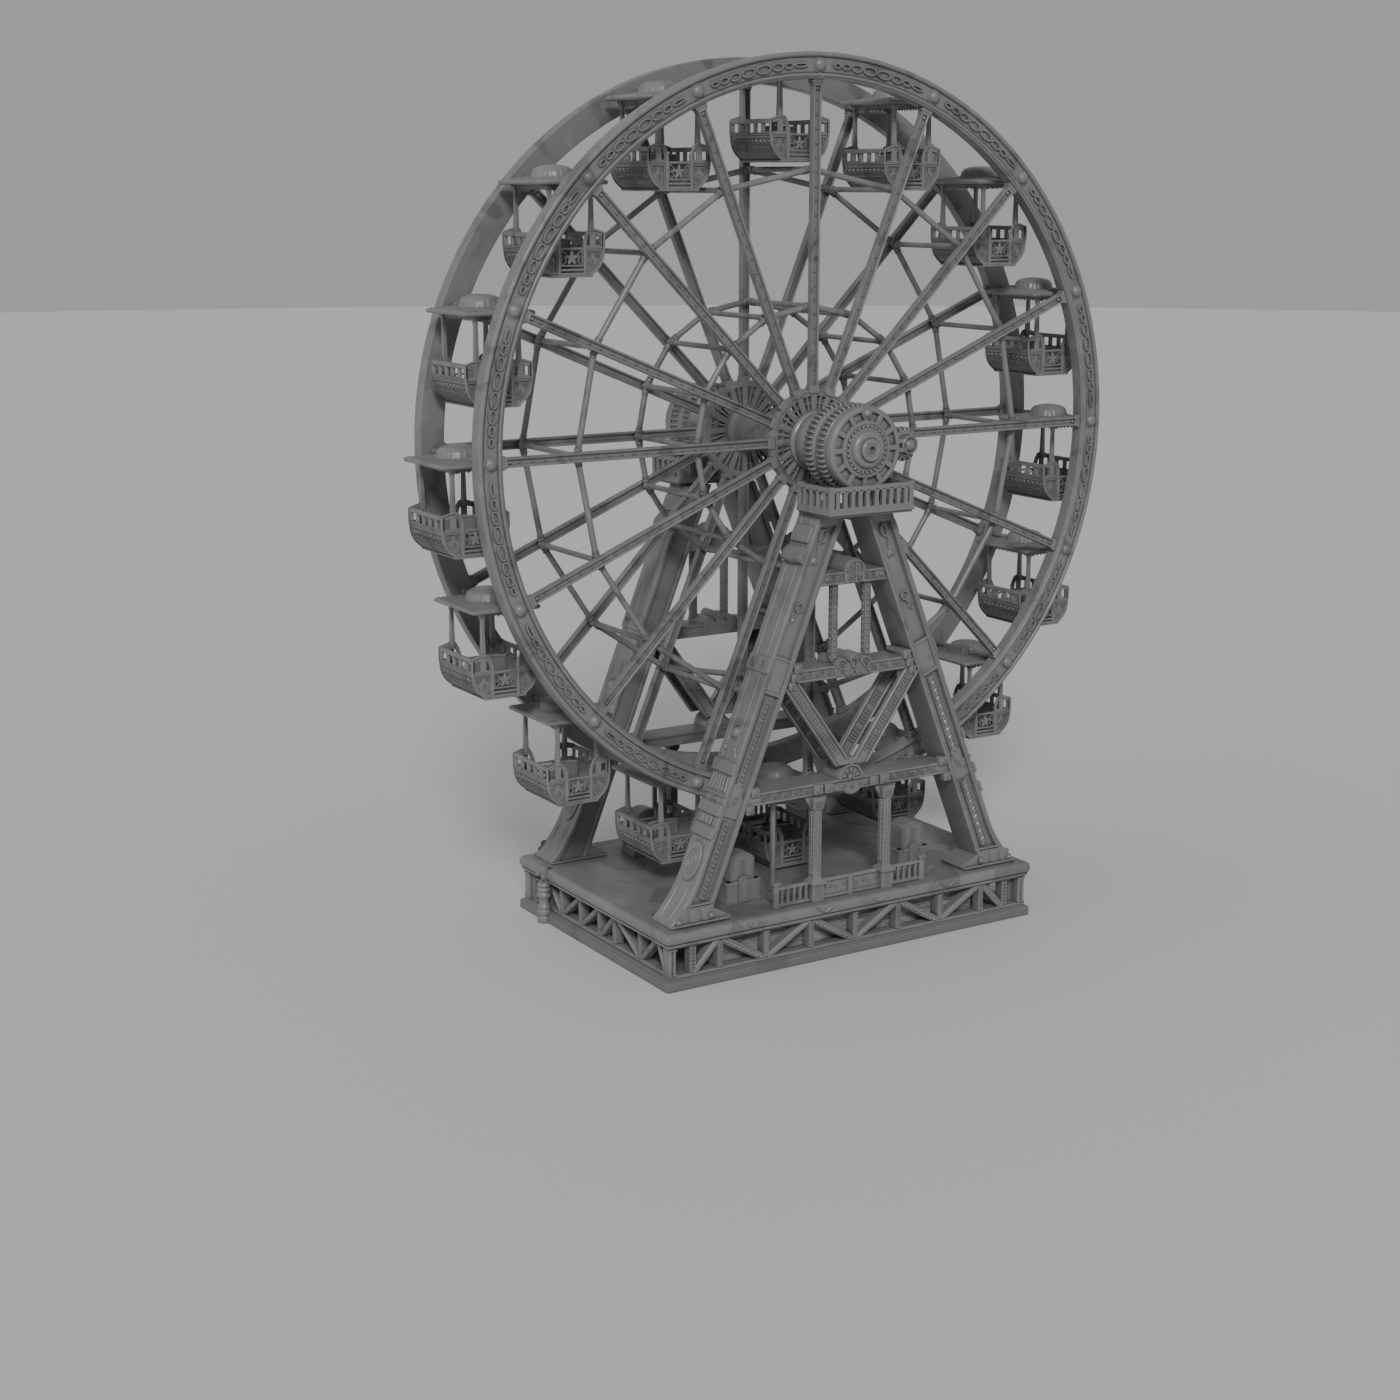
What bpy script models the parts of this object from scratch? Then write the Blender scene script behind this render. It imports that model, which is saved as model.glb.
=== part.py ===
"""A fairground ferris wheel: two A-frame towers on a trussed plinth carry a wheel of sixteen gondolas.

Metres, +Z up. X runs along the plane of the wheel, Y along its axle, and the front is towards -Y.
The origin is the middle of the underside of the plinth.
"""

import math

import bmesh
import bpy
from mathutils import Matrix, Vector

# Running gap between two pieces that touch
GAP = 0.0003
# Extra size of a piece that is let into another one before the two are joined
LAP = 0.02
# Faces that meet at less than this angle, in radians, count as one flat face
FLAT_ANGLE = 0.0005

# Plinth
BASE_LENGTH = 10.02
BASE_WIDTH = 6.90
SLAB_HEIGHT = 0.34
TRUSS_TOP = 0.98
DECK_TOP = 1.30
EDGE_ROUNDING = 0.09
TRUSS_INSET = 0.10
TRUSS_DEPTH = 0.24
CHORD_HEIGHT = 0.07
BAY = 1.20
BAY_COUNT = 6
LADDER_POST_X = 4.30
CORE_INSET_Y = 0.48
TRUSS_POST = 0.14
DIAGONAL_WIDTH = 0.11
END_APEX_Y = -2.66
END_POSTS_Y = (-1.94, -0.82, -0.125, 0.76, 1.67, 2.40, 3.05)
END_BAYS_RISE = (True, False, False, False, True, False)
CORNER_POST = 0.20
SIDE_COLUMN_X = 5.01
SIDE_COLUMN_Y = 2.16
SIDE_COLUMN_RADIUS = 0.17
# Radius and height down the outside of a side column: clasp, ring, foot
SIDE_COLUMN_PROFILE = ((0.17, 1.36), (0.17, 1.02), (0.122, 0.96), (0.122, 0.82), (0.17, 0.76),
                       (0.17, 0.60), (0.122, 0.54), (0.122, 0.40), (0.17, 0.34), (0.17, 0.0))
NOTCH_SLACK = 0.01

# Towers, seen along Y: the outer edge of a leg leans in by LEAN for each metre of height
LEG_FRONT_Y = 3.12
LEG_BACK_Y = 2.32
LEG_TOP = 9.96
LEG_WIDTH = 0.68
LEG_EDGE_X = 4.32
LEG_EDGE_Z = 1.60
LEAN = 0.402
CHANNEL_DEPTH = 0.12
CHANNEL_RIM = 0.12
CHANNEL_Z = (2.10, 9.71)
FOOT_FLARE = 0.30
FOOT_FLARE_TOP = 2.40
FOOT_FLARE_STEPS = 5
TOE_HEIGHT = 0.06
PAD_INNER_X = 3.24
PAD_HEIGHT = 0.12
PAD_SLOPE_HEIGHT = 0.30
# Blocks on the outer side of a leg's head: low and high z, how far they stand out, depth along Y
HEAD_BLOCKS = ((8.62, 8.98, 0.14, 0.56), (9.14, 9.60, 0.05, 0.50))

UPPER_BEAM_Z = (8.40, 8.68)
MIDDLE_BEAM_Z = (6.32, 6.61)
LOWER_BEAM_Z = (3.72, 4.00)
BEAM_INSET_Y = 0.04
CREST_RADIUS = 0.28
FAN_RADIUS = 0.32
# Middle, half width and rise of each of the three arches on the middle beam
MIDDLE_ARCHES = ((0.32, 0.16, 0.16), (0.0, 0.13, 0.25), (-0.32, 0.16, 0.16))
HANGER_X = 0.44
HANGER_WIDTH = 0.13
HANGER_INSET_Y = 0.20
SLENDER_POST_X = -1.75
SLENDER_POST_Y = 2.57
SLENDER_POST_WIDTH = 0.10
SLENDER_BASE_WIDTH = 0.20
SLENDER_BASE_HEIGHT = 0.30

V_BRACE_TOP_X = 1.65
V_BRACE_FOOT_Z = 4.03
V_BRACE_WIDTH = 0.37
V_BRACE_PLATE = 0.14
V_BRACE_WEB = 0.10
V_BRACE_BLOCK_X = 0.20
V_BRACE_BLOCK_Z = (0.01, 0.12)

COLUMN_X = 0.95
COLUMN_Y = 3.08
COLUMN_WIDTH = 0.20
PEDESTAL_WIDTH = 0.28
PEDESTAL_HEIGHT = 0.55
CAPITAL_HEIGHT = 0.30
SHAFT_END = 0.10
RAILING_END_X = 2.00
RAILING_HEIGHT = 0.48
RAILING_BALUSTERS = 8
RAILING_DEPTH = 0.08
RAILING_POST = 0.14
RAILING_POST_RISE = 0.12
RAIL_HEIGHT = 0.08
BALUSTER_WIDTH = 0.07
BALUSTER_DEPTH_SHARE = 0.8

BALCONY_X = 1.12
BALCONY_FRONT_Y = 3.72
BALCONY_BACK_Y = 2.44
BALCONY_SLAB = 0.12
BALCONY_RAIL_TOP = 10.62
BALCONY_POST = 0.12
BALCONY_PANEL_DEPTH = 0.07
BALCONY_SIDE_DEPTH = 0.06
BALCONY_RAIL_INSET = 0.06
BALUSTERS_FRONT = 7
BALUSTERS_SIDE = 3

# Wheel
HUB_HEIGHT = 11.356
GONDOLAS = 16
PIN_CIRCLE = 8.0
RIM_INNER = 7.712
RIM_OUTER = 8.272
RIM_MID_Y = 1.396
RIM_THICKNESS = 0.36
RIM_STEPS = 48
RIM_LIP = 0.10
RIM_RECESS = 0.05
SPOKE_WIDTH = 0.21
SPOKE_DEPTH = 0.176
FLANGE_RADIUS = 1.12
FLANGE_INNER = 0.98
HUB_CORE_RADIUS = 0.52
JOURNAL_RADIUS = 0.36
BARREL_RADIUS = 0.46
ROD_RADIUS = 0.064
OUTER_BRACE_RADIUS = 5.84
INNER_BRACE_RADIUS = 2.92

# Gear drum and pinion
DRUM_TEETH = 48
PINION_TEETH = 18
GEAR_MODULE = 0.0389
TOOTH_RISE = 0.028
TOOTH_SINK = 0.046
TOOTH_ROOT_SHARE = 0.54
TOOTH_TIP_SHARE = 0.24
NECK_RADIUS = 0.536
RING_1_Y = (2.40, 2.68)
RING_2_Y = (2.86, 3.14)
SHAFT_RADIUS = 0.20
SHAFT_CLEARANCE = 0.012
COVER_RADIUS = 0.92
COVER_BACK_Y = 3.18
COVER_PLATE_Y = 3.36
COVER_FRONT_Y = 3.44
COVER_WINDOWS = 12
WINDOW_RADII = (0.62, 0.79)
WINDOW_BAR_ANGLES = (5.0, 4.0)
COVER_SIDES = 24
BAND_INSET = 0.01
BAND_THICKNESS = 0.07
COLLAR_RADIUS = 0.30
CAP_RADIUS = 0.384
CAP_HEIGHT = 0.10
BOSS_RADIUS = 0.224
BOSS_FRONT_Y = 3.62
KNOB_HEIGHT = 0.71
KNOB_RADIUS = 0.075
KNOB_DEPTH = 0.08
HOUSING_PEDESTAL_X = 0.40
ARM_OFFSET = 0.09
ARM_WIDTH = 0.07
ARM_DEPTH = 0.10
EYE_RADIUS = 0.17
PINION_X = GEAR_MODULE * (DRUM_TEETH + PINION_TEETH) / 2
PINION_SHAFT_RADIUS = 0.11
PINION_INSET_Y = 0.02
PINION_SHAFT_START = 0.04
# Radius and distance along the axle of the drum's neck, from the cover to the wheel
DRUM_CORE_RADIUS = 0.80
NECK_FLARE = ((0.62, 2.30), (NECK_RADIUS, 2.10))
NECK_FLANGE_RADIUS = 0.60
NECK_FLANGE = (0.10, 0.06)

# Gondola, measured from its pin
ROOF_X = 0.80
ROOF_Y = 0.96
ROOF_Z = (-0.14, -0.02)
DOME_PROFILE = ((0.0, 0.27), (0.25, 0.245), (0.41, 0.14), (0.45, -0.04))
TUB_TOP = -1.10
TUB_BOTTOM = -2.012
TUB_X = 0.76
TUB_KNEE_Z = -1.50
TUB_FLOOR_X = 0.45
TUB_Y = 0.80
TUB_WALL = 0.06
POST_X = 0.44
POST_WIDTH = 0.09
PIN_RADIUS = 0.045
TUB_CURVE_Z = -1.76
TUB_CURVE_IN = 0.07
POST_FOOT = 0.20
POST_INSET_Y = 0.01
GATE_HALF_WIDTH = 0.25
GATE_TOP = -1.44
BENCH_X = 0.40
BENCH_Y = 0.16
BENCH_TOP = -1.60

# Booths
BOOTH_X = 2.36
BOOTH_Y = 2.06
BOOTH_HALF_X = 0.44
BOOTH_HALF_Y = 0.30
BOOTH_HEIGHT = 0.50
BOOTH_TOP_HALF_X = 0.32
BOOTH_TOP_HALF_Y = 0.24
BOOTH_TOP_FOOT = 0.30
BOOTH_TOP_HEIGHT = 1.00
# How far below its springing the centre of a booth's low vault lies
BOOTH_VAULT_DROP = 0.35
BOOTH_PANEL_HALF = 0.145
BOOTH_PANEL_HEIGHT = 0.62
BOOTH_PANEL_PROUD = 0.05

FRONT = -1
BACK = 1


def clear_scene():
    """Remove every object of the opening scene."""
    for old in list(bpy.data.objects):
        bpy.data.objects.remove(old, do_unlink=True)


def new_collection(name):
    """Make a collection in the scene."""
    made = bpy.data.collections.new(name)
    bpy.context.scene.collection.children.link(made)
    return made


def new_material(name, grey, roughness, metallic):
    """Make a plain grey finish."""
    made = bpy.data.materials.new(name)
    made.use_nodes = True
    shader = made.node_tree.nodes["Principled BSDF"]
    shader.inputs["Base Color"].default_value = (grey, grey, grey, 1.0)
    shader.inputs["Roughness"].default_value = roughness
    shader.inputs["Metallic"].default_value = metallic
    return made


clear_scene()
WHEEL = new_collection("ferris_wheel")
TOWER_PAINT = new_material("tower_paint", 0.21, 0.45, 0.2)
DECK_PAINT = new_material("deck_paint", 0.20, 0.5, 0.1)
WHEEL_PAINT = new_material("wheel_paint", 0.22, 0.42, 0.2)
GEAR_METAL = new_material("gear_metal", 0.23, 0.35, 0.4)
GONDOLA_PAINT = new_material("gondola_paint", 0.20, 0.45, 0.2)


def add_object(name, data):
    """Link a new object to the part's collection."""
    made = bpy.data.objects.new(name, data)
    WHEEL.objects.link(made)
    return made


def mesh_from_bmesh(name, shape):
    """Turn a bmesh into a mesh with its faces pointing out, and free it."""
    bmesh.ops.recalc_face_normals(shape, faces=shape.faces)
    mesh = bpy.data.meshes.new(name)
    shape.to_mesh(mesh)
    shape.free()
    return mesh


def baked(source):
    """Replace an object by a mesh object with its modifiers applied and its seams welded."""
    bpy.context.view_layer.update()
    evaluated = source.evaluated_get(bpy.context.evaluated_depsgraph_get())
    mesh = bpy.data.meshes.new_from_object(evaluated)
    shape = bmesh.new()
    shape.from_mesh(mesh)
    bmesh.ops.remove_doubles(shape, verts=shape.verts, dist=0.00005)
    bmesh.ops.dissolve_limit(shape, angle_limit=FLAT_ANGLE, verts=shape.verts, edges=shape.edges)
    made = add_object(source.name + "_mesh", mesh_from_bmesh(source.name, shape))
    made.matrix_world = source.matrix_world.copy()
    name = source.name
    bpy.data.objects.remove(source, do_unlink=True)
    bpy.data.meshes.remove(mesh)
    made.name = name
    return made


def box(name, low, high):
    """A block between two corners, with its origin at its middle."""
    low, high = Vector(low), Vector(high)
    shape = bmesh.new()
    bmesh.ops.create_cube(shape, size=1.0)
    bmesh.ops.scale(shape, vec=high - low, verts=shape.verts)
    made = add_object(name, mesh_from_bmesh(name, shape))
    made.location = (low + high) / 2
    return made


def bar(name, start, end, width, depth):
    """A straight rectangular bar in the XZ plane: width across it, depth along Y."""
    start, end = Vector(start), Vector(end)
    run = end - start
    shape = bmesh.new()
    bmesh.ops.create_cube(shape, size=1.0)
    bmesh.ops.scale(shape, vec=(run.length, depth, width), verts=shape.verts)
    made = add_object(name, mesh_from_bmesh(name, shape))
    made.location = (start + end) / 2
    made.rotation_euler = (0.0, -math.atan2(run.z, run.x), 0.0)
    return made


def round_bar(name, centre, radius, y_range, sides):
    """A cylinder that lies along Y round an (x, z) centre."""
    shape = bmesh.new()
    bmesh.ops.create_cone(shape, cap_ends=True, segments=sides, radius1=radius, radius2=radius,
                          depth=y_range[1] - y_range[0])
    bmesh.ops.rotate(shape, matrix=Matrix.Rotation(math.pi / 2, 3, "X"), verts=shape.verts)
    made = add_object(name, mesh_from_bmesh(name, shape))
    made.location = (centre[0], sum(y_range) / 2, centre[1])
    return made


def plate(name, outline, y_range, holes=(), centre=(0.0, 0.0)):
    """A flat plate with a drawn (x, z) outline and holes, between two values of y."""
    drawing = bpy.data.curves.new(name, "CURVE")
    drawing.dimensions = "2D"
    drawing.fill_mode = "BOTH"
    drawing.extrude = abs(y_range[1] - y_range[0]) / 2
    for points in (outline, *holes):
        spline = drawing.splines.new("POLY")
        spline.points.add(len(points) - 1)
        for point, (x, z) in zip(spline.points, points):
            point.co = (x, z, 0.0, 1.0)
        spline.use_cyclic_u = True
    made = add_object(name, drawing)
    made.rotation_euler = (math.pi / 2, 0.0, 0.0)
    made.location = (centre[0], sum(y_range) / 2, centre[1])
    return baked(made)


def turned(name, profile, steps, centre, facing=None, closed=False):
    """A shape turned round Z, or round Y with its top towards facing; profile runs top to bottom."""
    mesh = bpy.data.meshes.new(name)
    edges = [(i, i + 1) for i in range(len(profile) - 1)]
    if closed:
        edges.append((len(profile) - 1, 0))
    mesh.from_pydata([(radius, 0.0, z) for radius, z in profile], edges, [])
    made = add_object(name, mesh)
    screw = made.modifiers.new("turn", "SCREW")
    screw.steps = steps
    screw.render_steps = steps
    screw.use_merge_vertices = True
    screw.merge_threshold = 0.0001
    made.location = centre
    if facing is not None:
        made.rotation_euler = (-facing * math.pi / 2, 0.0, 0.0)
    return made


def joined(name, pieces):
    """Put solids that don't touch each other into one mesh, as a tool for a Boolean."""
    bpy.context.view_layer.update()
    shape = bmesh.new()
    for piece in pieces:
        first = len(shape.verts)
        shape.from_mesh(piece.data)
        shape.verts.ensure_lookup_table()
        bmesh.ops.transform(shape, matrix=piece.matrix_world, verts=shape.verts[first:])
        bpy.data.objects.remove(piece, do_unlink=True)
    return add_object(name, mesh_from_bmesh(name, shape))


def combined(base, tools, operation="UNION"):
    """Join tools to a base, or cut them from it, one after the other, into one body."""
    for number, tool in enumerate(tools):
        change = base.modifiers.new(f"{operation.lower()}_{number}", "BOOLEAN")
        change.operation = operation
        change.object = tool
        change.solver = "EXACT"
    made = baked(base)
    for tool in tools:
        bpy.data.objects.remove(tool, do_unlink=True)
    return made


def cut(base, tools):
    """Cut tools from a base."""
    return combined(base, tools, "DIFFERENCE")


def finished(piece, name, material, parent=None):
    """Name a piece, give it its material and hang it under its parent where it stands."""
    piece.name = name
    piece.data.name = name
    piece.data.materials.clear()
    piece.data.materials.append(material)
    if parent is not None:
        bpy.context.view_layer.update()
        placed = piece.matrix_world.copy()
        piece.parent = parent
        piece.matrix_parent_inverse = Matrix.Identity(4)
        piece.matrix_basis = parent.matrix_world.inverted() @ placed
    return piece


def smooth(piece, angle=35.0):
    """Shade a round piece smooth, with its hard edges kept."""
    piece.data.shade_smooth()
    piece.data.set_sharp_from_angle(angle=math.radians(angle))
    return piece


def pivot(name, location, parent=None):
    """An empty on a joint's axis."""
    made = add_object(name, None)
    made.empty_display_size = 0.4
    made.location = location
    if parent is not None:
        bpy.context.view_layer.update()
        made.parent = parent
        made.matrix_parent_inverse = parent.matrix_world.inverted()
    return made


def arc(centre, radius, start, end, steps):
    """Points on an arc, angles in degrees, both ends included."""
    angles = [math.radians(start + (end - start) * i / steps) for i in range(steps + 1)]
    return [(centre[0] + radius * math.cos(a), centre[1] + radius * math.sin(a)) for a in angles]


def circle(radius, sides, turn=0.0):
    """Points on a whole circle round the origin; turn is in degrees."""
    return arc((0.0, 0.0), radius, turn, turn + 360.0 * (sides - 1) / sides, sides - 1)


def polar(radius, angle, across=0.0):
    """A point at a radius and an angle in degrees, moved sideways by across."""
    a = math.radians(angle)
    return (radius * math.cos(a) - across * math.sin(a), radius * math.sin(a) + across * math.cos(a))


def rectangle(x_low, x_high, z_low, z_high):
    """The four corners of a rectangle."""
    return [(x_low, z_low), (x_high, z_low), (x_high, z_high), (x_low, z_high)]


def span(side, near, far):
    """A y range on the front or the back side, low value first."""
    return tuple(sorted((side * near, side * far)))


def side_name(side):
    """The word for a side."""
    return "front" if side == FRONT else "back"


def leg_outer_x(z):
    """How far out the outer edge of a leg is at a height."""
    return LEG_EDGE_X + (LEG_EDGE_Z - z) * LEAN


def leg_inner_x(z):
    """How far out the inner edge of a leg is at a height."""
    return leg_outer_x(z) - LEG_WIDTH


def build_plinth():
    """The slab, the core wall, the deck and the two side columns."""
    half_x, half_y = BASE_LENGTH / 2, BASE_WIDTH / 2
    slab = box("slab", (-half_x, -half_y, 0.0), (half_x, half_y, SLAB_HEIGHT))
    rounding = slab.modifiers.new("edge", "BEVEL")
    rounding.width = EDGE_ROUNDING / 2
    rounding.segments = 1
    deck = box("deck", (-half_x, -half_y, TRUSS_TOP + GAP), (half_x, half_y, DECK_TOP))
    rounding = deck.modifiers.new("edge", "BEVEL")
    rounding.width = EDGE_ROUNDING
    rounding.segments = 2
    finished(cut(baked(slab), [column_notches()]), "base_slab", TOWER_PAINT)
    finished(cut(baked(deck), [column_notches()]), "deck", DECK_PAINT)

    core_x = BAY * BAY_COUNT / 2
    core = box("core", (-core_x, -half_y + CORE_INSET_Y, SLAB_HEIGHT + GAP),
               (core_x, half_y - CORE_INSET_Y, TRUSS_TOP))
    finished(core, "plinth_core", TOWER_PAINT)

    profile = [(0.0, SIDE_COLUMN_PROFILE[0][1]), *SIDE_COLUMN_PROFILE, (0.0, SIDE_COLUMN_PROFILE[-1][1])]
    for x_side, word in ((-1, "left"), (1, "right")):
        shaft = turned("shaft", profile, 8, (x_side * SIDE_COLUMN_X, SIDE_COLUMN_Y, 0.0))
        smooth(finished(baked(shaft), f"side_column_{word}", TOWER_PAINT))


def column_notches():
    """The two notches in the ends of the slab and the deck that the side columns stand in."""
    reach = SIDE_COLUMN_RADIUS + GAP
    notches = []
    for x_side in (-1, 1):
        x = x_side * SIDE_COLUMN_X
        notches.append(box("notch", (x - reach, SIDE_COLUMN_Y - reach - NOTCH_SLACK, -LAP),
                           (x + reach, SIDE_COLUMN_Y + reach + NOTCH_SLACK, DECK_TOP + LAP)))
    return joined("notches", notches)


def bay_holes(left, right, low, high, rising):
    """The two three-sided openings beside a diagonal in one bay of a truss."""
    run, rise = right - left, high - low
    length = math.hypot(run, rise)
    lift, shift = DIAGONAL_WIDTH / 2 * length / run, DIAGONAL_WIDTH / 2 * length / rise
    above = [(left, low + lift), (right - shift, high), (left, high)]
    below = [(left + shift, low), (right, low), (right, high - lift)]
    if rising:
        return [above, below]
    return [[(left + right - x, z) for x, z in reversed(hole)] for hole in (above, below)]


def truss_holes(bays, low, high):
    """The openings of a row of bays, each (left, right, rising) between the middles of its posts."""
    holes = []
    for left, right, rising in bays:
        holes += bay_holes(left + TRUSS_POST / 2, right - TRUSS_POST / 2, low, high, rising)
    return holes


def build_long_truss(side):
    """The truss along the front or the back: posts at each bay, alternate diagonals."""
    half_y = BASE_WIDTH / 2 - TRUSS_INSET
    half_x = BASE_LENGTH / 2 - TRUSS_INSET
    low, high = SLAB_HEIGHT + GAP, TRUSS_TOP
    core_x = BAY * BAY_COUNT / 2
    posts = [-LADDER_POST_X] + [-core_x + BAY * i for i in range(BAY_COUNT + 1)] + [LADDER_POST_X]
    bays = [(left, right, number % 2 == 0) for number, (left, right) in enumerate(zip(posts, posts[1:]))]
    holes = truss_holes(bays, low + CHORD_HEIGHT, high - CHORD_HEIGHT)
    for x_side in (-1, 1):
        xs = sorted((x_side * (LADDER_POST_X + TRUSS_POST / 2), x_side * (half_x - CORNER_POST)))
        holes.append(rectangle(*xs, low + CHORD_HEIGHT, high - CHORD_HEIGHT))
    outline = rectangle(-half_x, half_x, low, high)
    truss = plate("truss", outline, span(side, half_y - TRUSS_DEPTH, half_y), holes)
    finished(truss, f"plinth_truss_{side_name(side)}", TOWER_PAINT)


def build_end_truss(x_side):
    """The open truss across one end of the plinth, between the two long ones."""
    low, high = SLAB_HEIGHT + GAP, TRUSS_TOP
    half_y = BASE_WIDTH / 2 - TRUSS_INSET - TRUSS_DEPTH - GAP
    bays = [(-half_y + TRUSS_POST / 2, END_APEX_Y, True), (END_APEX_Y, END_POSTS_Y[0], False),
            *zip(END_POSTS_Y, END_POSTS_Y[1:], END_BAYS_RISE)]
    holes = truss_holes(bays, low + CHORD_HEIGHT, high - CHORD_HEIGHT)
    outline = rectangle(-half_y, half_y, low, high)
    truss = plate("truss", outline, (-TRUSS_DEPTH / 2, TRUSS_DEPTH / 2), holes)
    truss.rotation_euler.rotate(Matrix.Rotation(math.pi / 2, 3, "Z"))
    truss.location.x = x_side * (SIDE_COLUMN_X - SIDE_COLUMN_RADIUS - GAP - TRUSS_DEPTH / 2)
    word = "left" if x_side < 0 else "right"
    finished(truss, f"plinth_truss_{word}", TOWER_PAINT)


def build_leg(side, x_side):
    """One leg: a leaning box with a channel down its front and back, on a flared foot."""
    foot = DECK_TOP + GAP
    toe = foot + TOE_HEIGHT
    outer = []
    for step in range(FOOT_FLARE_STEPS + 1):
        share = step / FOOT_FLARE_STEPS
        z = FOOT_FLARE_TOP + (toe - FOOT_FLARE_TOP) * share
        outer.append((leg_outer_x(z) + FOOT_FLARE * share ** 2, z))
    slope_top = foot + PAD_SLOPE_HEIGHT
    outline = [(leg_outer_x(LEG_TOP), LEG_TOP), *outer, (outer[-1][0], foot), (PAD_INNER_X, foot),
               (PAD_INNER_X, foot + PAD_HEIGHT), (leg_inner_x(slope_top), slope_top),
               (leg_inner_x(LEG_TOP), LEG_TOP)]
    outline = [(x_side * x, z) for x, z in outline]
    leg = plate("leg", outline, span(side, LEG_BACK_Y, LEG_FRONT_Y))
    channels = []
    for y in (LEG_BACK_Y, LEG_FRONT_Y):
        z_low, z_high = CHANNEL_Z
        sunk = [(leg_inner_x(z_low) + CHANNEL_RIM, z_low), (leg_outer_x(z_low) - CHANNEL_RIM, z_low),
                (leg_outer_x(z_high) - CHANNEL_RIM, z_high), (leg_inner_x(z_high) + CHANNEL_RIM, z_high)]
        channels.append(plate("channel", [(x_side * x, z) for x, z in sunk],
                              span(side, y - CHANNEL_DEPTH, y + CHANNEL_DEPTH)))
    leg = cut(leg, [joined("channels", channels)])
    y = side * (LEG_BACK_Y + LEG_FRONT_Y) / 2
    blocks = [bar("block", (x_side * leg_outer_x(low), y, low), (x_side * leg_outer_x(high), y, high),
                  2 * proud, depth) for low, high, proud, depth in HEAD_BLOCKS]
    leg = combined(leg, [joined("blocks", blocks)])
    word = "left" if x_side < 0 else "right"
    finished(leg, f"leg_{side_name(side)}_{word}", TOWER_PAINT)


def beam_outline(z_low, z_high, crest, crest_radius):
    """A cross beam between the legs with an arched crest in the middle of its top."""
    slack = 1.2 * GAP
    low_x, high_x = leg_inner_x(z_low) - slack, leg_inner_x(z_high) - slack
    top = [(high_x, z_high)] + arc((0.0, z_high), crest_radius, 0.0, 180.0, crest) + [(-high_x, z_high)]
    return [(-low_x, z_low), (low_x, z_low)] + top


def build_beams(side):
    """The three cross beams between two legs, with the posts that hang from them."""
    ys = span(side, LEG_BACK_Y + BEAM_INSET_Y, LEG_FRONT_Y - BEAM_INSET_Y)
    upper = plate("upper", beam_outline(*UPPER_BEAM_Z, 8, CREST_RADIUS), ys)
    y_post = side * (LEG_FRONT_Y - HANGER_INSET_Y)
    arch_top = MIDDLE_BEAM_Z[1] + MIDDLE_ARCHES[0][2]
    hangers = [bar("hanger", (x, y_post, arch_top + GAP), (x, y_post, UPPER_BEAM_Z[0] + LAP),
                   HANGER_WIDTH, HANGER_WIDTH) for x in (-HANGER_X, HANGER_X)]
    upper = combined(upper, [joined("hangers", hangers)])
    finished(upper, f"upper_beam_{side_name(side)}", TOWER_PAINT)

    z_low, z_high = MIDDLE_BEAM_Z
    slack = 1.2 * GAP
    low_x, high_x = leg_inner_x(z_low) - slack, leg_inner_x(z_high) - slack
    arches = []
    for centre, half_width, rise in MIDDLE_ARCHES:
        arches += arc((centre, z_high + rise - half_width), half_width, 0.0, 180.0, 6)
    outline = [(-low_x, z_low), (low_x, z_low), (high_x, z_high), *arches, (-high_x, z_high)]
    finished(plate("middle", outline, ys), f"middle_beam_{side_name(side)}", TOWER_PAINT)

    lower = plate("lower", beam_outline(*LOWER_BEAM_Z, 10, FAN_RADIUS), ys)
    x_post, y_post = SLENDER_POST_X, side * SLENDER_POST_Y
    half, foot = SLENDER_POST_WIDTH / 2, SLENDER_BASE_WIDTH / 2
    base_top = DECK_TOP + SLENDER_BASE_HEIGHT
    post = box("post", (x_post - half, y_post - half, base_top - LAP),
               (x_post + half, y_post + half, LOWER_BEAM_Z[0] + LAP))
    base = box("base", (x_post - foot, y_post - foot, DECK_TOP + GAP),
               (x_post + foot, y_post + foot, base_top))
    lower = combined(lower, [post, base])
    finished(lower, f"lower_beam_{side_name(side)}", TOWER_PAINT)


def build_v_brace(side):
    """The V between the middle and the lower beam: two plates and the block between them."""
    z_foot, z_top = LOWER_BEAM_Z[1] + FAN_RADIUS + GAP, MIDDLE_BEAM_Z[0] - GAP
    slope = V_BRACE_TOP_X / (MIDDLE_BEAM_Z[0] - V_BRACE_FOOT_Z)
    across = V_BRACE_WIDTH / 2 * math.hypot(1.0, slope)

    def line(z, sideways):
        return (z - V_BRACE_FOOT_Z) * slope + sideways

    z_crotch = V_BRACE_FOOT_Z + across / slope + V_BRACE_WEB
    slack = 1.2 * GAP
    z_leg = z_foot + (leg_inner_x(z_foot) - slack - line(z_foot, across)) / (slope + LEAN)
    right = [(line(z_foot, across), z_foot), (line(z_leg, across), z_leg),
             (leg_inner_x(z_top) - slack, z_top), (line(z_top, -across), z_top),
             (line(z_crotch, -across), z_crotch)]
    outline = right + [(-x, z) for x, z in reversed(right)]
    plates = [plate("v", outline, span(side, y, y + V_BRACE_PLATE))
              for y in (LEG_BACK_Y, LEG_FRONT_Y - V_BRACE_PLATE)]
    ys = span(side, LEG_BACK_Y + LAP, LEG_FRONT_Y - LAP)
    block = box("block", (-V_BRACE_BLOCK_X, ys[0], z_foot + V_BRACE_BLOCK_Z[0]),
                (V_BRACE_BLOCK_X, ys[1], z_foot + V_BRACE_BLOCK_Z[1]))
    brace = combined(plates[0], [block, plates[1]])
    finished(brace, f"v_brace_{side_name(side)}", TOWER_PAINT)


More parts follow.
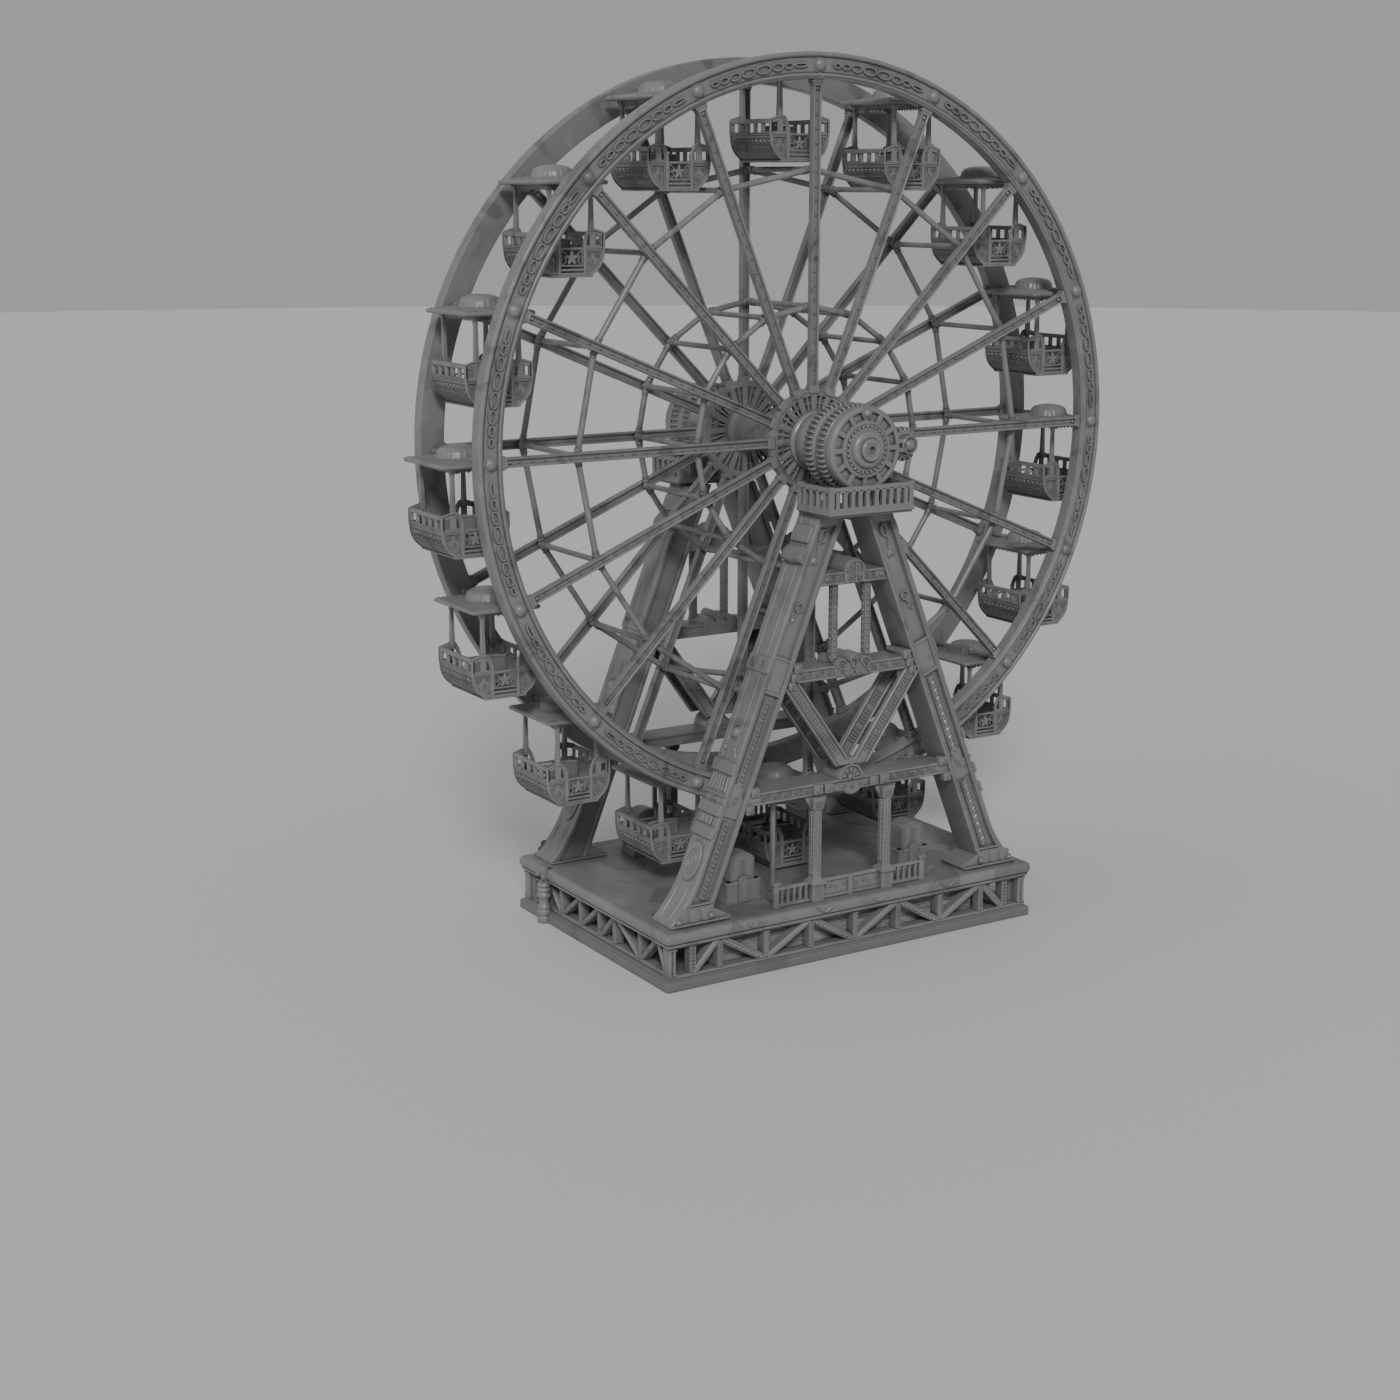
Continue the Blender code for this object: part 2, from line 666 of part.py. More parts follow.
def build_railing(name, length, low, high, balusters, depth):
    """A straight railing along X round zero: two rails and a row of balusters."""
    rails = [box("rail", (-length / 2, -depth / 2, z), (length / 2, depth / 2, z + RAIL_HEIGHT))
             for z in (low, high - RAIL_HEIGHT)]
    pitch = length / (balusters + 1)
    half, deep = BALUSTER_WIDTH / 2, depth / 2 * BALUSTER_DEPTH_SHARE
    uprights = []
    for number in range(balusters):
        x = -length / 2 + pitch * (number + 1)
        uprights.append(box("baluster", (x - half, -deep, low + LAP), (x + half, deep, high - LAP)))
    return combined(joined(name, rails), [joined("balusters", uprights)])


def build_colonnade(side):
    """Two columns under the lower beam, with pedestals, capitals and the railing between."""
    low, high = DECK_TOP + GAP, LOWER_BEAM_Z[0] - GAP
    y = side * COLUMN_Y

    def upright(name, x, width, foot, top):
        return box(name, (x - width / 2, y - width / 2, foot), (x + width / 2, y + width / 2, top))

    railing = build_railing("railing", 2 * RAILING_END_X, low, low + RAILING_HEIGHT,
                            RAILING_BALUSTERS, RAILING_DEPTH)
    railing.location.y = y
    shafts, feet, heads = [], [], []
    for x in (-COLUMN_X, COLUMN_X):
        shafts.append(upright("shaft", x, COLUMN_WIDTH, low + SHAFT_END, high - SHAFT_END))
        feet.append(upright("foot", x, PEDESTAL_WIDTH, low, low + PEDESTAL_HEIGHT))
        heads.append(upright("head", x, PEDESTAL_WIDTH, high - CAPITAL_HEIGHT, high))
    post_top = low + RAILING_HEIGHT + RAILING_POST_RISE
    ends = [upright("end", x, RAILING_POST, low, post_top) for x in (-RAILING_END_X, RAILING_END_X)]
    tools = [joined("feet", feet + ends), joined("shafts", shafts), joined("heads", heads)]
    finished(combined(railing, tools), f"colonnade_{side_name(side)}", TOWER_PAINT)


def build_balcony(side):
    """The slab on the leg tops, with railings on the three sides away from the wheel."""
    low = LEG_TOP + GAP
    ys = span(side, BALCONY_BACK_Y, BALCONY_FRONT_Y)
    slab = box("slab", (-BALCONY_X, ys[0], low), (BALCONY_X, ys[1], low + BALCONY_SLAB))
    foot, top = low + BALCONY_SLAB - LAP, BALCONY_RAIL_TOP
    ends = BALCONY_POST + 2 * LAP
    panel = build_railing("panel", 2 * BALCONY_X - ends, foot, top, BALUSTERS_FRONT, BALCONY_PANEL_DEPTH)
    panel.location.y = side * (BALCONY_FRONT_Y - BALCONY_RAIL_INSET)
    sides = []
    for x_side in (-1, 1):
        piece = build_railing("side", ys[1] - ys[0] - ends, foot - LAP / 2, top - LAP / 2,
                              BALUSTERS_SIDE, BALCONY_SIDE_DEPTH)
        piece.rotation_euler = (0.0, 0.0, math.pi / 2)
        piece.location = (x_side * (BALCONY_X - BALCONY_RAIL_INSET), sum(ys) / 2, 0.0)
        sides.append(piece)
    half = BALCONY_POST / 2
    inset = half + LAP / 4
    posts = [box("post", (x - half, y - half, foot - LAP), (x + half, y + half, top + LAP))
             for x in (-BALCONY_X + inset, BALCONY_X - inset)
             for y in (side * (BALCONY_FRONT_Y - inset), side * (BALCONY_BACK_Y + inset))]
    balcony = combined(slab, [joined("posts", posts), joined("panels", [panel, *sides])])
    finished(balcony, f"balcony_{side_name(side)}", TOWER_PAINT)


def build_housing(side):
    """The fixed cover of the gear drum on its pedestal, with the bearing and the pinion bracket."""
    centre = (0.0, HUB_HEIGHT)
    half = 360.0 / COVER_WINDOWS / 2
    (inner, outer), (inner_bar, outer_bar) = WINDOW_RADII, WINDOW_BAR_ANGLES
    windows = []
    for number in range(COVER_WINDOWS):
        middle = 90.0 + (number + 0.5) * 360.0 / COVER_WINDOWS
        windows.append([polar(inner, middle - half + inner_bar), polar(outer, middle - half + outer_bar),
                        polar(outer, middle + half - outer_bar), polar(inner, middle + half - inner_bar)])
    ys = span(side, COVER_PLATE_Y, COVER_FRONT_Y)
    cover = plate("cover", circle(COVER_RADIUS, COVER_SIDES), ys, windows, centre)
    band_radius = COVER_RADIUS - BAND_INSET
    ys = span(side, COVER_BACK_Y, COVER_PLATE_Y + LAP)
    band = plate("band", circle(band_radius, COVER_SIDES), ys,
                 [circle(band_radius - BAND_THICKNESS, COVER_SIDES)], centre)
    collar = plate("collar", circle(COLLAR_RADIUS, 12), span(side, COVER_BACK_Y + 2 * LAP, COVER_PLATE_Y + LAP),
                   [circle(SHAFT_RADIUS + SHAFT_CLEARANCE, 16)], centre)
    ys = span(side, COVER_FRONT_Y - LAP, COVER_FRONT_Y + CAP_HEIGHT)
    cap = round_bar("cap", centre, CAP_RADIUS, ys, 16)
    boss = round_bar("boss", centre, BOSS_RADIUS, span(side, COVER_FRONT_Y, BOSS_FRONT_Y), 12)
    ys = span(side, COVER_FRONT_Y - LAP, COVER_FRONT_Y + KNOB_DEPTH)
    knob = round_bar("knob", (0.0, HUB_HEIGHT + KNOB_HEIGHT), KNOB_RADIUS, ys, 8)
    top = HUB_HEIGHT - COVER_RADIUS + BAND_THICKNESS + 2 * LAP
    ys = span(side, COVER_BACK_Y + LAP, COVER_FRONT_Y - LAP / 2)
    pedestal = box("pedestal", (-HOUSING_PEDESTAL_X, ys[0], LEG_TOP + BALCONY_SLAB + 2 * GAP),
                   (HOUSING_PEDESTAL_X, ys[1], top))
    y = side * (COVER_FRONT_Y - ARM_OFFSET)
    arms = [bar("arm", (COVER_RADIUS - BAND_THICKNESS, y, z), (PINION_X, y, z), ARM_WIDTH, ARM_DEPTH)
            for z in (HUB_HEIGHT - ARM_OFFSET, HUB_HEIGHT + ARM_OFFSET)]
    ys = span(side, COVER_BACK_Y + ARM_OFFSET, COVER_FRONT_Y)
    eye = round_bar("eye", (PINION_X, HUB_HEIGHT), EYE_RADIUS, ys, 8)
    housing = combined(cover, [band, collar, cap, boss, knob, pedestal, joined("arms", arms), eye])
    finished(smooth(housing), f"bearing_housing_{side_name(side)}", GEAR_METAL)


def build_booth(side, x_side):
    """A stepped stand on the deck, with a round-topped door panel."""
    x = x_side * BOOTH_X
    y = side * BOOTH_Y
    low = DECK_TOP + GAP
    lower = box("lower", (x - BOOTH_HALF_X, y - BOOTH_HALF_Y, low),
                (x + BOOTH_HALF_X, y + BOOTH_HALF_Y, low + BOOTH_HEIGHT))
    half, foot, top = BOOTH_TOP_HALF_X, low + BOOTH_TOP_FOOT, low + BOOTH_TOP_HEIGHT
    springing = math.degrees(math.atan2(BOOTH_VAULT_DROP, half))
    outline = [(x - half, foot), (x + half, foot),
               *arc((x, top - BOOTH_VAULT_DROP), math.hypot(half, BOOTH_VAULT_DROP), springing,
                    180.0 - springing, 4)]
    upper = plate("upper", outline, (y - BOOTH_TOP_HALF_Y, y + BOOTH_TOP_HALF_Y))
    panel_x, panel_top = BOOTH_PANEL_HALF, low + BOOTH_PANEL_HEIGHT
    outline = [(x - panel_x, low), (x + panel_x, low), *arc((x, panel_top), panel_x, 0.0, 180.0, 6)]
    y_panel = y + side * (BOOTH_HALF_Y - LAP)
    panel = plate("panel", outline, sorted((y_panel, y_panel + side * (LAP + BOOTH_PANEL_PROUD))))
    word = "left" if x_side < 0 else "right"
    finished(combined(lower, [upper, panel]), f"booth_{side_name(side)}_{word}", TOWER_PAINT)


def build_rim(side, wheel):
    """One rim: a flat ring with two raised lips on its outward face."""
    half = RIM_THICKNESS / 2
    profile = [(RIM_OUTER, half), (RIM_OUTER, -half), (RIM_INNER, -half), (RIM_INNER, half),
               (RIM_INNER + RIM_LIP, half), (RIM_INNER + RIM_LIP, half - RIM_RECESS),
               (RIM_OUTER - RIM_LIP, half - RIM_RECESS), (RIM_OUTER - RIM_LIP, half)]
    rim = turned("rim", profile, RIM_STEPS, (0.0, side * RIM_MID_Y, HUB_HEIGHT), side, closed=True)
    rim.rotation_euler.rotate(Matrix.Rotation(math.pi / RIM_STEPS, 3, "Y"))
    finished(smooth(baked(rim)), f"rim_{side_name(side)}", WHEEL_PAINT, wheel)


def build_spokes(side, wheel):
    """Sixteen spokes on a ribbed hub flange, cut from one plate."""
    step = 360.0 / GONDOLAS
    tip = RIM_INNER * math.cos(math.pi / RIM_STEPS) - GAP
    half = SPOKE_WIDTH / 2
    outline, windows = [], []
    for number in range(GONDOLAS):
        angle = number * step
        root = math.sqrt(FLANGE_RADIUS ** 2 - half ** 2)
        outline += [polar(root, angle, -half), polar(tip, angle, -half), polar(tip, angle, half),
                    polar(root, angle, half), polar(FLANGE_RADIUS, angle + step / 2)]
        middle = angle + step / 2
        windows.append([polar(HUB_CORE_RADIUS, middle - 5), polar(FLANGE_INNER, middle - 8),
                        polar(FLANGE_INNER, middle + 8), polar(HUB_CORE_RADIUS, middle + 5)])
    bore = circle(JOURNAL_RADIUS + GAP, 16)
    ys = span(side, RIM_MID_Y - SPOKE_DEPTH / 2, RIM_MID_Y + SPOKE_DEPTH / 2)
    spokes = plate("spokes", outline, ys, [bore, *windows], (0.0, HUB_HEIGHT))
    finished(spokes, f"spokes_{side_name(side)}", WHEEL_PAINT, wheel)


def build_brace_ring(name, radius, wheel):
    """Rods round both sides of the wheel, from spoke to spoke, and rods across between them."""
    y_ring = RIM_MID_Y - SPOKE_DEPTH / 2 - GAP - ROD_RADIUS
    rings = []
    for side in (FRONT, BACK):
        route = bpy.data.curves.new("ring", "CURVE")
        route.dimensions = "3D"
        route.bevel_depth = ROD_RADIUS
        route.bevel_resolution = 0
        spline = route.splines.new("POLY")
        spline.points.add(GONDOLAS - 1)
        for number, point in enumerate(spline.points):
            x, z = polar(radius, number * 360.0 / GONDOLAS)
            point.co = (x, side * y_ring, HUB_HEIGHT + z, 1.0)
        spline.use_cyclic_u = True
        rings.append(baked(add_object("ring", route)))
    rods = []
    for number in range(GONDOLAS):
        x, z = polar(radius, number * 360.0 / GONDOLAS)
        rods.append(round_bar("rod", (x, HUB_HEIGHT + z), ROD_RADIUS * 0.9, (-y_ring, y_ring), 4))
    brace = combined(joined("rings", rings), [joined("rods", rods)])
    finished(smooth(brace), name, WHEEL_PAINT, wheel)


def build_axle(wheel):
    """The hub barrel between the two flanges, with a journal at each end."""
    face = RIM_MID_Y - SPOKE_DEPTH / 2 - GAP
    end = RIM_MID_Y + SPOKE_DEPTH / 2
    profile = [(0.0, end), (JOURNAL_RADIUS, end), (JOURNAL_RADIUS, face), (BARREL_RADIUS, face),
               (BARREL_RADIUS, -face), (JOURNAL_RADIUS, -face), (JOURNAL_RADIUS, -end), (0.0, -end)]
    axle = turned("axle", profile, 16, (0.0, 0.0, HUB_HEIGHT), FRONT)
    finished(smooth(baked(axle)), "hub_axle", WHEEL_PAINT, wheel)


def gear_outline(teeth):
    """A toothed outline with straight-sided teeth, the first tooth at the right."""
    pitch_radius = GEAR_MODULE * teeth / 2
    pitch = 360.0 / teeth
    root, tip = pitch_radius - TOOTH_SINK, pitch_radius + TOOTH_RISE
    points = []
    for number in range(teeth):
        middle = number * pitch
        wide, narrow = pitch * TOOTH_ROOT_SHARE / 2, pitch * TOOTH_TIP_SHARE / 2
        points += [polar(root, middle - wide), polar(tip, middle - narrow),
                   polar(tip, middle + narrow), polar(root, middle + wide)]
    return points


def build_drum(side, wheel):
    """The neck and the two rings of the gear drum; the outer ring drives the pinion."""
    centre = (0.0, HUB_HEIGHT)
    start, end = RIM_MID_Y + SPOKE_DEPTH / 2 + GAP, COVER_PLATE_Y - GAP
    profile = [(0.0, end), (SHAFT_RADIUS, end), (SHAFT_RADIUS, RING_2_Y[1] - LAP),
               (DRUM_CORE_RADIUS, RING_2_Y[1] - LAP), (DRUM_CORE_RADIUS, RING_1_Y[0] + LAP), *NECK_FLARE,
               (NECK_RADIUS, start + NECK_FLANGE[0]), (NECK_FLANGE_RADIUS, start + NECK_FLANGE[1]),
               (NECK_FLANGE_RADIUS, start), (0.0, start)]
    body = turned("body", profile, 16, (0.0, 0.0, HUB_HEIGHT), side)
    toothed = plate("toothed", gear_outline(DRUM_TEETH), span(side, *RING_2_Y), (), centre)
    pitch_radius = GEAR_MODULE * DRUM_TEETH / 2
    plain = round_bar("plain", centre, pitch_radius, span(side, *RING_1_Y), 24)
    drum = combined(baked(body), [toothed, plain])
    finished(smooth(drum), f"gear_drum_{side_name(side)}", GEAR_METAL, wheel)


def build_pinion(side):
    """The small gear that meshes with the drum, on its own short shaft."""
    hinge = pivot(f"pinion_axis_{side_name(side)}", (PINION_X, 0.0, HUB_HEIGHT))
    centre = (PINION_X, HUB_HEIGHT)
    ys = span(side, RING_2_Y[0] + PINION_INSET_Y, RING_2_Y[1] - PINION_INSET_Y)
    gear = plate("gear", gear_outline(PINION_TEETH), ys, (), centre)
    half_tooth = math.radians(180.0 / PINION_TEETH)
    gear.rotation_euler.rotate(Matrix.Rotation(half_tooth, 3, "Y"))
    ys = span(side, RING_2_Y[0] - PINION_SHAFT_START, COVER_BACK_Y + ARM_OFFSET - GAP)
    shaft = round_bar("shaft", centre, PINION_SHAFT_RADIUS, ys, 12)
    finished(smooth(combined(gear, [shaft])), f"pinion_{side_name(side)}", GEAR_METAL, hinge)


def tub_outline(inset, top):
    """The cross section of a tub: upright sides down to a knee, then sloping in to the floor."""
    floor = TUB_BOTTOM + inset
    floor_x, side_x = TUB_FLOOR_X - inset / 2, TUB_X - inset
    return [(-floor_x, floor), (floor_x, floor), (side_x - TUB_CURVE_IN, TUB_CURVE_Z),
            (side_x, TUB_KNEE_Z), (side_x, top), (-side_x, top),
            (-side_x, TUB_KNEE_Z), (-side_x + TUB_CURVE_IN, TUB_CURVE_Z)]


def build_gondola_mesh():
    """One gondola round its pin: a tub with gates, four posts, a domed roof and a double bench."""
    tub = plate("tub", tub_outline(0.0, TUB_TOP), (-TUB_Y, TUB_Y))
    inside = plate("inside", tub_outline(TUB_WALL, TUB_TOP + LAP), (-TUB_Y + TUB_WALL, TUB_Y - TUB_WALL))
    gates = plate("gates", rectangle(-GATE_HALF_WIDTH, GATE_HALF_WIDTH, GATE_TOP, TUB_TOP + LAP),
                  (-TUB_Y - LAP, TUB_Y + LAP))
    tub = cut(tub, [inside, gates])

    roof = box("roof", (-ROOF_X, -ROOF_Y, ROOF_Z[0]), (ROOF_X, ROOF_Y, ROOF_Z[1]))
    dome = baked(turned("dome", [*DOME_PROFILE, (0.0, DOME_PROFILE[-1][1])], 8, (0.0, 0.0, 0.0)))
    end = RIM_MID_Y - RIM_THICKNESS / 2 - GAP
    pin = round_bar("pin", (0.0, 0.0), PIN_RADIUS, (-end, end), 6)
    half = POST_WIDTH / 2
    y_post = TUB_Y - half - POST_INSET_Y
    posts = [box("post", (x - half, y - half, TUB_TOP - POST_FOOT), (x + half, y + half, ROOF_Z[0] + LAP))
             for x in (-POST_X, POST_X) for y in (-y_post, y_post)]
    bench = box("bench", (-BENCH_X, -BENCH_Y, TUB_BOTTOM + TUB_WALL - LAP), (BENCH_X, BENCH_Y, BENCH_TOP))
    gondola = combined(tub, [joined("posts", posts), roof, dome, pin, bench])
    gondola.data.name = "gondola"
    mesh = gondola.data
    bpy.context.view_layer.update()
    mesh.transform(gondola.matrix_world)
    bpy.data.objects.remove(gondola, do_unlink=True)
    return mesh


def build_gondolas(wheel):
    """Hang the sixteen gondolas from their pins, level, on axes round the wheel."""
    mesh = build_gondola_mesh()
    for number in range(GONDOLAS):
        x, z = polar(PIN_CIRCLE, 90.0 - number * 360.0 / GONDOLAS)
        axis = pivot(f"gondola_axis_{number + 1:02d}", (x, 0.0, HUB_HEIGHT + z), wheel)
        gondola = add_object(f"gondola_{number + 1:02d}", mesh)
        gondola.location = (x, 0.0, HUB_HEIGHT + z)
        finished(gondola, f"gondola_{number + 1:02d}", GONDOLA_PAINT, axis)


def build_tower(side):
    """One A-frame tower with everything fixed to it."""
    for x_side in (-1, 1):
        build_leg(side, x_side)
        build_booth(side, x_side)
    build_beams(side)
    build_v_brace(side)
    build_colonnade(side)
    build_balcony(side)
    build_housing(side)


def build_wheel():
    """The turning wheel with its hub, drums, pinions and gondolas."""
    wheel = pivot("wheel_axis", (0.0, 0.0, HUB_HEIGHT))
    for side in (FRONT, BACK):
        build_rim(side, wheel)
        build_spokes(side, wheel)
        build_drum(side, wheel)
        build_pinion(side)
    build_brace_ring("outer_brace_ring", OUTER_BRACE_RADIUS, wheel)
    build_brace_ring("inner_brace_ring", INNER_BRACE_RADIUS, wheel)
    build_axle(wheel)
    build_gondolas(wheel)


build_plinth()
for truss_side in (FRONT, BACK):
    build_long_truss(truss_side)
for truss_end in (-1, 1):
    build_end_truss(truss_end)
for tower_side in (FRONT, BACK):
    build_tower(tower_side)
build_wheel()
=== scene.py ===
"""Dresses the ferris wheel in its cast detail and finishes, and sets the floor, the light and the camera.

Metres, +Z up. X runs along the plane of the wheel, Y along its axle, and the front is towards -Y.
Pieces of the towers and the wheel are drawn as (across, up, out), where out is the distance from the
middle plane of the wheel, and Side.place stands a drawing on the front or mirrors it to the back.
"""

import logging
import math
from collections.abc import Iterable, Sequence
from dataclasses import dataclass
from enum import Enum
from functools import lru_cache

import bmesh
import bpy
import numpy as np
from mathutils import Matrix, Vector


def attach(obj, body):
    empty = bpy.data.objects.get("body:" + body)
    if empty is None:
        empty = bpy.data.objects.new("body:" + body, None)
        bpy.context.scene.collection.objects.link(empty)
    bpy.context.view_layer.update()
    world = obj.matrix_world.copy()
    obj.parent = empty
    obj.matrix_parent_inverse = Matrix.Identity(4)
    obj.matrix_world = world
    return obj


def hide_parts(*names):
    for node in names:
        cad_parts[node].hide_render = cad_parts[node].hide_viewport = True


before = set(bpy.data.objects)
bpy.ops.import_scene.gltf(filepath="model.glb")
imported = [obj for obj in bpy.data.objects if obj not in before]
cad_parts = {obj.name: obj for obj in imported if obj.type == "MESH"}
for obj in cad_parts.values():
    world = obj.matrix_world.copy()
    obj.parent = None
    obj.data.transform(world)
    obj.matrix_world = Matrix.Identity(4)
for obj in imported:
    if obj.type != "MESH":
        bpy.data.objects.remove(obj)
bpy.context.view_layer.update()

log = logging.getLogger("ferris_wheel")

Outline = Sequence[tuple[float, float]]
Path3 = Sequence[Sequence[float]]

HUB_HEIGHT = 11.356
GONDOLAS = 16
SECTOR = 360.0 / GONDOLAS
DECK_TOP = 1.30


class Form:
    """Points and faces of a shape in metres, before it becomes a mesh."""

    def __init__(self, points: np.ndarray, corners: np.ndarray, sizes: np.ndarray) -> None:
        """Keep the points, the point numbers of all faces in one row, and how many each face has."""
        self.points = np.asarray(points, float).reshape(-1, 3)
        self.corners = np.asarray(corners, int).ravel()
        self.sizes = np.asarray(sizes, int).ravel()

    @classmethod
    def joined(cls, forms: Iterable["Form"]) -> "Form":
        """Put several shapes side by side into one.

        Args:
            forms: the shapes.

        Returns:
            One shape with all their points and faces.
        """
        parts = list(forms)
        starts = np.cumsum([0] + [len(part.points) for part in parts])
        corners = [part.corners + start for part, start in zip(parts, starts)]
        return cls(np.vstack([part.points for part in parts]), np.concatenate(corners),
                   np.concatenate([part.sizes for part in parts]))

    @classmethod
    def of_mesh(cls, mesh: bpy.types.Mesh) -> "Form":
        """Read a shape back from a mesh.

        Args:
            mesh: the mesh to read.

        Returns:
            The same points and faces.
        """
        points = np.empty(len(mesh.vertices) * 3)
        mesh.vertices.foreach_get("co", points)
        corners = np.empty(len(mesh.loops), dtype=np.int32)
        mesh.loops.foreach_get("vertex_index", corners)
        sizes = np.empty(len(mesh.polygons), dtype=np.int32)
        mesh.polygons.foreach_get("loop_total", sizes)
        return cls(points, corners, sizes)

    def moved(self, matrix: np.ndarray) -> "Form":
        """Move, turn, stretch or mirror the shape.

        Args:
            matrix: the 4 by 4 change of place.

        Returns:
            The moved shape, with its faces turned round where the change mirrors it.
        """
        change = np.array(matrix, float)
        points = self.points @ change[:3, :3].T + change[:3, 3]
        if np.linalg.det(change[:3, :3]) < 0.0:
            return Form(points, self.corners[::-1], self.sizes[::-1])
        return Form(points, self.corners, self.sizes)

    def shifted(self, x: float = 0.0, y: float = 0.0, z: float = 0.0) -> "Form":
        """Slide the shape along its axes."""
        return self.moved(shift(x, y, z))

    def repeated(self, matrices: Iterable[np.ndarray]) -> "Form":
        """Set one copy of the shape at each of several places."""
        return Form.joined(self.moved(matrix) for matrix in matrices)

    def mirrored(self, axis: int) -> "Form":
        """Mirror the shape across the zero of one axis."""
        factors = [1.0, 1.0, 1.0, 1.0]
        factors[axis] = -1.0
        return self.moved(np.diag(factors))

    def doubled(self, axis: int) -> "Form":
        """Put the shape and its mirror image together."""
        return Form.joined([self, self.mirrored(axis)])

    def mapped(self, place) -> "Form":
        """Move each point by a function that takes and returns a table of points."""
        return Form(place(self.points), self.corners, self.sizes)

    def tidy(self) -> "Form":
        """Drop the points that no face uses."""
        used, corners = np.unique(self.corners, return_inverse=True)
        return Form(self.points[used], corners, self.sizes)

    def outward(self) -> "Form":
        """Turn the faces of a closed shape round if they point inwards."""
        ends = np.cumsum(self.sizes)
        starts = ends - self.sizes
        face = np.repeat(np.arange(len(self.sizes)), self.sizes)
        inner = np.ones(len(self.corners), bool)
        inner[starts] = False
        inner[ends - 1] = False
        middle = np.flatnonzero(inner)
        centre = self.points.mean(axis=0)
        first = self.points[self.corners[starts[face[middle]]]] - centre
        second = self.points[self.corners[middle]] - centre
        third = self.points[self.corners[middle + 1]] - centre
        volume = np.einsum("ij,ij->", first, np.cross(second, third))
        if volume < 0.0:
            return Form(self.points, self.corners[::-1], self.sizes[::-1])
        return self

    def mesh(self, name: str, sharp_angle: float = 50.0) -> bpy.types.Mesh:
        """Make a mesh that is smooth apart from its sharp edges.

        Args:
            name: the name of the mesh.
            sharp_angle: faces that meet at more than this angle, in degrees, keep a hard edge.

        Returns:
            The new mesh.
        """
        made = bpy.data.meshes.new(name)
        made.vertices.add(len(self.points))
        made.vertices.foreach_set("co", self.points.ravel())
        made.loops.add(len(self.corners))
        made.loops.foreach_set("vertex_index", self.corners.astype(np.int32))
        made.polygons.add(len(self.sizes))
        made.polygons.foreach_set("loop_start", (np.cumsum(self.sizes) - self.sizes).astype(np.int32))
        made.update(calc_edges=True)
        made.validate()
        made.shade_smooth()
        made.set_sharp_from_angle(angle=math.radians(sharp_angle))
        return made


def shift(x: float = 0.0, y: float = 0.0, z: float = 0.0) -> np.ndarray:
    """A slide along the three axes."""
    made = np.eye(4)
    made[:3, 3] = x, y, z
    return made


def turn(degrees: float, axis: str = "Z") -> np.ndarray:
    """A turn round an axis."""
    return np.array(Matrix.Rotation(math.radians(degrees), 4, axis))


def stretch(x: float, y: float, z: float) -> np.ndarray:
    """A stretch along the three axes."""
    return np.diag([x, y, z, 1.0])


def arc(radius: float, start: float, end: float, steps: int,
        centre: tuple[float, float] = (0.0, 0.0)) -> list[tuple[float, float]]:
    """Points on an arc, both ends included.

    Args:
        radius: the radius of the arc.
        start: the first angle in degrees.
        end: the last angle in degrees.
        steps: how many straight pieces the arc has.
        centre: its centre.

    Returns:
        The points in order.
    """
    angles = np.radians(np.linspace(start, end, steps + 1))
    return list(zip(centre[0] + radius * np.cos(angles), centre[1] + radius * np.sin(angles)))


def circle(radius: float, sides: int) -> list[tuple[float, float]]:
    """Points on a whole circle round zero."""
    return arc(radius, 0.0, 360.0 * (sides - 1) / sides, sides - 1)


def rectangle(left: float, right: float, low: float, high: float, corner: float = 0.0) -> Outline:
    """A rectangle, with its corners cut off where a corner size is given.

    Args:
        left: its lowest value across.
        right: its highest value across.
        low: its lowest value up.
        high: its highest value up.
        corner: how much is cut off at each corner.

    Returns:
        Its corners, against the clock.
    """
    if not corner:
        return [(left, low), (right, low), (right, high), (left, high)]
    return [(left + corner, low), (right - corner, low), (right, low + corner), (right, high - corner),
            (right - corner, high), (left + corner, high), (left, high - corner), (left, low + corner)]


def polar(radius: float, degrees: float, across: float = 0.0) -> tuple[float, float]:
    """A point at a radius and an angle, moved sideways."""
    a = math.radians(degrees)
    return (radius * math.cos(a) - across * math.sin(a), radius * math.sin(a) + across * math.cos(a))


def against_clock(outline: Outline) -> np.ndarray:
    """The outline as a table, in the order against the clock."""
    points = np.asarray(outline, float)
    after = np.roll(points, -1, axis=0)
    area = (points[:, 0] * after[:, 1] - points[:, 1] * after[:, 0]).sum()
    return points if area > 0.0 else points[::-1]


def inset(outline: np.ndarray, distance: float) -> np.ndarray:
    """Draw an outline smaller by the same distance on every side.

    Args:
        outline: a table of points against the clock.
        distance: how far each side moves in.

    Returns:
        The smaller outline, with the same number of points.
    """
    before = outline - np.roll(outline, 1, axis=0)
    after = np.roll(outline, -1, axis=0) - outline
    lefts = []
    for run in (before, after):
        length = np.maximum(np.linalg.norm(run, axis=1, keepdims=True), 1e-9)
        lefts.append(np.column_stack([-run[:, 1], run[:, 0]]) / length)
    middle = lefts[0] + lefts[1]
    middle /= np.maximum(np.linalg.norm(middle, axis=1, keepdims=True), 1e-9)
    reach = distance / np.maximum((middle * lefts[0]).sum(axis=1, keepdims=True), 0.35)
    return outline + middle * reach


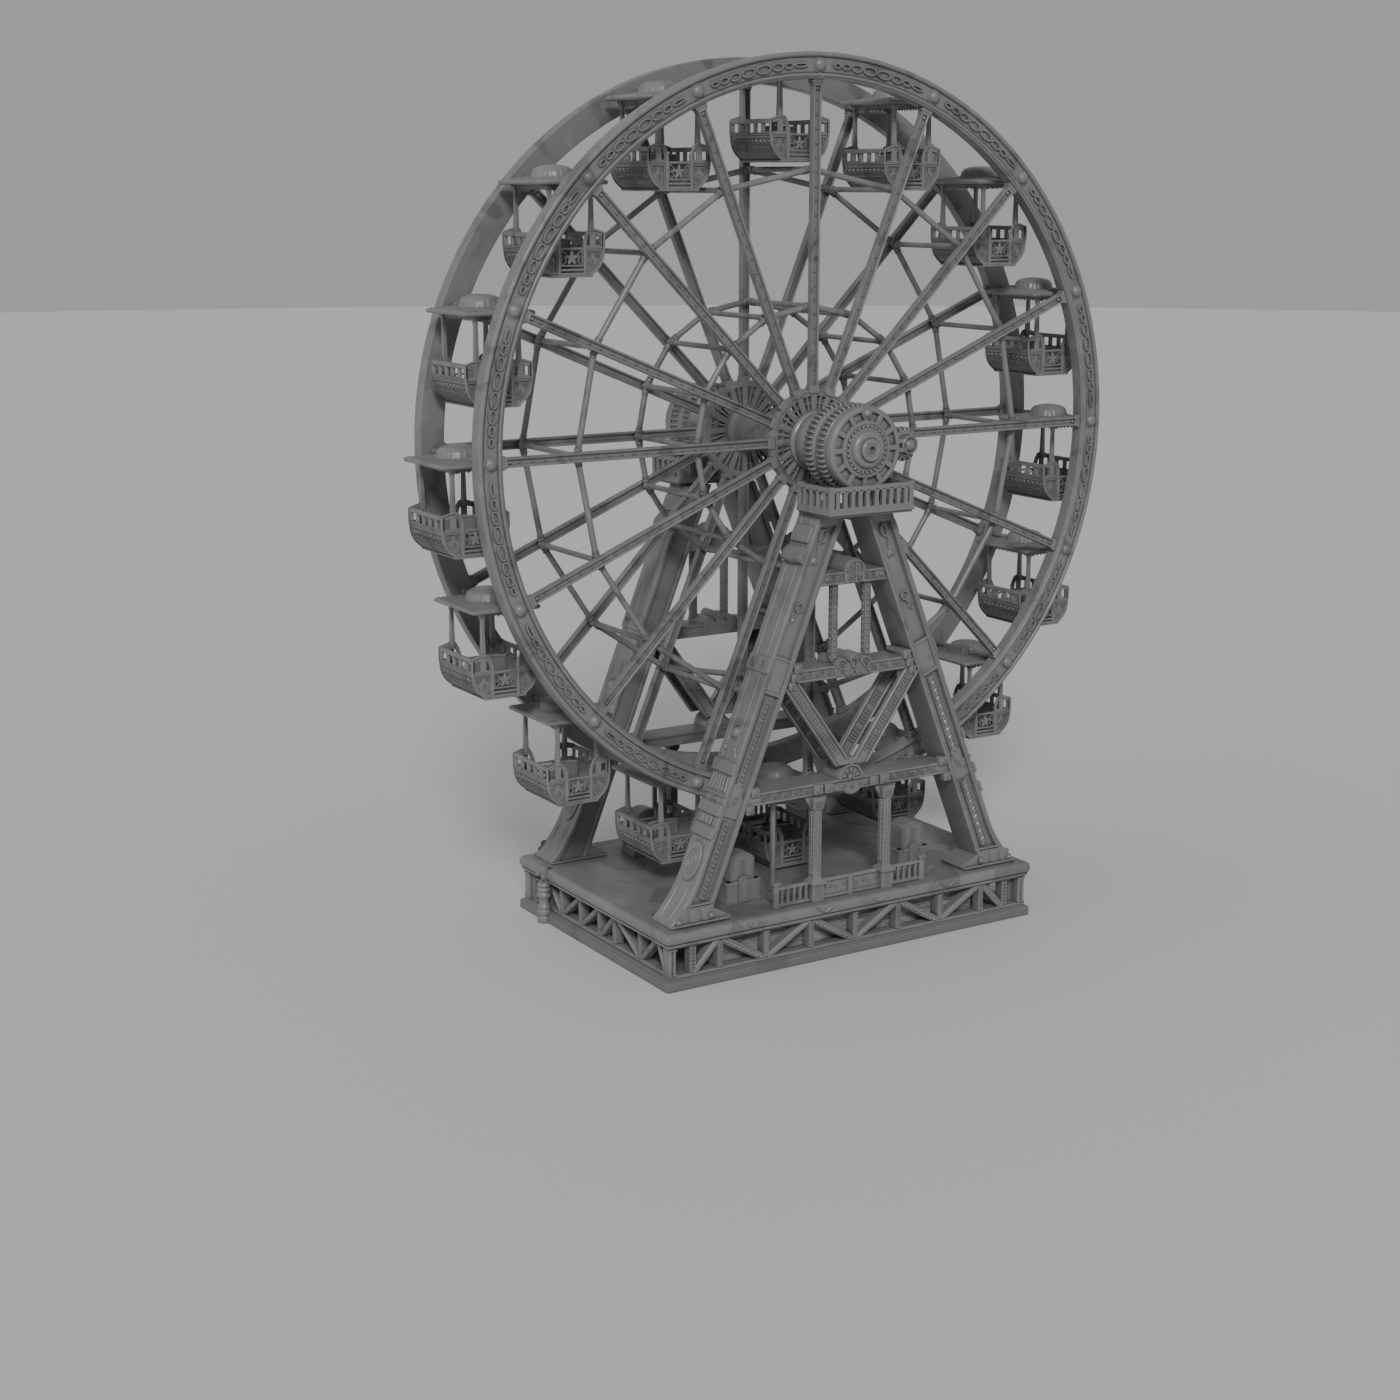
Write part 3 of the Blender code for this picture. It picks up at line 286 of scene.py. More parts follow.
def loft(rings: Sequence[np.ndarray], closed: bool = False, caps: bool = True) -> Form:
    """Span faces between rings that have the same number of points.

    Args:
        rings: the rings in order; a ring whose points all meet becomes one point.
        closed: whether the last ring joins on to the first.
        caps: whether the first and the last ring are filled.

    Returns:
        The shape, its faces pointing outwards where it is closed.
    """
    table = np.array(rings, float)
    count, sides = table.shape[:2]
    index = np.arange(count * sides).reshape(count, sides)
    poles = np.ptp(table, axis=1).max(axis=1) < 1e-9
    index[poles] = index[poles][:, :1]
    rows = count if closed else count - 1
    low, high = index[:rows], np.roll(index, -1, axis=0)[:rows]
    quads = np.stack([low, np.roll(low, -1, 1), np.roll(high, -1, 1), high], axis=-1).reshape(-1, 4)
    low_point, high_point = quads[:, 0] == quads[:, 1], quads[:, 2] == quads[:, 3]
    triangles = np.vstack([quads[low_point & ~high_point][:, 1:], quads[high_point & ~low_point][:, :3]])
    quads = quads[~low_point & ~high_point]
    corners, sizes = [quads.ravel(), triangles.ravel()], [np.full(len(quads), 4), np.full(len(triangles), 3)]
    if caps and not closed:
        for ring, pole in ((index[0][::-1], poles[0]), (index[-1], poles[-1])):
            if not pole:
                corners.append(ring)
                sizes.append(np.array([sides]))
    made = Form(table.reshape(-1, 3), np.concatenate(corners), np.concatenate(sizes)).tidy()
    return made.outward() if caps or closed else made


def level(outline: np.ndarray, out: float) -> np.ndarray:
    """A flat outline as a ring at one distance out."""
    return np.column_stack([outline, np.full(len(outline), out)])


def slab(outline: Outline, low: float, high: float, chamfer: float = 0.0, both: bool = False) -> Form:
    """A plate with a drawn outline between two distances out.

    Args:
        outline: its outline.
        low: where it starts.
        high: where it ends.
        chamfer: how much is cut off round its far edge.
        both: whether its near edge is cut off too.

    Returns:
        The plate.
    """
    flat = against_clock(outline)
    small = inset(flat, chamfer) if chamfer else flat
    rings = [level(small, low), level(flat, low + chamfer)] if chamfer and both else [level(flat, low)]
    rings += [level(flat, high - chamfer), level(small, high)] if chamfer else [level(flat, high)]
    return loft(rings)


def block(low: Sequence[float], high: Sequence[float], chamfer: float = 0.0) -> Form:
    """A block between two corners, with all its edges cut off.

    Args:
        low: its lowest corner.
        high: its highest corner.
        chamfer: how much is cut off each edge.

    Returns:
        The block.
    """
    outline = rectangle(low[0], high[0], low[1], high[1], chamfer)
    return slab(outline, low[2], high[2], chamfer, both=True)


def pierced(outline: Outline, holes: Sequence[Outline], low: float, high: float, chamfer: float) -> Form:
    """A plate with openings, its edges cut off on both faces.

    Args:
        outline: its outline.
        holes: the outline of each opening.
        low: where it starts.
        high: where it ends.
        chamfer: how much is cut off round each edge.

    Returns:
        The plate.
    """
    drawing = bpy.data.curves.new("drawing", "CURVE")
    drawing.dimensions = "2D"
    drawing.fill_mode = "BOTH"
    drawing.extrude = (high - low) / 2 - chamfer
    drawing.bevel_depth = chamfer
    drawing.bevel_resolution = 0
    drawing.offset = -chamfer
    for points in (outline, *holes):
        spline = drawing.splines.new("POLY")
        spline.points.add(len(points) - 1)
        for point, (x, y) in zip(spline.points, points):
            point.co = (x, y, 0.0, 1.0)
        spline.use_cyclic_u = True
    holder = bpy.data.objects.new("drawing", drawing)
    bpy.context.scene.collection.objects.link(holder)
    bpy.context.view_layer.update()
    mesh = bpy.data.meshes.new_from_object(holder.evaluated_get(bpy.context.evaluated_depsgraph_get()))
    welded = bmesh.new()
    welded.from_mesh(mesh)
    bmesh.ops.remove_doubles(welded, verts=welded.verts, dist=0.00005)
    bmesh.ops.recalc_face_normals(welded, faces=welded.faces)
    welded.to_mesh(mesh)
    welded.free()
    made = Form.of_mesh(mesh).shifted(z=(low + high) / 2)
    bpy.data.objects.remove(holder, do_unlink=True)
    bpy.data.curves.remove(drawing)
    bpy.data.meshes.remove(mesh)
    return made.outward()


def sweep(path: Path3, section: Outline, up: Sequence[float] = (0.0, 0.0, 1.0), closed: bool = False,
          swell: Sequence[float] | None = None) -> Form:
    """Carry a closed section along a path.

    Args:
        path: the points that it follows.
        section: its outline as (sideways, up).
        up: the direction that stays up on the way.
        closed: whether the path joins on to its start.
        swell: how much larger the section is at each point.

    Returns:
        The swept shape.
    """
    points = np.array(path, float)
    after = np.roll(points, -1, axis=0) - points
    before = points - np.roll(points, 1, axis=0)
    if not closed:
        after[-1], before[0] = before[-1], after[0]
    after /= np.maximum(np.linalg.norm(after, axis=1, keepdims=True), 1e-12)
    before /= np.maximum(np.linalg.norm(before, axis=1, keepdims=True), 1e-12)
    along = after + before
    along /= np.maximum(np.linalg.norm(along, axis=1, keepdims=True), 1e-12)
    side = np.cross(along, np.asarray(up, float))
    side /= np.maximum(np.linalg.norm(side, axis=1, keepdims=True), 1e-12)
    true_up = np.cross(side, along)
    mitre = 1.0 / np.maximum((along * after).sum(axis=1), 0.5)
    size = np.ones(len(points)) if swell is None else np.asarray(swell, float)
    flat = np.asarray(section, float)
    rings = (points[:, None] + (side * (mitre * size)[:, None])[:, None] * flat[None, :, :1]
             + (true_up * size[:, None])[:, None] * flat[None, :, 1:])
    return loft(rings, closed=closed)


def rod(start: Sequence[float], end: Sequence[float], radius: float, sides: int = 8) -> Form:
    """A straight round rod between two points."""
    run = np.abs(np.subtract(end, start))
    up = (0.0, 0.0, 1.0) if run[2] < max(run[0], run[1]) else (1.0, 0.0, 0.0)
    if run[2] >= max(run[0], run[1]) and run[0] > run[1]:
        up = (0.0, 1.0, 0.0)
    return sweep([start, end], circle(radius, sides), up)


def half_round(width: float, height: float, steps: int = 4, sunk: float = 0.01) -> Outline:
    """The section of a raised stroke: rounded on top and let a little into what carries it."""
    top = [(width / 2 * math.cos(a), height * math.sin(a)) for a in np.linspace(0.0, math.pi, steps + 1)]
    return [(width / 2, -sunk), *top, (-width / 2, -sunk)]


def lathe(profile: Outline, steps: int, closed: bool = False) -> Form:
    """Turn a profile of (radius, out) round the third axis.

    Args:
        profile: its points in order.
        steps: how many sides the turned shape has.
        closed: whether the profile joins on to its start, as for a ring.

    Returns:
        The turned shape.
    """
    angles = np.arange(steps) * 2 * math.pi / steps
    rings = [np.column_stack([r * np.cos(angles), r * np.sin(angles), np.full(steps, out)])
             for r, out in profile]
    return loft(rings, closed=closed, caps=not closed)


def dome(radius: float, height: float, steps: int = 12, rings: int = 3, skirt: float = 0.01) -> Form:
    """A rounded stud that stands on the plane of zero out and is let a little into it."""
    angles = np.linspace(0.0, math.pi / 2, rings + 1)
    profile = [(radius, -skirt)] + [(radius * math.cos(a), height * math.sin(a)) for a in angles[:-1]]
    return lathe([*profile, (0.0, height)], steps)


def spiral(radius: float, turns: float, start: float, steps: int, eye: float = 0.12) -> np.ndarray:
    """Points of a spiral that winds in from a radius to its eye.

    Args:
        radius: where it starts.
        turns: how many turns it makes; negative winds the other way.
        start: its first angle in degrees.
        steps: how many pieces it has.
        eye: the last radius, as a share of the first.

    Returns:
        A table of flat points.
    """
    share = np.linspace(0.0, 1.0, steps + 1)
    reach = radius * (1.0 - share * (1.0 - eye))
    angles = math.radians(start) + share * turns * 2 * math.pi
    return np.column_stack([reach * np.cos(angles), reach * np.sin(angles)])


def flat_path(points: np.ndarray, out: float = 0.0) -> np.ndarray:
    """Flat points as a path at one distance out."""
    return np.column_stack([points, np.full(len(points), out)])


def stroke(points: np.ndarray, width: float, height: float, closed: bool = False, taper: float = 1.0,
           steps: int = 3) -> Form:
    """A raised line along flat points.

    Args:
        points: the flat points.
        width: how wide the line is.
        height: how far it stands out.
        closed: whether it joins on to its start.
        taper: how wide its end is, as a share of its start.
        steps: how many faces round it off.

    Returns:
        The line.
    """
    swell = None if taper == 1.0 else np.linspace(1.0, taper, len(points))
    return sweep(flat_path(np.asarray(points, float)), half_round(width, height, steps), closed=closed,
                 swell=swell)


def ring_link(length: float, width: float, line: float, height: float, steps: int = 16) -> Form:
    """An oval ring that lies along the second axis."""
    angles = np.arange(steps) * 2 * math.pi / steps
    points = np.column_stack([(width - line) / 2 * np.cos(angles), (length - line) / 2 * np.sin(angles)])
    return stroke(points, line, height, closed=True)


def scroll(size: float, line: float, height: float, turns: float = 1.4, steps: int = 14) -> Form:
    """A spiral scroll with a round eye, its tail at the right."""
    points = spiral(size / 2, turns, -20.0, steps, 0.16)
    eye = dome(line * 0.75, height * 1.15, 6, 2)
    return Form.joined([stroke(points, line, height, taper=0.6), eye])


def s_scroll(length: float, width: float, line: float, height: float) -> Form:
    """Two scrolls that wind opposite ways, joined by a slanting line along the second axis."""
    size = width * 0.86
    half = length / 2 - size / 2
    upper = spiral(size / 2, 1.25, 200.0, 12, 0.16) + (0.0, half)
    points = np.vstack([upper[::-1], -upper])
    eyes = [dome(line * 0.7, height * 1.1, 6, 2).shifted(y=sign * half) for sign in (1, -1)]
    return Form.joined([stroke(points, line, height), *eyes])


def leaf(length: float, width: float, height: float) -> Form:
    """A pointed leaf with a raised middle, along the second axis from its foot at zero."""
    shares = ((0.0, 0.10), (0.18, 0.42), (0.45, 0.50), (0.75, 0.34), (1.0, 0.02))
    rings = []
    for along, half in shares:
        y, w, h = along * length, half * width, height * min(1.0, 0.35 + half * 1.5)
        rings.append([(-w, y, -0.01), (w, y, -0.01), (w, y, h * 0.35), (0.0, y, h), (-w, y, h * 0.35)])
    return loft(np.array(rings))


def rosette(radius: float, height: float, petals: int = 8) -> Form:
    """Petals round a domed eye."""
    petal = leaf(radius * 0.72, radius * 0.5, height * 0.8).shifted(y=radius * 0.26)
    return Form.joined([petal.repeated(turn(360.0 * n / petals) for n in range(petals)),
                        dome(radius * 0.3, height, 8, 2)])


def ring_of(form: Form, count: int, start: float = 0.0) -> Form:
    """Copies of a shape turned round the third axis at equal steps."""
    return form.repeated(turn(start + 360.0 * n / count) for n in range(count))


def row_of(form: Form, start: Sequence[float], end: Sequence[float], count: int) -> Form:
    """Copies of a shape in a straight row, both ends included."""
    places = np.linspace(start, end, count)
    return form.repeated(shift(*place) for place in places)


def draped(form: Form, route: np.ndarray) -> Form:
    """Bend a flat drawing over a route, as a pattern is laid over a curved wall.

    Args:
        form: the drawing, whose second axis runs along the route and whose third stands out from it.
        route: points (x, z) of the route; the drawing's first axis becomes y.

    Returns:
        The bent drawing as (x, y, z).
    """
    runs = np.diff(route, axis=0)
    lengths = np.linalg.norm(runs, axis=1)
    marks = np.concatenate([[0.0], np.cumsum(lengths)])
    normals = np.column_stack([-runs[:, 1], runs[:, 0]]) / lengths[:, None]
    corner = np.vstack([normals[:1], (normals[:-1] + normals[1:]) / 2, normals[-1:]])

    def place(points: np.ndarray) -> np.ndarray:
        """Lay the points over the route."""
        along = np.clip(points[:, 1], 0.0, marks[-1])
        x, z = np.interp(along, marks, route[:, 0]), np.interp(along, marks, route[:, 1])
        nx, nz = np.interp(along, marks, corner[:, 0]), np.interp(along, marks, corner[:, 1])
        return np.column_stack([x + nx * points[:, 2], points[:, 0], z + nz * points[:, 2]])

    return form.mapped(place)


def stepped(half_x: float, half_y: float, levels: Sequence[tuple[float, float]], corner: float = 0.03) -> Form:
    """A rectangular body whose sides are drawn in by a distance at each height.

    Args:
        half_x: half its length.
        half_y: half its depth.
        levels: (how far the sides are drawn in, z) from the bottom up.
        corner: how much is cut off each upright edge.

    Returns:
        The body as (x, y, z).
    """
    rings = []
    for inward, z in levels:
        x, y = half_x - inward, half_y - inward
        rings.append([(*point, z) for point in rectangle(-x, x, -y, y, corner)])
    return loft(np.array(rings))


class Side(Enum):
    """The two sides of the wheel; the value is the sign of y."""

    FRONT = -1
    BACK = 1

    @property
    def word(self) -> str:
        """The side's name in piece names."""
        return self.name.lower()

    def place(self, drawing: Form, height: float = 0.0) -> Form:
        """Stand a drawing (across, up, out) on this side.

        Args:
            drawing: the shape as drawn.
            height: where the drawing's zero stands.

        Returns:
            The shape as (x, y, z).
        """
        change = np.zeros((4, 4))
        change[0, 0], change[1, 2], change[2, 1], change[3, 3] = 1.0, self.value, 1.0, 1.0
        change[2, 3] = height
        return drawing.moved(change)


class Slot(Enum):
    """The record's material slots."""

    TOWER = "tower_paint"
    DECK = "deck_paint"
    WHEEL = "wheel_paint"
    GEAR = "gear_metal"
    GONDOLA = "gondola_paint"


@dataclass(frozen=True)
class Finish:
    """A painted and worn metal: its grey, gloss, soft patches, angular patches of painted shadow and light, scratches,
    painted shade in hollows and grain.
    """

    name: str
    grey: float
    roughness: float
    metallic: float = 0.0
    patch: float = 0.24
    patch_size: float = 1.1
    # How far angular patches of painted shadow darken, and patches of painted light lighten, the colour
    cell: float = 0.0
    cell_size: float = 1.0
    scratch: float = 0.0
    scratch_stretch: tuple[float, float, float] = (1.0, 1.0, 12.0)
    # How much painted shade darkens the hollows
    grime: float = 0.40
    grain: float = 0.05

    @lru_cache(maxsize=None)
    def material(self) -> bpy.types.Material:
        """Build the finish from nodes.

        Returns:
            The material, made once.
        """
        made = bpy.data.materials.new(self.name)
        made.use_nodes = True
        tree = made.node_tree
        shader = tree.nodes["Principled BSDF"]
        shader.inputs["Metallic"].default_value = self.metallic
        where = tree.nodes.new("ShaderNodeTexCoord")
        own = tree.nodes.new("ShaderNodeObjectInfo")
        offset = tree.nodes.new("ShaderNodeVectorMath")
        offset.operation = "MULTIPLY_ADD"
        tree.links.new(own.outputs["Random"], offset.inputs[0])
        offset.inputs[1].default_value = (37.0, 19.0, 53.0)
        tree.links.new(where.outputs["Object"], offset.inputs[2])
        dark, light = self.grey * (1.0 - self.patch), self.grey * (1.0 + self.patch * 0.5)
        patches = self._noise(tree, offset, (1.0, 1.0, 1.0), 1.0 / self.patch_size, 2.5, 0.45, 0.9)
        colour = self._ramp(tree, patches.outputs["Fac"], ((0.34, dark), (0.42, self.grey), (0.60, self.grey),
                                                           (0.66, light)))
        # Painted shadow and painted light: angular cells a little darker or lighter than the rest
        if self.cell:
            shadow_cells = tree.nodes.new("ShaderNodeTexVoronoi")
            shadow_cells.inputs["Scale"].default_value = 1.0 / self.cell_size
            tree.links.new(offset.outputs[0], shadow_cells.inputs["Vector"])
            shade = self._ramp(tree, shadow_cells.outputs["Color"], ((0.30, 1.0 - self.cell), (0.34, 1.0), (0.66, 1.0),
                                                              (0.70, 1.0 + self.cell * 0.4)))
            colour = self._multiplied(tree, colour, shade)
        if self.scratch:
            marks = self._noise(tree, offset, self.scratch_stretch, 1.6, 4.0, 0.6, 0.2)
            shade = self._ramp(tree, marks.outputs["Fac"], ((0.40, 1.0 - self.scratch), (0.52, 1.0)))
            colour = self._multiplied(tree, colour, shade)
        # Painted shade: ambient occlusion darkens the colour in hollows and crevices, where less light reaches
        hollows = tree.nodes.new("ShaderNodeAmbientOcclusion")
        hollows.samples = 3
        hollows.inputs["Distance"].default_value = 0.09
        painted_hollow_shade = self._ramp(tree, hollows.outputs["Color"], ((0.30, 1.0 - self.grime), (0.80, 1.0)))
        colour = self._multiplied(tree, colour, painted_hollow_shade)
        tree.links.new(colour, shader.inputs["Base Color"])
        gloss = tree.nodes.new("ShaderNodeMapRange")
        gloss.inputs["From Min"].default_value = 0.35
        gloss.inputs["From Max"].default_value = 0.65
        gloss.inputs["To Min"].default_value = self.roughness + 0.12
        gloss.inputs["To Max"].default_value = self.roughness - 0.05
        tree.links.new(patches.outputs["Fac"], gloss.inputs["Value"])
        tree.links.new(gloss.outputs["Result"], shader.inputs["Roughness"])
        grain = self._noise(tree, offset, (1.0, 1.0, 1.0), 38.0, 2.0, 0.6, 0.0)
        bump = tree.nodes.new("ShaderNodeBump")
        bump.inputs["Strength"].default_value = self.grain
        bump.inputs["Distance"].default_value = 0.01
        tree.links.new(grain.outputs["Fac"], bump.inputs["Height"])
        tree.links.new(bump.outputs["Normal"], shader.inputs["Normal"])
        return made

    @staticmethod
    def _noise(tree: bpy.types.NodeTree, source: bpy.types.Node, stretch_by: Sequence[float], size: float,
               detail: float, rough: float, twist: float) -> bpy.types.Node:
        """A noise over the piece's own place, stretched along its axes."""
        mapping = tree.nodes.new("ShaderNodeMapping")
        mapping.inputs["Scale"].default_value = stretch_by
        tree.links.new(source.outputs[0], mapping.inputs["Vector"])
        noise = tree.nodes.new("ShaderNodeTexNoise")
        values = {"Scale": size, "Detail": detail, "Roughness": rough, "Distortion": twist}
        for key, value in values.items():
            noise.inputs[key].default_value = value
        tree.links.new(mapping.outputs["Vector"], noise.inputs["Vector"])
        return noise

    @staticmethod
    def _ramp(tree: bpy.types.NodeTree, source: bpy.types.NodeSocket,
              stops: Sequence[tuple[float, float]]) -> bpy.types.NodeSocket:
        """A grey ramp over a value; each stop is (place, grey)."""
        ramp = tree.nodes.new("ShaderNodeValToRGB")
        while len(ramp.color_ramp.elements) < len(stops):
            ramp.color_ramp.elements.new(0.5)
        for element, (place, grey) in zip(ramp.color_ramp.elements, stops):
            element.position = place
            element.color = (grey, grey, grey, 1.0)
        tree.links.new(source, ramp.inputs["Fac"])
        return ramp.outputs["Color"]

    @staticmethod
    def _multiplied(tree: bpy.types.NodeTree, first: bpy.types.NodeSocket,
                    second: bpy.types.NodeSocket) -> bpy.types.NodeSocket:
        """Two colours multiplied."""
        mix = tree.nodes.new("ShaderNodeMix")
        mix.data_type = "RGBA"
        mix.blend_type = "MULTIPLY"
        mix.inputs["Factor"].default_value = 1.0
        tree.links.new(first, mix.inputs[6])
        tree.links.new(second, mix.inputs[7])
        return mix.outputs[2]


TOWER_GREY = Finish("tower grey", 0.185, 0.38)
PLINTH_GREY = Finish("plinth grey", 0.180, 0.42, patch=0.18)
# The base slab is painted darker than the rest, a painted shade for the light that its front lacks
SHADED_BASE_GREY = Finish("base grey", 0.140, 0.45, patch=0.18)
# The deck carries angular patches of painted shadow and painted light
DECK_GREY = Finish("worn deck", 0.185, 0.44, patch=0.14, cell=0.22, cell_size=0.9, grime=0.30)
WHEEL_GREY = Finish("wheel grey", 0.185, 0.36, patch=0.30, patch_size=0.8)
GEAR_GREY = Finish("gear metal", 0.215, 0.30, metallic=0.15, patch=0.14, grime=0.30)
GONDOLA_GREY = Finish("gondola grey", 0.190, 0.38, patch=0.22, patch_size=0.6)
# The wall is painted far lighter than the rest, a painted light that lifts it out of the shade of its recess; its
# scratches are marks of its own
LIFTED_WALL_GREY = Finish("scratched wall", 0.32, 0.52, patch=0.25, patch_size=0.4, scratch=0.45)


def install(name: str, form: Form | None, finish: Finish, slot: Slot, body: str, *nodes: str,
            at: Sequence[float] = (0.0, 0.0, 0.0), mesh: bpy.types.Mesh | None = None) -> bpy.types.Object:
    """Make a shape into a piece of the scene, dress it and let it ride on its body.

    Args:
        name: the piece's name.
        form: its shape, or none where it shares a mesh.
        finish: its finish.
        slot: the record's material slot; not used.
        body: the body that it rides on.
        nodes: the CAD nodes that it stands for.
        at: where its own zero is.
        mesh: a mesh that it shares with another piece, if it has been made.

    Returns:
        The new object.
    """
    data = mesh or form.mesh(name)
    if not data.materials:
        data.materials.append(finish.material())
    piece = bpy.data.objects.new(name, data)
    bpy.context.scene.collection.objects.link(piece)
    piece.location = at
    softened = piece.modifiers.new("even shading", "WEIGHTED_NORMAL")
    softened.keep_sharp = True
    bpy.context.view_layer.update()
    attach(piece, body)
    if nodes:
        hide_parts(*nodes)
    log.info("%s: %d faces on %s", name, len(data.polygons), body)
    return piece


@dataclass
class Rim:
    """A rim of the wheel: a ring with two lips, a chain of links between its studs."""

    inner: float = 7.712
    outer: float = 8.272
    near: float = 1.216
    far: float = 1.576
    steps: int = 128
    channel: float = 1.526
    stud_circle: float = 7.995
    stud_radius: float = 0.145
    link_line: float = 0.056
    link_height: float = 0.066
    # Length and width of each link of a chain, from one stud towards the next
    links: tuple[tuple[float, float], ...] = ((0.36, 0.13), (0.25, 0.17), (0.31, 0.20), (0.40, 0.22),
                                             (0.38, 0.22), (0.31, 0.20), (0.25, 0.17), (0.21, 0.15))

    def ring(self) -> Form:
        """Turn the ring with its lips and grooves.

        Returns:
            The ring round zero.
        """
        far, floor = self.far, self.channel
        outer_lip = [(self.outer - 0.02, self.near), (self.outer, self.near + 0.02), (self.outer, far - 0.055),
                     (self.outer - 0.012, far - 0.02), (self.outer - 0.04, far), (self.outer - 0.07, far),
                     (self.outer - 0.095, far - 0.014), (self.outer - 0.106, far - 0.042)]
        groove = [(self.outer - 0.112, far - 0.042), (self.outer - 0.114, floor - 0.016),
                  (self.outer - 0.130, floor - 0.016), (self.outer - 0.134, floor)]
        inner_lip = [(self.inner + 0.140, floor), (self.inner + 0.136, floor - 0.016),
                     (self.inner + 0.122, floor - 0.016), (self.inner + 0.118, far - 0.030),
                     (self.inner + 0.108, far - 0.010), (self.inner + 0.088, far), (self.inner + 0.062, far - 0.004),
                     (self.inner + 0.044, far - 0.022), (self.inner + 0.038, far - 0.040),
                     (self.inner + 0.012, far - 0.046), (self.inner, far - 0.062),
                     (self.inner, self.near + 0.02), (self.inner + 0.02, self.near)]
        return lathe([*outer_lip, *groove, *inner_lip], self.steps, closed=True)

    def chain(self) -> Form:
        """Lay the links of one sector along the channel.

        Returns:
            The chain of one sector.
        """
        total = sum(length for length, _ in self.links)
        start = -total / 2
        links = []
        for length, width in self.links:
            angle = math.degrees((start + length / 2) / self.stud_circle)
            link = ring_link(length + 0.012, width, self.link_line, self.link_height)
            links.append(link.moved(turn(angle) @ shift(self.stud_circle, 0.0, self.channel)))
            start += length
        return Form.joined(links)

    def stud(self) -> Form:
        """A domed stud on its low base, between two chains."""
        base = lathe([(self.stud_radius + 0.03, -0.02), (self.stud_radius + 0.03, 0.008),
                      (self.stud_radius + 0.018, 0.018), (0.0, 0.018)], 20)
        ball = dome(self.stud_radius, 0.125, 20, 5)
        return Form.joined([base, ball]).shifted(self.stud_circle, 0.0, self.channel)

    def build(self, side: Side) -> None:
        """Install the rim of one side."""
        made = Form.joined([self.ring(), ring_of(self.chain(), GONDOLAS, SECTOR / 2),
                            ring_of(self.stud(), GONDOLAS)])
        install(f"rim_{side.word}_casting", side.place(made, HUB_HEIGHT), WHEEL_GREY, Slot.WHEEL, "wheel",
                f"rim_{side.word}")


@dataclass
class Spokes:
    """The sixteen channelled spokes of one side, on their ribbed hub flange."""

    tip: float = 7.735
    root: float = 1.06
    middle: float = 1.396
    half_width: float = 0.105
    half_depth: float = 0.088
    flange: float = 1.12
    flange_inner: float = 0.98
    core: float = 0.52
    bead_pitch: float = 0.29

    def section(self) -> Outline:
        """The section of a spoke: a rail along each edge and a channel between them, on both faces.

        Returns:
            The outline as (sideways, out).
        """
        w, d = self.half_width, self.half_depth
        face = [(w, d - 0.020), (w - 0.012, d - 0.002), (w - 0.034, d), (w - 0.050, d - 0.014),
                (w - 0.056, d - 0.058)]
        front = face + [(-x, y) for x, y in reversed(face)]
        return front + [(-x, -y) for x, y in front]

    def spoke(self) -> Form:
        """One spoke with its beads, its collar and its nub, along the first axis.

        Returns:
            The spoke round zero.
        """
        bar = sweep([(self.root, 0.0, 0.0), (self.tip, 0.0, 0.0)], self.section())
        w, d = self.half_width, self.half_depth
        bead = lathe([(0.030, -0.01), (0.030, 0.012), (0.0, 0.036)], 8)
        count = int((self.tip - self.root - 0.8) / self.bead_pitch)
        beads = row_of(bead, (self.root + 0.5, 0.0, d - 0.058), (self.tip - 0.45, 0.0, d - 0.058), count)
        collar = block((self.tip - 0.11, -w - 0.045, -d - 0.004), (self.tip - 0.005, w + 0.045, d + 0.010), 0.018)
        waist = block((self.tip - 0.17, -w - 0.015, -d - 0.002), (self.tip - 0.10, w + 0.015, d + 0.004), 0.012)
        nub = dome(0.045, 0.035, 10, 3).shifted(self.tip - 0.22, 0.0, d - 0.040)
        foot = block((self.root - 0.03, -w - 0.02, -d - 0.002), (self.root + 0.16, w + 0.02, d + 0.008), 0.014)
        return Form.joined([bar, beads, collar, waist, nub, foot]).shifted(z=self.middle)

    def hub(self) -> Form:
        """The flange ring with its studs, the ribs within it and the core plate.

        Returns:
            The hub flange round zero.
        """
        low, high = self.middle - self.half_depth, self.middle + self.half_depth
        rim, lip = self.flange, self.flange_inner
        ring = lathe([(rim, low), (rim, high - 0.02), (rim - 0.012, high), (rim - 0.034, high),
                      (rim - 0.040, high - 0.018), (lip + 0.040, high - 0.018), (lip + 0.034, high),
                      (lip + 0.010, high), (lip, high - 0.016), (lip, low)], 96, closed=True)
        studs = ring_of(dome(0.020, 0.020, 8, 2).shifted((rim + lip) / 2, 0.0, high - 0.018), 32, SECTOR / 4)
        plate = lathe([(self.core + 0.03, low), (self.core + 0.03, high - 0.012), (self.core + 0.015, high),
                       (0.37, high), (0.37, low)], 48, closed=True)
        wide = block((self.core, -0.072, low + 0.004), (lip + 0.02, 0.072, high - 0.004), 0.014)
        ridge = block((self.core, -0.030, high - 0.02), (lip + 0.02, 0.030, high + 0.010), 0.010)
        thin = block((self.core, -0.026, low + 0.012), (lip + 0.02, 0.026, high - 0.010), 0.010)
        parts = [ring, studs, plate, ring_of(Form.joined([wide, ridge]), GONDOLAS),
                 ring_of(thin, GONDOLAS, SECTOR / 2)]
        for radius in (0.68, 0.83):
            parts.append(lathe([(radius + 0.016, low + 0.05), (radius + 0.016, high - 0.03),
                                (radius - 0.016, high - 0.03), (radius - 0.016, low + 0.05)], 64, closed=True))
        return Form.joined(parts)

    def build(self, side: Side) -> None:
        """Install the spokes of one side."""
        made = Form.joined([ring_of(self.spoke(), GONDOLAS), self.hub()])
        install(f"spokes_{side.word}_casting", side.place(made, HUB_HEIGHT), WHEEL_GREY, Slot.WHEEL, "wheel",
                f"spokes_{side.word}")


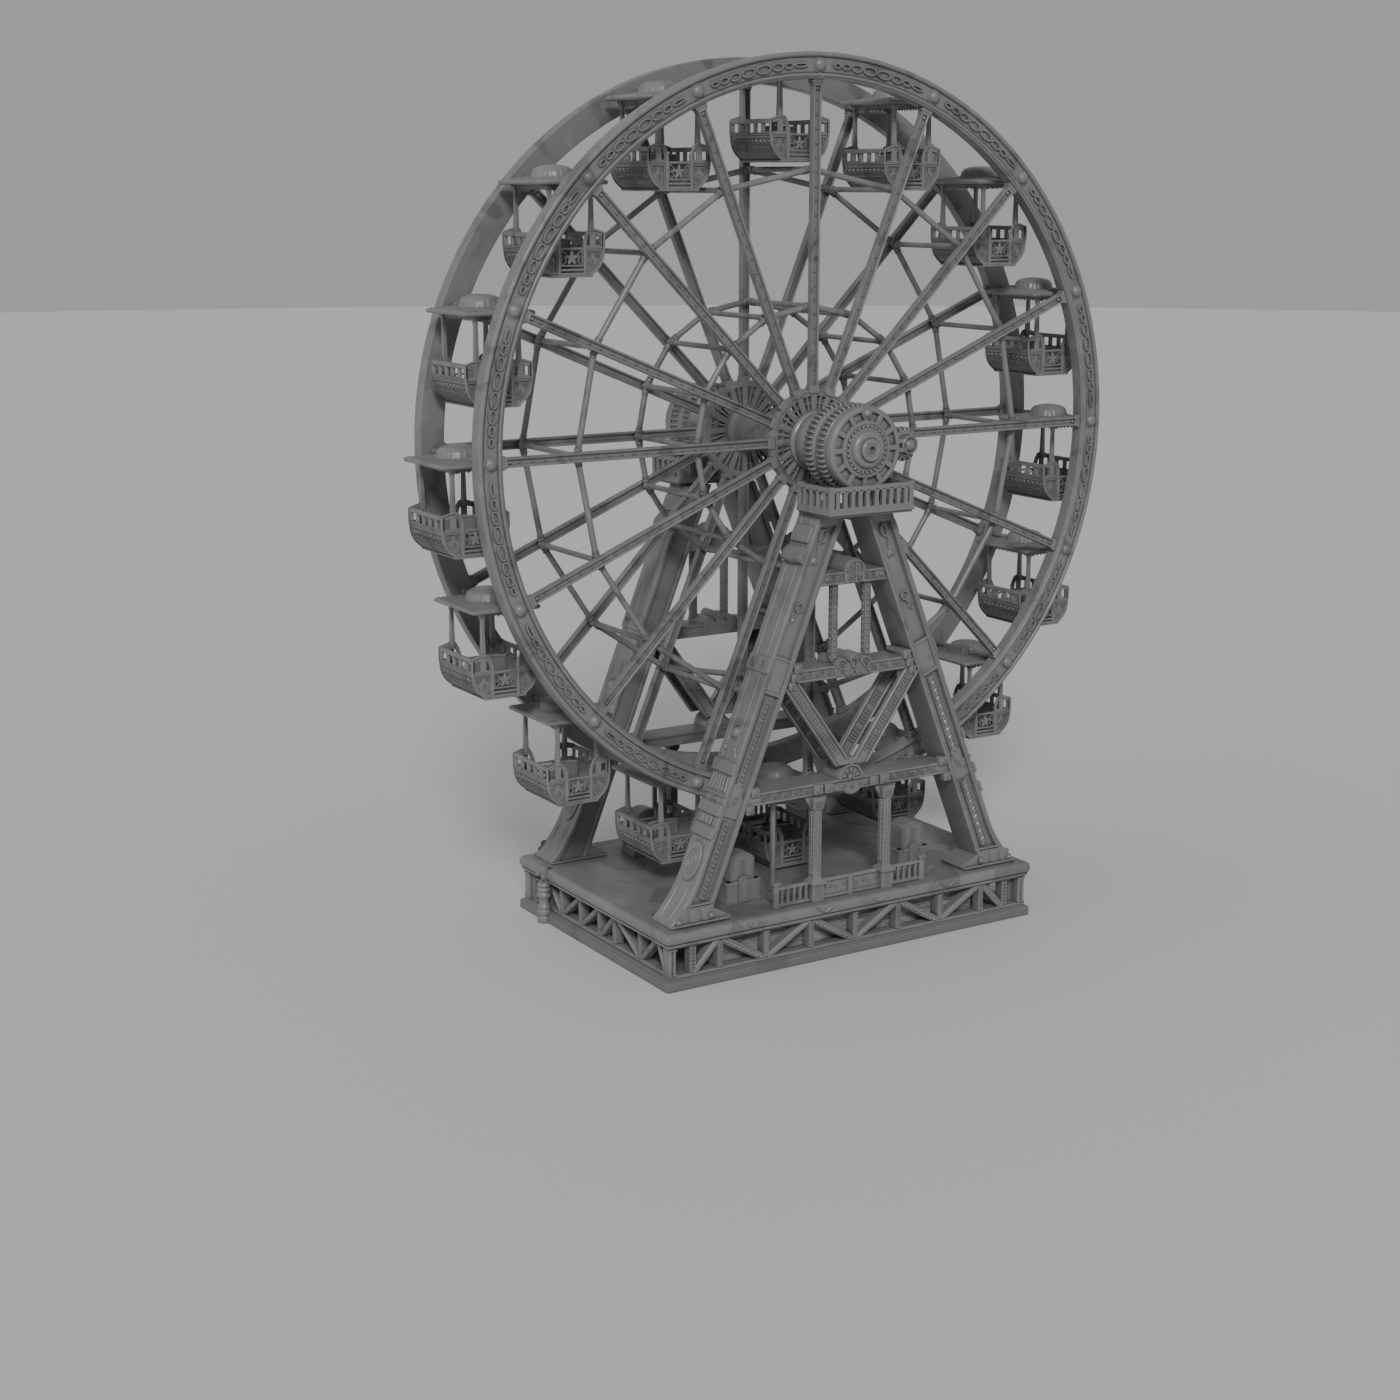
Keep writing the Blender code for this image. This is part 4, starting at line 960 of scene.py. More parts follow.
@dataclass
class BraceRing:
    """Rods from spoke to spoke on both sides of the wheel, and rods across between the sides."""

    name: str
    radius: float
    rod_radius: float = 0.068
    ring_out: float = 1.2437

    def build(self) -> None:
        """Install the rods of both sides, their collars and the rods across."""
        corners = [polar(self.radius, n * SECTOR) for n in range(GONDOLAS)]
        start, end = np.array([*corners[0], self.ring_out]), np.array([*corners[1], self.ring_out])
        run = (end - start) / np.linalg.norm(end - start)
        side_rod = rod(start, end, self.rod_radius, 10)
        collars = [rod(start + run * a, start + run * b, self.rod_radius * 1.28, 10)
                   for a, b in ((0.10, 0.16), (0.19, 0.21))]
        collars += [rod(end - run * a, end - run * b, self.rod_radius * 1.28, 10)
                    for a, b in ((0.10, 0.16), (0.19, 0.21))]
        knot = lathe([(0.0, -0.085), (0.06, -0.07), (0.088, -0.03), (0.088, 0.03), (0.06, 0.063), (0.0, 0.063)], 12)
        knot = knot.shifted(self.radius, 0.0, self.ring_out)
        one = Form.joined([ring_of(Form.joined([side_rod, *collars]), GONDOLAS), ring_of(knot, GONDOLAS)])
        across = rod((self.radius, 0.0, -self.ring_out), (self.radius, 0.0, self.ring_out),
                     self.rod_radius * 0.9, 10)
        cuffs = rod((self.radius, 0.0, self.ring_out - 0.20), (self.radius, 0.0, self.ring_out - 0.09),
                    self.rod_radius * 1.2, 10)
        cuffs = Form.joined([cuffs, cuffs.mirrored(2)])
        made = Form.joined([one, one.mirrored(2), ring_of(Form.joined([across, cuffs]), GONDOLAS)])
        install(f"{self.name}_rods", Side.FRONT.place(made, HUB_HEIGHT), WHEEL_GREY, Slot.WHEEL, "wheel",
                self.name)


@dataclass
class Axle:
    """The barrel between the two hub flanges."""

    face: float = 1.3077
    journal: float = 0.36
    barrel: float = 0.46

    def build(self) -> None:
        """Install the barrel with its rings."""
        end, out = self.face + 0.17, self.barrel
        half = [(0.0, end), (self.journal, end), (self.journal, self.face), (out + 0.05, self.face),
                (out + 0.06, self.face - 0.03), (out + 0.03, self.face - 0.09), (out - 0.02, self.face - 0.14),
                (out - 0.05, self.face - 0.30), (out - 0.06, 0.34), (out - 0.02, 0.30), (out + 0.01, 0.24),
                (out + 0.01, 0.18), (out - 0.03, 0.14)]
        profile = half + [(radius, -w) for radius, w in reversed(half)]
        made = Form.joined([lathe(profile, 40)])
        install("hub_axle_turned", Side.FRONT.place(made, HUB_HEIGHT), WHEEL_GREY, Slot.WHEEL, "wheel",
                "hub_axle")


@dataclass
class GearDrum:
    """The drum beside each flange: a domed neck and two rings of rounded teeth."""

    teeth: int = 48
    pitch_radius: float = 0.9336
    tooth_rise: float = 0.028
    tooth_sink: float = 0.046
    start: float = 1.4843
    inner_ring: tuple[float, float] = (2.40, 2.68)
    outer_ring: tuple[float, float] = (2.86, 3.14)

    def tooth(self, low: float, high: float) -> Form:
        """A tooth along the third axis with rounded flanks and ends, at the right of the drum.

        Args:
            low: where it starts out.
            high: where it ends.

        Returns:
            The tooth.
        """
        root, tip = self.pitch_radius - self.tooth_sink - 0.02, self.pitch_radius + self.tooth_rise
        wide = math.radians(360.0 / self.teeth * 0.30) * self.pitch_radius
        rings = []
        for share, size in ((0.0, 0.0), (0.06, 0.62), (0.16, 0.92), (0.30, 1.0), (0.70, 1.0), (0.84, 0.92),
                            (0.94, 0.62), (1.0, 0.0)):
            out = low + (high - low) * share
            rise, half = (tip - root) * size, wide * (0.55 + 0.45 * size)
            rings.append([(root, -half, out), (root + rise * 0.62, -half * 0.86, out),
                          (root + rise * 0.95, -half * 0.42, out), (root + rise, 0.0, out),
                          (root + rise * 0.95, half * 0.42, out), (root + rise * 0.62, half * 0.86, out),
                          (root, half, out)])
        return loft(np.array(rings))

    def build(self, side: Side) -> None:
        """Install the drum of one side."""
        root = self.pitch_radius - self.tooth_sink
        (a, b), (c, d) = self.inner_ring, self.outer_ring
        start = self.start
        profile = [(0.0, start), (0.66, start), (0.66, start + 0.05), (0.63, start + 0.09),
                   (0.60, start + 0.11), (0.645, start + 0.20), (0.66, start + 0.34), (0.645, start + 0.47),
                   (0.60, start + 0.57), (0.56, start + 0.62), (0.565, start + 0.66), (0.70, start + 0.76),
                   (0.80, start + 0.84), (root - 0.02, a - 0.03), (root, a), (root, b - 0.01),
                   (root - 0.012, b + 0.02), (root - 0.045, b + 0.05), (root - 0.045, c - 0.05),
                   (root - 0.012, c - 0.02), (root, c), (root, d), (root - 0.03, d + 0.02), (0.86, 3.168),
                   (0.19, 3.168), (0.19, 3.35), (0.0, 3.35)]
        made = [lathe(profile, 96)]
        made.append(ring_of(Form.joined([self.tooth(a, b), self.tooth(c, d)]), self.teeth))
        install(f"gear_drum_{side.word}_cut", side.place(Form.joined(made), HUB_HEIGHT), GEAR_GREY, Slot.GEAR,
                "wheel", f"gear_drum_{side.word}")


@dataclass
class Pinion:
    """The small toothed wheel that meshes with the outer ring of a drum."""

    centre: float = 1.2837
    teeth: int = 18
    pitch_radius: float = 0.3501
    near: float = 2.88
    far: float = 3.12

    def build(self, side: Side) -> None:
        """Install the pinion of one side."""
        drum = GearDrum(teeth=self.teeth, pitch_radius=self.pitch_radius)
        teeth = ring_of(drum.tooth(self.near, self.far), self.teeth, 180.0 / self.teeth)
        root = self.pitch_radius - drum.tooth_sink
        near, far = self.near, self.far
        body = lathe([(0.0, near - 0.06), (0.10, near - 0.06), (0.10, near + 0.004), (root - 0.03, near + 0.004),
                      (root, near + 0.03), (root, far - 0.03), (root - 0.025, far - 0.004), (root - 0.08, far - 0.004),
                      (root - 0.09, far - 0.03), (0.15, far - 0.03), (0.14, far), (0.105, far + 0.01),
                      (0.105, far + 0.066), (0.0, far + 0.066)], 40)
        made = Form.joined([teeth, body]).shifted(self.centre)
        install(f"pinion_{side.word}_cut", side.place(made, HUB_HEIGHT), GEAR_GREY, Slot.GEAR,
                f"pinion_{side.word}", f"pinion_{side.word}")


@dataclass
class Gondola:
    """A gondola that hangs on its pin: a boat-shaped tub with gates, four posts and a domed roof.

    It is drawn from the underside of its roof, which hangs a little below the pin.
    """

    hang: float = 0.14
    roof_x: float = 0.80
    roof_y: float = 0.96
    rail_top: float = -0.96
    tub_x: float = 0.76
    tub_y: float = 0.80
    floor_z: float = -1.872
    post_x: float = 0.485
    post_y: float = 0.745
    pin_end: float = 1.2157
    moulding_z: float = -1.28
    bays: int = 5
    # How far the roof is drawn in at each height, up to the foot of its dome
    roof_levels: tuple[tuple[float, float], ...] = ((0.12, 0.0), (0.034, 0.0), (0.010, 0.012), (0.0, 0.034),
                                                   (0.0, 0.060), (0.009, 0.082), (0.030, 0.095), (0.062, 0.099),
                                                   (0.44, 0.158))
    # The outside of the tub below its moulding, as (x, z)
    hull: tuple[tuple[float, float], ...] = ((0.745, -1.25), (0.745, -1.36), (0.738, -1.44), (0.715, -1.53),
                                            (0.672, -1.62), (0.605, -1.70), (0.52, -1.775), (0.43, -1.84))

    def roof(self) -> Form:
        """The flat roof with its rounded edge, its flutes and its low dome.

        Returns:
            The roof.
        """
        parts = [stepped(self.roof_x, self.roof_y, self.roof_levels, 0.035)]
        flute = [(0.015, -0.02), (0.011, 0.004), (0.0, 0.009), (-0.011, 0.004), (-0.015, -0.02)]
        for half, other, axis in ((self.roof_x, self.roof_y, 0), (self.roof_y, self.roof_x, 1)):
            for place in np.linspace(-half + 0.10, half - 0.10, 15 if axis else 13):
                foot = other - 0.062
                start = min(foot - 0.05, max(0.40, abs(place) + other - half + 0.02))
                ends = [(place, foot, 0.099), (place, start, 0.099 + 0.156 * (foot - start))]
                route = [(x, y, z) if axis == 0 else (y, x, z) for x, y, z in ends]
                rib = sweep(route, flute)
                parts += [rib, rib.mirrored(1 - axis)]
        shape = [(0.475, 0.10), (0.470, 0.150), (0.452, 0.176), (0.440, 0.205), (0.432, 0.250), (0.408, 0.300),
                 (0.355, 0.348), (0.270, 0.382), (0.150, 0.402), (0.0, 0.409)]
        crown = lathe(shape, 80)
        around = np.arctan2(crown.points[:, 1], crown.points[:, 0])
        ripple = 1.0 + 0.020 * np.cos(20 * around) * (crown.points[:, 2] > 0.16)
        crown.points[:, :2] *= ripple[:, None]
        parts.append(crown)
        return Form.joined(parts)

    def valance(self) -> Form:
        """The beams, scalloped strips and scroll brackets under the roof.

        Returns:
            Everything between the roof and the posts.
        """
        parts = []
        for half, other, along_x in ((self.post_x, self.post_y, True), (self.post_y, self.post_x, False)):
            lobes = 9 if along_x else 14
            width = 2 * half / lobes
            edge = []
            for number in range(lobes):
                centre = -half + width * (number + 0.5)
                edge += [(centre + width / 2 * math.cos(a), -0.058 - 0.034 * math.sin(a))
                         for a in np.linspace(math.pi, 0.16, 6)]
            outline = [*edge, (half, -0.05), (half, 0.01), (-half, 0.01)]
            drop = lathe([(0.0, -0.118), (0.013, -0.106), (0.016, -0.092), (0.008, -0.078), (0.0, -0.07)], 6)
            drops = row_of(drop, (-half + width / 2, 0.0, 0.0), (half - width / 2, 0.0, 0.0), lobes)
            strip = Form.joined([Side.BACK.place(slab(outline, -0.013, 0.013, 0.004)), drops])
            beam = block((-half - 0.10, -0.048, -0.040), (half + 0.10, 0.048, 0.012), 0.012)
            strip = Form.joined([strip, beam])
            for sign in (-1, 1):
                placed = shift(y=sign * other) if along_x else shift(x=sign * other) @ turn(90.0)
                parts.append(strip.moved(placed))
        curl = scroll(0.10, 0.022, 0.016, 1.2, 10)
        bracket = Form.joined([Side.FRONT.place(curl), Side.BACK.place(curl)]).shifted(-0.10, 0.0, -0.085)
        parts.append(bracket.shifted(self.post_x, self.post_y).doubled(0).doubled(1))
        return Form.joined(parts)

    def posts(self) -> Form:
        """The four tapered posts, with their corbelled heads.

        Returns:
            The posts.
        """
        levels = ((-1.02, 0.055), (-0.88, 0.053), (-0.55, 0.046), (-0.17, 0.041), (-0.155, 0.050),
                  (-0.135, 0.050), (-0.12, 0.044), (-0.03, 0.082), (0.01, 0.082))
        post = stepped(0.0, 0.0, [(-half, z) for z, half in levels], 0.012)
        return post.shifted(self.post_x, self.post_y).doubled(0).doubled(1)

    def tub(self) -> Form:
        """The hull, its floor rim, its long rails, openings and carved bands.

        Returns:
            The tub without its ends.
        """
        outer = list(self.hull)
        inner = [(x - 0.045, z + (0.03 if z < -1.6 else 0.0)) for x, z in outer]
        section = [*outer, *[(-x, z) for x, z in reversed(outer)],
                   *[(-x, z) for x, z in inner], *inner[::-1]]
        rings = [[(x, y, z) for x, z in section] for y in (-self.tub_y + 0.03, self.tub_y - 0.03)]
        rim = ((0.03, self.floor_z), (0.004, self.floor_z + 0.010), (0.0, self.floor_z + 0.024),
               (0.006, self.floor_z + 0.040), (0.03, self.floor_z + 0.050))
        parts = [loft(np.array(rings)), stepped(0.497, self.tub_y + 0.028, rim, 0.02)]
        parts.append(self._long_side().doubled(0))
        parts.append(block((-0.40, -0.74, -1.835), (0.40, 0.74, -1.80), 0.0))
        return Form.joined(parts)

    def _long_side(self) -> Form:
        """One long side: rail, row of openings, moulding and the carved band.

        Returns:
            The side at positive x.
        """
        x, y = self.tub_x, self.tub_y
        rail = [(0.028, -0.060), (0.040, -0.044), (0.040, 0.018), (0.022, 0.034), (-0.024, 0.034),
                (-0.040, 0.018), (-0.040, -0.044), (-0.028, -0.060)]
        top = self.rail_top - 0.034
        parts = [sweep([(x - 0.026, -y + 0.01, top), (x - 0.026, y - 0.01, top)], rail)]
        step = [(0.026, -0.030), (0.040, -0.018), (0.040, 0.000), (0.024, 0.006), (0.040, 0.014),
                (0.040, 0.026), (0.024, 0.036), (-0.02, 0.036), (-0.02, -0.030)]
        parts.append(sweep([(x - 0.032, y, self.moulding_z), (x - 0.032, -y, self.moulding_z)],
                           [(-a, b) for a, b in step]))
        for place in np.linspace(-y + 0.045, y - 0.045, self.bays + 1):
            half = 0.045 if abs(place) > y - 0.1 else 0.066
            parts.append(block((x - 0.060, place - half, self.moulding_z), (x - 0.014, place + half, top), 0.012))
            parts.append(block((x - 0.020, place - half * 0.5, -1.235), (x - 0.006, place + half * 0.5, -1.055), 0.006))
        oval = ring_link(0.135, 0.105, 0.022, 0.018, 10).moved(turn(90.0))
        petal = leaf(0.085, 0.045, 0.018)
        drawing = [row_of(oval, (-0.64, 0.080, 0.0), (0.64, 0.080, 0.0), 9),
                   row_of(dome(0.020, 0.020, 6, 2), (-0.64, 0.080, 0.0), (0.64, 0.080, 0.0), 9),
                   row_of(petal, (-0.56, 0.034, 0.0), (0.56, 0.034, 0.0), 8)]
        curl = scroll(0.095, 0.020, 0.016, 1.15, 9)
        for number, place in enumerate(np.linspace(-0.69, 0.69, 12)):
            turned = curl if number % 2 else curl.mirrored(0)
            drawing.append(turned.shifted(place, 0.208))
        for along in (0.006, 0.150, 0.270):
            drawing.append(sweep([(-0.77, along, 0.0), (0.77, along, 0.0)], half_round(0.020, 0.014, 2)))
        fold = sweep([(0.0, along, 0.0) for along in np.linspace(0.30, 0.585, 6)], half_round(0.062, 0.011, 3))
        drawing.append(row_of(fold, (-0.66, 0.0, 0.0), (0.66, 0.0, 0.0), 12))
        raised = Form.joined(drawing).moved(stretch(1.0, 1.0, 1.7))
        parts.append(draped(raised, np.array(self.hull[1:])).outward())
        return Form.joined(parts)

    def end(self) -> Form:
        """One end of the tub as drawn: shoulders, openings, carved panels, stiles, gate and sill.

        Returns:
            The end as (across, up, out), with zero out at the wall.
        """
        side = [(0.765, -0.985), (0.765, -1.25), *self.hull[1:]]
        shoulder = [(0.765, -0.985), (0.745, -0.968), (0.68, -0.952), (0.60, -0.925), (0.53, -0.908),
                    (0.44, -0.905), (0.40, -0.915), (0.37, -0.945), (0.353, -0.99), (0.330, -1.025),
                    (0.312, -1.065), (0.304, -1.12)]
        outline = [(0.30, self.floor_z + 0.03), *side[:0:-1], *shoulder]
        window_1 = [(0.570, -1.225), (0.705, -1.225), (0.705, -1.050), (0.570, -1.020)]
        window_2 = [(0.358, -1.225), (0.430, -1.225), (0.430, -1.020), (0.398, -1.040), (0.370, -1.110),
                    (0.358, -1.160)]
        field = [(0.362, -1.340), (0.690, -1.340), (0.683, -1.430), (0.650, -1.530), (0.590, -1.620),
                 (0.505, -1.700), (0.430, -1.745), (0.362, -1.760)]
        parts = [pierced(outline, [window_1, window_2, field], -0.045, 0.0, 0.008),
                 slab(field, -0.040, -0.024), sweep(flat_path(np.array(side)), half_round(0.052, 0.028, 4)),
                 sweep(flat_path(np.array(shoulder)), half_round(0.050, 0.026, 4)),
                 stroke(np.array(field), 0.024, 0.012, closed=True)]
        parts.append(stroke(np.array([(0.33, self.moulding_z), (0.765, self.moulding_z)]), 0.046, 0.024))
        parts.append(stroke(np.array([(0.345, -1.045), (0.415, -0.985), (0.485, -0.965)]), 0.030, 0.016))
        drop = Form.joined([ring_link(0.150, 0.100, 0.028, 0.026, 12), leaf(0.07, 0.034, 0.022).shifted(y=-0.035)])
        for x, z, slant, size in ((0.590, -1.425, 48.0, 1.0), (0.432, -1.415, -8.0, 0.84), (0.470, -1.575, -22.0, 1.12)):
            parts.append(drop.moved(shift(x, z, -0.026) @ turn(slant) @ stretch(size, size, 1.0)))
        parts.append(block((0.266, self.floor_z + 0.02, -0.05), (0.338, -1.105, 0.030), 0.014))
        both = Form.joined(parts).doubled(0)
        gate = []
        for low, high, half, proud in ((-1.310, -1.262, 0.27, 0.018), (-1.652, -1.616, 0.27, 0.014),
                                       (-1.742, -1.694, 0.30, 0.026), (-1.832, -1.772, 0.31, 0.016)):
            gate.append(block((-half, low, -0.035), (half, high, proud), 0.010))
        gate += [block((x - 0.012, -1.64, -0.022), (x + 0.012, -1.30, 0.008), 0.004) for x in (-0.248, 0.248)]
        star = Form.joined([ring_of(leaf(0.158, 0.078, 0.022), 5), dome(0.044, 0.030, 8, 2)])
        gate.append(star.shifted(0.0, -1.480, -0.008))
        for sign in (-1, 1):
            gate.append(stroke(np.array([(sign * 0.24, -1.31), (sign * 0.13, -1.40), (sign * 0.16, -1.47),
                                         (sign * 0.13, -1.55), (sign * 0.24, -1.63)]), 0.024, 0.014))
            curl = spiral(0.045, 1.1 * sign, 90.0, 8, 0.2) + (sign * 0.20, -1.47)
            gate.append(stroke(curl, 0.020, 0.014, steps=2))
        return Form.joined([both, *gate])

    def bench(self) -> Form:
        """The bench across the middle of the tub, with a low back.

        Returns:
            The bench.
        """
        seat = block((-0.42, -0.19, -1.50), (0.42, 0.19, -1.455), 0.014)
        foot = block((-0.38, -0.14, -1.83), (0.38, 0.14, -1.49), 0.012)
        back = block((-0.40, -0.026, -1.47), (0.40, 0.026, -1.14), 0.014)
        crest = sweep([(-0.40, 0.0, -1.14), (-0.2, 0.0, -1.12), (0.0, 0.0, -1.105), (0.2, 0.0, -1.12),
                       (0.40, 0.0, -1.14)], circle(0.034, 8))
        slats = [block((x - 0.012, -0.034, -1.43), (x + 0.012, 0.034, -1.16), 0.004)
                 for x in np.linspace(-0.32, 0.32, 7)]
        return Form.joined([seat, foot, back, crest, *slats])

    def form(self) -> Form:
        """The whole gondola round its pin."""
        pin = rod((0.0, -self.pin_end, 0.0), (0.0, self.pin_end, 0.0), 0.044, 12)
        cuff = rod((0.0, 1.00, 0.0), (0.0, 1.09, 0.0), 0.068, 12)
        saddle = block((-0.075, 0.70, -0.07), (0.075, 0.88, 0.055), 0.03)
        end = self.end()
        ends = [Side.BACK.place(end).shifted(y=self.tub_y), Side.FRONT.place(end).shifted(y=-self.tub_y)]
        body = Form.joined([self.roof(), self.valance(), self.posts(), self.tub(), *ends, self.bench()])
        return Form.joined([body.shifted(z=-self.hang), pin, cuff.doubled(1), saddle.doubled(1)])

    def build_all(self) -> None:
        """Install the sixteen gondolas, which share one mesh."""
        shared = self.form().mesh("gondola", 42.0)
        for number in range(1, GONDOLAS + 1):
            x, z = polar(8.0, 90.0 - (number - 1) * SECTOR)
            name = f"gondola_{number:02d}"
            install(f"{name}_cabin", None, GONDOLA_GREY, Slot.GONDOLA, name, name,
                    at=(x, 0.0, HUB_HEIGHT + z), mesh=shared)


@dataclass(frozen=True)
class Leg:
    """A leaning leg: channelled front and back, grooved outside, on a flared foot."""

    near: float = 2.32
    far: float = 3.12
    width: float = 0.68
    top: float = 9.96
    lean: float = 0.402
    edge_x: float = 4.32
    edge_z: float = 1.60
    channel: float = 3.00
    flare: float = 0.30
    flare_top: float = 2.40

    @property
    def tilt(self) -> float:
        """How far a leg leans from upright, in degrees."""
        return math.degrees(math.atan(self.lean))

    def outer(self, z: float) -> float:
        """How far out the outer edge of a leg is at a height."""
        return self.edge_x + (self.edge_z - z) * self.lean

    def inner(self, z: float) -> float:
        """How far out the inner edge of a leg is at a height."""
        return self.outer(z) - self.width

    def on_face(self, form: Form, z: float, across: float = 0.34, out: float | None = None) -> Form:
        """Set an ornament into the front channel at a height, along the leg."""
        depth = self.channel if out is None else out
        return form.moved(shift(self.inner(z) + across, z, depth) @ turn(self.tilt))

    def on_side(self, form: Form, z: float, out: float = 2.72) -> Form:
        """Set an ornament on the outer side of the leg at a height.

        Args:
            form: the ornament as (across, along, out).
            z: the height.
            out: where its middle lies between the leg's two faces.

        Returns:
            The placed ornament.
        """
        a = math.radians(self.tilt)
        change = np.eye(4)
        change[:3, 0] = (0.0, 0.0, 1.0)
        change[:3, 1] = (-math.sin(a), math.cos(a), 0.0)
        change[:3, 2] = (math.cos(a), math.sin(a), 0.0)
        change[:3, 3] = (self.outer(z), z, out)
        return form.moved(change)

    def shaft(self) -> Form:
        """The leg itself, from its foot to its head.

        Returns:
            The shaft at positive x.
        """
        w, near, far = self.width, self.near, self.far
        rail = [(0.0, far - 0.024), (0.022, far), (0.062, far), (0.070, far - 0.012), (0.080, far - 0.012),
                (0.088, far - 0.002), (0.112, far - 0.002), (0.124, far - 0.014), (0.130, self.channel)]
        front = [(w - s, out) for s, out in rail] + [(s, out) for s, out in reversed(rail)]
        back_rail = [(0.0, near + 0.022), (0.022, near), (0.100, near), (0.120, near + 0.014), (0.126, near + 0.066)]
        back = back_rail + [(w - s, out) for s, out in reversed(back_rail)]
        side = []
        for middle in (near + 0.21, far - 0.21):
            side += [(w, middle - 0.036), (w - 0.018, middle - 0.022), (w - 0.018, middle + 0.022),
                     (w, middle + 0.036)]
        section = np.array([*back, *side, *front])
        foot = DECK_TOP + 0.0003
        heights = [foot, 1.36, *np.linspace(1.46, self.flare_top, 8), *np.linspace(3.2, self.top, 9)]
        rings = []
        for z in heights:
            share = min(1.0, max(0.0, (self.flare_top - z) / (self.flare_top - 1.36)))
            spread = self.flare * share ** 2 * (section[:, 0] / w) ** 2
            x = self.inner(max(z, 1.36)) + section[:, 0] + spread
            rings.append(np.column_stack([x, np.full(len(section), z), section[:, 1]]))
        return loft(rings)

    def foot(self) -> Form:
        """The pad with its slope and rolled edge, the tabs and the bolts.

        Returns:
            The foot at positive x.
        """
        low = DECK_TOP + 0.0003
        inner = self.inner(low + 0.30)
        wedge = slab([(3.24, low), (inner + 0.10, low), (inner + 0.10, low + 0.32), (inner - 0.012, low + 0.31),
                      (3.26, low + 0.115), (3.24, low + 0.10)], self.near + 0.004, self.far + 0.004, 0.02, True)
        roll = rod((3.262, low + 0.055, self.near - 0.02), (3.262, low + 0.055, self.far + 0.03), 0.052, 10)
        plate = block((3.24, low, self.near - 0.05), (4.72, low + 0.055, self.far + 0.07), 0.020)
        edge = sweep([(3.26, low + 0.050, self.far + 0.055), (4.70, low + 0.050, self.far + 0.055)],
                     circle(0.030, 8), up=(0.0, 1.0, 0.0))
        fill = slab([(self.inner(1.33) + 0.012, 1.33), (self.outer(1.33) + 0.275, 1.33),
                     (self.outer(1.70) + 0.120, 1.70), (self.inner(1.70) + 0.012, 1.70)],
                    self.channel - 0.02, self.far + 0.008, 0.012)
        ledge = block((self.inner(1.74) + 0.06, 1.715, self.channel - 0.02), (self.outer(1.74) + 0.06, 1.765,
                                                                              self.far + 0.010), 0.012)
        tab = slab(rectangle(-0.130, 0.130, 1.372, 1.660, 0.045), 0.0, 0.030, 0.014)
        tabs = [tab.shifted(self.inner(1.5) + place, 0.0, self.far + 0.002) for place in (0.148, 0.452, 0.756)]
        bolt = Form.joined([dome(0.066, 0.072, 14, 4), lathe([(0.082, -0.01), (0.082, 0.012), (0.0, 0.012)], 14)])
        bolts = [bolt.shifted(self.inner(1.5) + place, z, self.far + 0.040) for place, z in ((0.045, 1.475), (0.865, 1.440))]
        return Form.joined([wedge, roll, plate, edge, fill, ledge, *tabs, *bolts])

    def rope(self, low: float, high: float) -> Form:
        """A narrow raised strip of slanting strands between two heights, along the middle of the channel.

        Args:
            low: its lower end.
            high: its upper end.

        Returns:
            The strip.
        """
        half = (high - low) / 2 / math.cos(math.radians(self.tilt))
        width, proud = 0.088, 0.034
        parts = [slab(rectangle(-width, width, -half, half), -0.02, proud, 0.010)]
        for place in (-width, width):
            parts.append(sweep([(place, -half, proud - 0.006), (place, half, proud - 0.006)],
                               half_round(0.026, 0.024, 3)))
        count = round(half / 0.052)
        for number in range(count):
            strand = leaf(0.19, 0.082, 0.046).shifted(y=-0.095).moved(turn(-50.0 if number % 2 else -34.0))
            parts.append(strand.shifted(0.0, half * (2 * number + 1 - count) / count, proud - 0.004))
        return self.on_face(Form.joined(parts), (low + high) / 2)

    def carving(self) -> Form:
        """What is carved in the front channel, from the head down to the foot.

        Returns:
            The carving at positive x.
        """
        parts = [self.on_face(ring_link(0.34, 0.21, 0.058, 0.066), 9.50)]
        tail = np.array([(0.03, -0.15), (0.05, -0.24), (0.02, -0.34), (-0.02, -0.42), (0.0, -0.50)])
        parts.append(self.on_face(stroke(tail, 0.062, 0.060, taper=0.5), 9.50))
        for lean in (160.0, 200.0):
            parts.append(self.on_face(leaf(0.20, 0.12, 0.054).moved(turn(lean)), 9.04))
        parts.append(self.on_face(ring_link(0.25, 0.24, 0.058, 0.066), 7.99))
        hook = np.array([(0.0, -0.11), (0.01, -0.19), (0.06, -0.26), (0.13, -0.29), (0.19, -0.25), (0.20, -0.18)])
        parts.append(self.on_face(stroke(hook, 0.060, 0.060, taper=0.45), 7.99))
        parts.append(self.on_face(leaf(0.22, 0.10, 0.048).moved(turn(196.0)).shifted(0.02, -0.20), 7.99))
        plate = slab(rectangle(-0.212, 0.212, -0.40, 0.40, 0.02), -0.02, 0.078, 0.020)
        parts.append(self.on_face(plate, 6.53))
        parts.append(self.on_face(rod((-0.235, 0.0, 0.074), (0.235, 0.0, 0.074), 0.034, 10), 6.90))
        parts.append(self.on_face(block((-0.225, -0.040, -0.02), (0.225, 0.040, 0.106), 0.016), 6.18))
        return Form.joined([*parts, self.rope(4.22, 6.04), self.rope(1.82, 3.46)])

